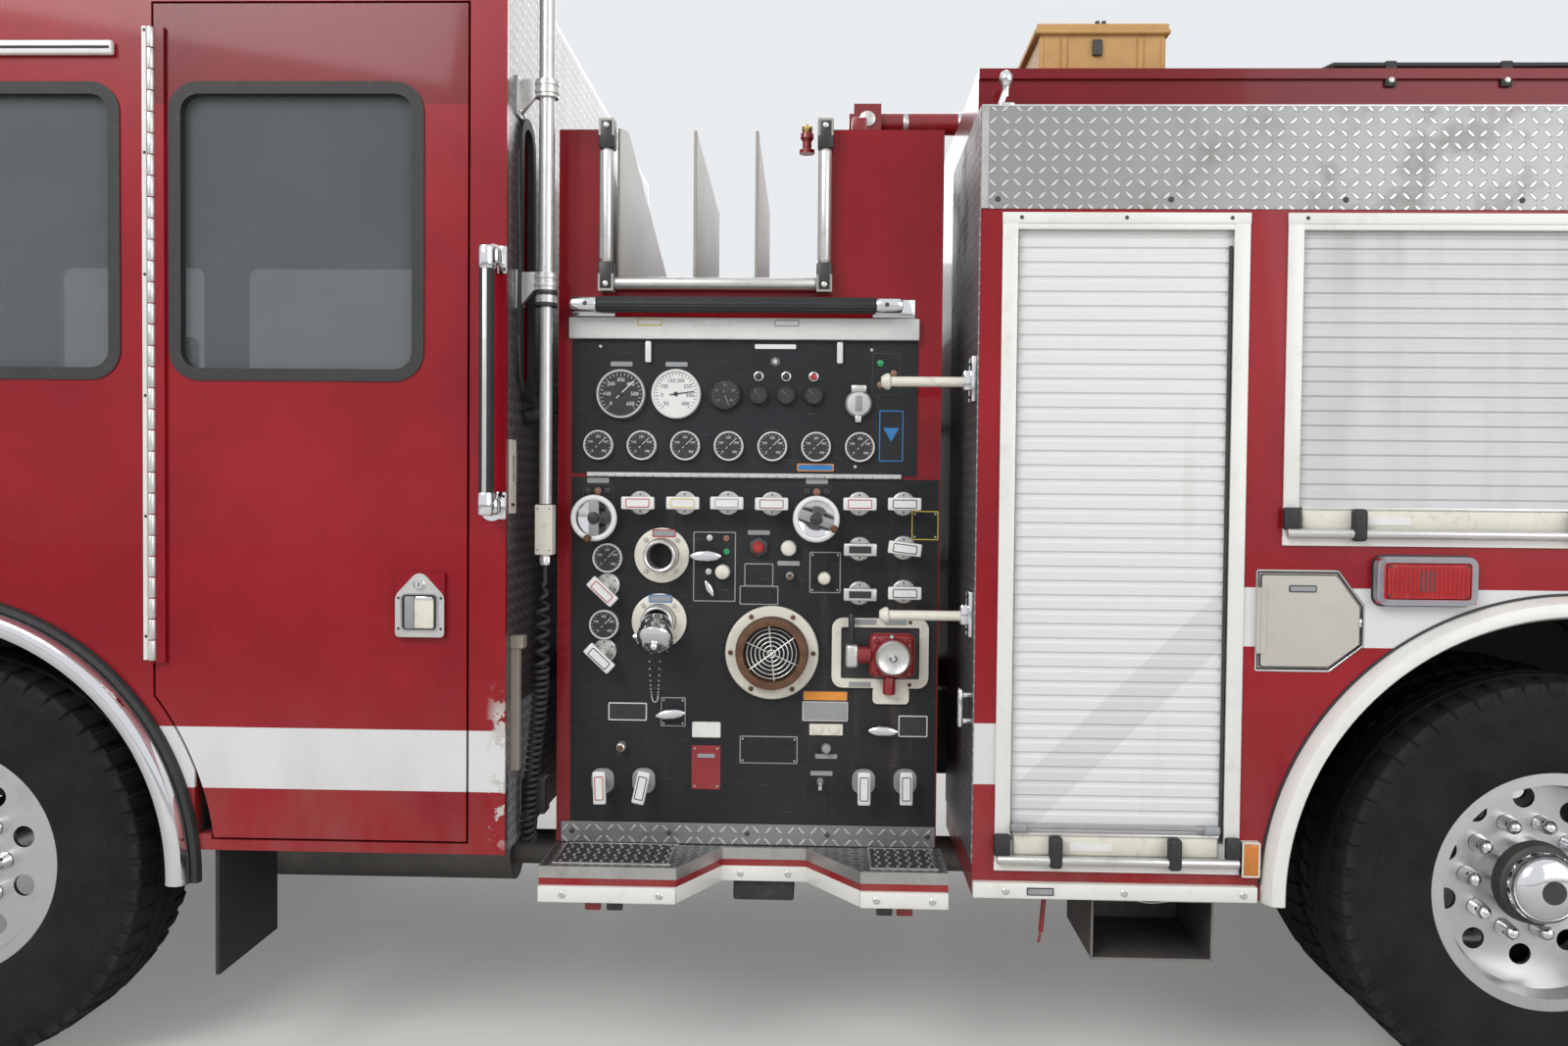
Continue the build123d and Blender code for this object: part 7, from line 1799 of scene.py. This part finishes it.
for i in range(18):
    y = -0.357 + 0.042 * i
    tray.append(block(RUBBER, (-4.036, -3.734), (y - 0.012, y + 0.012), (0.578, 0.590), 0.003, 2))
for x in (-4.02, -3.75):
    tray.append(block(RUBBER, (x - 0.008, x + 0.008), (-0.370, 0.370), (0.5765, 0.582), 0.002, 1))
joined("bumper_trim", bumper_parts + twins + tray, "chassis", "tread_plate")

# light bar: base, lenses and feet
lightbar = [block(BLACK, (-3.351, -3.059), (-0.896, 0.896), (2.941, 2.966), 0.008, 3)]
for i in range(8):
    y = -0.8945 + i * 0.22365
    lens = LENS if i in (3, 4) else RED_LENS
    lightbar.append(block(lens, (-3.3535, -3.0565), (y, y + 0.2215), (2.963, 3.0585), 0.026, 4))
    rib = block(lens, (-3.3560, -3.3500), (y + 0.024, y + 0.030), (2.985, 3.034), 0.001, 1)
    lightbar += [copied(rib, (x, 0.0275 * k, 0)) for k in range(7) for x in (0, 0.2955)]
    discard(rib)
for y in (-0.64, 0.64):
    lightbar += [
        block(SATIN, (-3.292, -3.118), (y - 0.039, y + 0.039), (2.9005, 2.944), 0.008, 3),
        block(SATIN, (-3.330, -3.080), (y - 0.030, y + 0.030), (2.8995, 2.906), 0.003, 2)]
joined("light_bar_lenses", lightbar, "cab", "lamp_plastic", "light_bar")

# mirrors: rims, flat glass and a round-backed wide-angle glass below it
MIRROR_GLASS = plain("mirror_glass", (0.50, 0.53, 0.56), 0.04, 0.05, metallic=1.0, dirt_share=0.05)
mirror_parts = [
    facing(ring_plate(BLACK, (-1.503, -1.337), (1.837, 2.293), (-0.008, 0.030), 0.030,
        0.011, 5), "rear", -3.5560)]
mirror_parts += [facing(piece, "rear", -3.5555) for piece in (
    panel_plate(MIRROR_GLASS, (-1.490, -1.350), (1.990, 2.282), (-0.0040, 0.0), 0.016, 4),
    panel_plate(BLACK, (-1.492, -1.348), (1.976, 1.988), (-0.0060, 0.0), 0.002, 2),
    panel_plate(MIRROR_GLASS, (-1.490, -1.350), (1.850, 1.974), (-0.0045, 0.0), 0.016, 4))]
for z in (1.800, 2.330):
    mirror_parts += [
        bar(CHROME, (-3.595, -1.420, z - 0.026), (-3.595, -1.420, z + 0.026), 0.021, 20, 0.004),
        bar(CHROME, (-3.505, -1.262, z), (-3.505, -1.250, z), 0.034, 24, 0.004)]
both_sides("mirror_glasses", mirror_parts, "cab", "chrome")

# rear: tread plate skirt, shutter frame, lamps and grab bars
PLATE_BACK = tread_plate("tread_plate_back", "y", "z", 0.32)
back = [
    block(PLATE_BACK, (BACK - 0.002, BACK + 0.003), (-1.246, 1.246), (0.562, 0.934)),
    facing(ring_plate(FENDER_PAINT, (-0.492, 0.492), (0.938, 1.902), (-0.008, 0.0), 0.012,
        0.025, 3), "rear", BACK),
    bar(SATIN, (BACK + 0.018, -0.474, 0.976), (BACK + 0.018, 0.474, 0.976), 0.0115, 20, 0.002),
    bar(LABEL_GREY, (BACK + 0.004, -0.44, 1.050), (BACK + 0.004, 0.44, 1.050), 0.0055, 12, 0.001),
    block(CREAM, (BACK - 0.010, BACK + 0.003), (-0.44, 0.44), (0.982, 1.034), 0.005, 2)]
for y in (-0.472, -0.20, 0.20, 0.472):
    back.append(block(RUBBER, (BACK + 0.002, BACK + 0.034), (y - 0.016, y + 0.016),
        (0.958, 1.036), 0.008, 3))
for y in (-0.46, 0.0, 0.46):
    back.append(facing(turned(CAST, PIN, (y, -0.008, 1.889), sides=12), "rear", BACK))
for i in range(7):
    for z in (0.590, 0.912):
        back.append(facing(turned(SATIN, DOME, (-1.17 + 0.39 * i, -0.001, z), sides=12), "rear", BACK))
back += [
    block(PLATE_TOP, (BACK + 0.002, 4.192), (-1.246, 1.246), (0.5590, 0.5625), 0.001, 1),
    block(RED, (4.1945, 4.1965), (-1.246, 1.246), (0.505, 0.545), 0.0005, 1)]
for y in (-0.9, 0.0, 0.9):
    back.append(facing(block(RED_LENS, (y - 0.06, y + 0.06), (-0.014, 0.0), (0.488, 0.524),
        0.005, 3), "rear", 4.195))
joined("rear_trim", back, "chassis", "tread_plate")
tail_lamps = []
for z, lens in ((1.250, LENS), (1.400, AMBER_LENS), (1.550, RED_LENS),
        (2.000, RED_LENS), (2.250, RED_LENS)):
    tail_lamps += [facing(piece, "rear", BACK) for piece in (
        ring_plate(CHROME, (1.020, 1.190), (z - 0.010, z + 0.130), (-0.037, 0.0), 0.016, 0.012, 4),
        block(lens, (1.0305, 1.1795), (-0.0385, -0.010), (z + 0.0005, z + 0.1195), 0.007, 3))]
    rib = facing(block(lens, (1.0425, 1.0460), (-0.0402, -0.03), (z + 0.012, z + 0.108),
        0.001, 1), "rear", BACK)
    tail_lamps += [copied(rib, (0, 0.0150 * k, 0)) for k in range(9)]
    discard(rib)
    for a in (1.026, 1.184):
        tail_lamps.append(facing(turned(CAST, [(0, 0.003), (0.0015, 0.0025)], (a, -0.037, z + 0.060),
            sides=8), "rear", BACK))
# Grab bars beside the rear shutter
tail_lamps.append(bar(RUBBER, (BACK + 0.062, 0.780, 1.110),
    (BACK + 0.062, 0.780, 1.750), 0.0185, 24, 0.002))
for z, up in ((1.060, 1), (1.800, -1)):
    tail_lamps += [
        bar(CHROME, (BACK + 0.062, 0.780, z), (BACK + 0.062, 0.780, z + up * 0.056), 0.0215, 24, 0.006),
        block(CHROME, (BACK, BACK + 0.062), (0.765, 0.795), (z, z + up * 0.042), 0.010, 3),
        block(CHROME, (BACK, BACK + 0.005), (0.745, 0.815), (z, z + up * 0.050), 0.002, 2)]
# Back corner of the locker band, in tread plate
tail_lamps.append(block(PLATE_BACK, (BACK - 0.001, BACK + 0.003), (1.190, 1.246),
    (0.934, 2.4515), 0.001, 1))
both_sides("tail_lamps", tail_lamps, "chassis", "lamp_plastic")

# top of the lockers
top_plates = [block(PLATE_TOP, (fx(2636), BACK - 0.004), (-1.247, -1.184), (2.4505, 2.4530))]
for i in range(10):
    top_plates.append(turned(SATIN, CAP_SCREW, (fx(2700 + i * 358), -1.215, 2.4525), "up", 10))
both_sides("locker_top_plates", top_plates, "chassis", "tread_plate")


# hose bed cover
COVER_X = (fx(3500), BACK)
FLAP_DROP = 0.30


def hose_cover():
    """Vinyl stretched over the bed's bows, with a flap that hangs behind."""
    clear()
    bpy.ops.mesh.primitive_grid_add(x_subdivisions=110, y_subdivisions=64, size=1)
    piece = bpy.context.object
    length = COVER_X[1] - COVER_X[0]
    for vertex in piece.data.vertices:
        along = (vertex.co.x + 0.5) * (length + FLAP_DROP)
        y = vertex.co.y * 2.338
        flat = (2 * abs(vertex.co.y)) ** 2
        rise = 0.116 * (1 - flat)
        sag = 0.010 * math.sin(math.pi * along / 0.6230) ** 2 * (1 - flat ** 3)
        if along <= length:
            vertex.co = (COVER_X[0] + along, y, 2.5745 + rise - sag)
        else:
            down = along - length
            wave = 0.007 * math.sin(7.3 * y + 0.6) * down / FLAP_DROP
            vertex.co = (COVER_X[1] + 0.010 + wave + 0.010 * math.sin(math.pi * down / FLAP_DROP),
                y, 2.5745 + rise - down)
    return settle(piece, VINYL)


cover = hose_cover()
select(cover)
bpy.ops.object.shade_smooth_by_angle(angle=math.radians(60))
cover.name = cover.data.name = "hose_bed_cover_sheet"
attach(cover, "chassis")
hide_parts("hose_bed_cover")
COVER_X[1] - COVER_X[0] + FLAP_DROP
# Piping along the cover's edges, hold-down strips and snaps
edging = []
for y in (-1.169, 1.169):
    edging.append(bar(VINYL, (COVER_X[0], y, 2.575), (COVER_X[1], y, 2.575), 0.0065, 12, 0.002))
    for i in range(9):
        x = COVER_X[0] + 0.14 + 0.28 * i
        edging += [
            block(RUBBER, (x - 0.014, x + 0.014), (y, y * 1.009), (2.520, 2.583), 0.003, 2),
            turned(SATIN, [(0, 0.0075), (0.003, 0.007), (0.0045, 0.004)],
                (x, -1.1795 if y < 0 else 1.1795, 2.535), "out" if y < 0 else "in", 12)]
for a, b in ((-1.165, -0.60), (-0.60, 0.0), (0.0, 0.60), (0.60, 1.165)):
    rise = [2.5775 + 0.116 * (1 - (v / 1.169) ** 2) for v in (a, b)]
    edging.append(bar(VINYL, (COVER_X[0] + 0.004, a, rise[0] - 0.002),
        (COVER_X[0] + 0.004, b, rise[1] - 0.002), 0.006, 10, 0.002))
joined("cover_edging", edging, "chassis", "vinyl")

# inside the cab: seats, dashboard and steering wheel
SEAT_TRIM = plain("seat_piping", (0.030, 0.030, 0.034), 0.6, 0.2)


def stuffed(piece, cap):
    """Swells a pad as sewn cloth under pressure, with no point moved further than cap."""
    select(piece)
    remesh = piece.modifiers.new("skin", "REMESH")
    remesh.mode = "VOXEL"
    remesh.voxel_size = 0.011
    bpy.ops.object.modifier_apply(modifier="skin")
    before = [vertex.co.copy() for vertex in piece.data.vertices]
    cloth = piece.modifiers.new("cloth", "CLOTH")
    cloth.settings.use_pressure = True
    cloth.settings.uniform_pressure_force = 4.0
    cloth.settings.effector_weights.gravity = 0.0
    for step in range(1, 21):
        bpy.context.scene.frame_set(step)
    bpy.ops.object.modifier_apply(modifier="cloth")
    bpy.context.scene.frame_set(1)
    for vertex, start in zip(piece.data.vertices, before):
        move = vertex.co - start
        if move.length > cap:
            vertex.co = start + move * (cap / move.length)
    return piece


def sewn(piece, lines, deep, across):
    """Presses sewn channels, straight lines at the given distances across, into a pad."""
    for vertex in piece.data.vertices:
        away = min(abs(vertex.co[across] - line) for line in lines)
        press = deep * math.exp(-(away / 0.010) ** 2)
        vertex.co -= vertex.normal * press
    return piece


cushion = stuffed(block(SEAT, (-0.418, -0.012), (-0.228, 0.228), (1.302, 1.388), 0.028, 3), 0.016)
cushion = sewn(cushion, (-0.14, 0.14), 0.010, 1)
backrest = stuffed(block(SEAT, (0.012, 0.098), (-0.228, 0.228), (1.342, 1.925), 0.028, 3), 0.016)
backrest = sewn(backrest, (-0.14, 0.14), 0.010, 1)
headrest = stuffed(block(SEAT, (0.016, 0.094), (-0.150, 0.150), (1.952, 2.138), 0.030, 3), 0.012)
for count, (x, y) in enumerate([(-2.675, -0.815), (-2.675, 0.815), (-0.897, -0.860), (-0.897, 0.860),
        (-0.897, -0.300), (-0.897, 0.300)], 1):
    for kind, pad in (("cushion", cushion), ("backrest", backrest), ("headrest", headrest)):
        own = copied(pad, (x, y, 0))
        select(own)
        bpy.ops.object.shade_smooth()
        own.name = own.data.name = f"seat_{kind}_{count}"
        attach(own, "cab")
        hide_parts("seats")
    frame_parts = [block(BLACK, (x - 0.358, x - 0.042), (y - 0.168, y + 0.168), (1.0015, 1.240), 0.012, 2),
        block(SEAT_TRIM, (x - 0.400, x + 0.020), (y - 0.215, y + 0.215), (1.238, 1.304), 0.018, 3),
        block(SEAT_TRIM, (x + 0.078, x + 0.108), (y - 0.222, y + 0.222), (1.300, 1.940), 0.012, 3),
        bar(CHROME, (x + 0.055, y - 0.07, 1.900), (x + 0.055, y - 0.07, 1.975), 0.007, 12, 0.001),
        bar(CHROME, (x + 0.055, y + 0.07, 1.900), (x + 0.055, y + 0.07, 1.975), 0.007, 12, 0.001),
        bar(BLACK, (x - 0.30, y - 0.225, 1.262), (x - 0.02, y - 0.225, 1.262), 0.012, 14, 0.003),
        block(LABEL_RED, (x - 0.075, x - 0.035), (y + 0.222, y + 0.240), (1.330, 1.395), 0.006, 2)]
    joined(f"seat_frame_{count}", frame_parts, "cab", "seat_fabric")
discard(cushion, backrest, headrest)

dash = [
    block(BLACK, (-3.430, -3.255), (-1.030, -0.530), (1.535, 1.655), 0.026, 4),
    block(BLACK, (-3.440, -3.258), (-0.420, 0.420), (1.520, 1.625), 0.022, 3)]
for k, y in enumerate((-0.96, -0.87, -0.70, -0.61)):
    ring = turned(SATIN, [(0, 0.036), (0.004, 0.036), (0.006, 0.032), (0.003, 0.031)],
        (y, 0, 1.590), sides=28)
    face = turned(BLACK, [(0.002, 0.031), (0.0035, 0.030)], (y, 0, 1.590), sides=28)
    hand = block(WHITE, (y - 0.0015, y + 0.0015), (-0.005, -0.003), (1.590, 1.614))
    dash += [facing(piece, "rear", -3.256) for piece in (ring, face,
        leaned(hand, 0.5 * k, (y, 0, 1.590)))]
for y in (-0.785, 0.0):
    dash.append(facing(panel_plate(LABEL_GREY, (y - 0.05, y + 0.05), (1.560, 1.615), (-0.003, 0.0),
        0.006, 3), "rear", -3.257))
for i in range(8):
    y = -0.36 + 0.09 * i
    dash.append(facing(block(WHITE if i % 3 else LABEL_RED, (y - 0.012, y + 0.012), (-0.009, 0.0),
        (1.530, 1.556), 0.003, 2), "rear", -3.259))
for y in (0.55, 0.95):
    for i in range(6):
        dash.append(block(TRIM, (-3.268, -3.259), (y - 0.09, y + 0.09),
            (1.400 + 0.014 * i, 1.408 + 0.014 * i), 0.002, 1))
dash.append(block(TRIM, (-3.2680, -3.2560), (0.52, 1.00), (1.190, 1.370), 0.008, 3))
WHEEL = Vector((-3.075, -0.780, 1.560))
dash.append(hoop(RUBBER, 0.225, 0.0175, (64, 16), WHEEL, (0, math.atan2(0.55, 0.83), 0)))
axis = Vector((0.55, 0, 0.83)).normalized()
dash += [
    bar(BLACK, WHEEL - axis * 0.036, WHEEL + axis * 0.008, 0.062, 32, 0.008),
    bar(SATIN, WHEEL + axis * 0.006, WHEEL + axis * 0.012, 0.030, 24, 0.002)]
joined("dash_and_wheel_trim", dash, "cab", "trim_plastic")
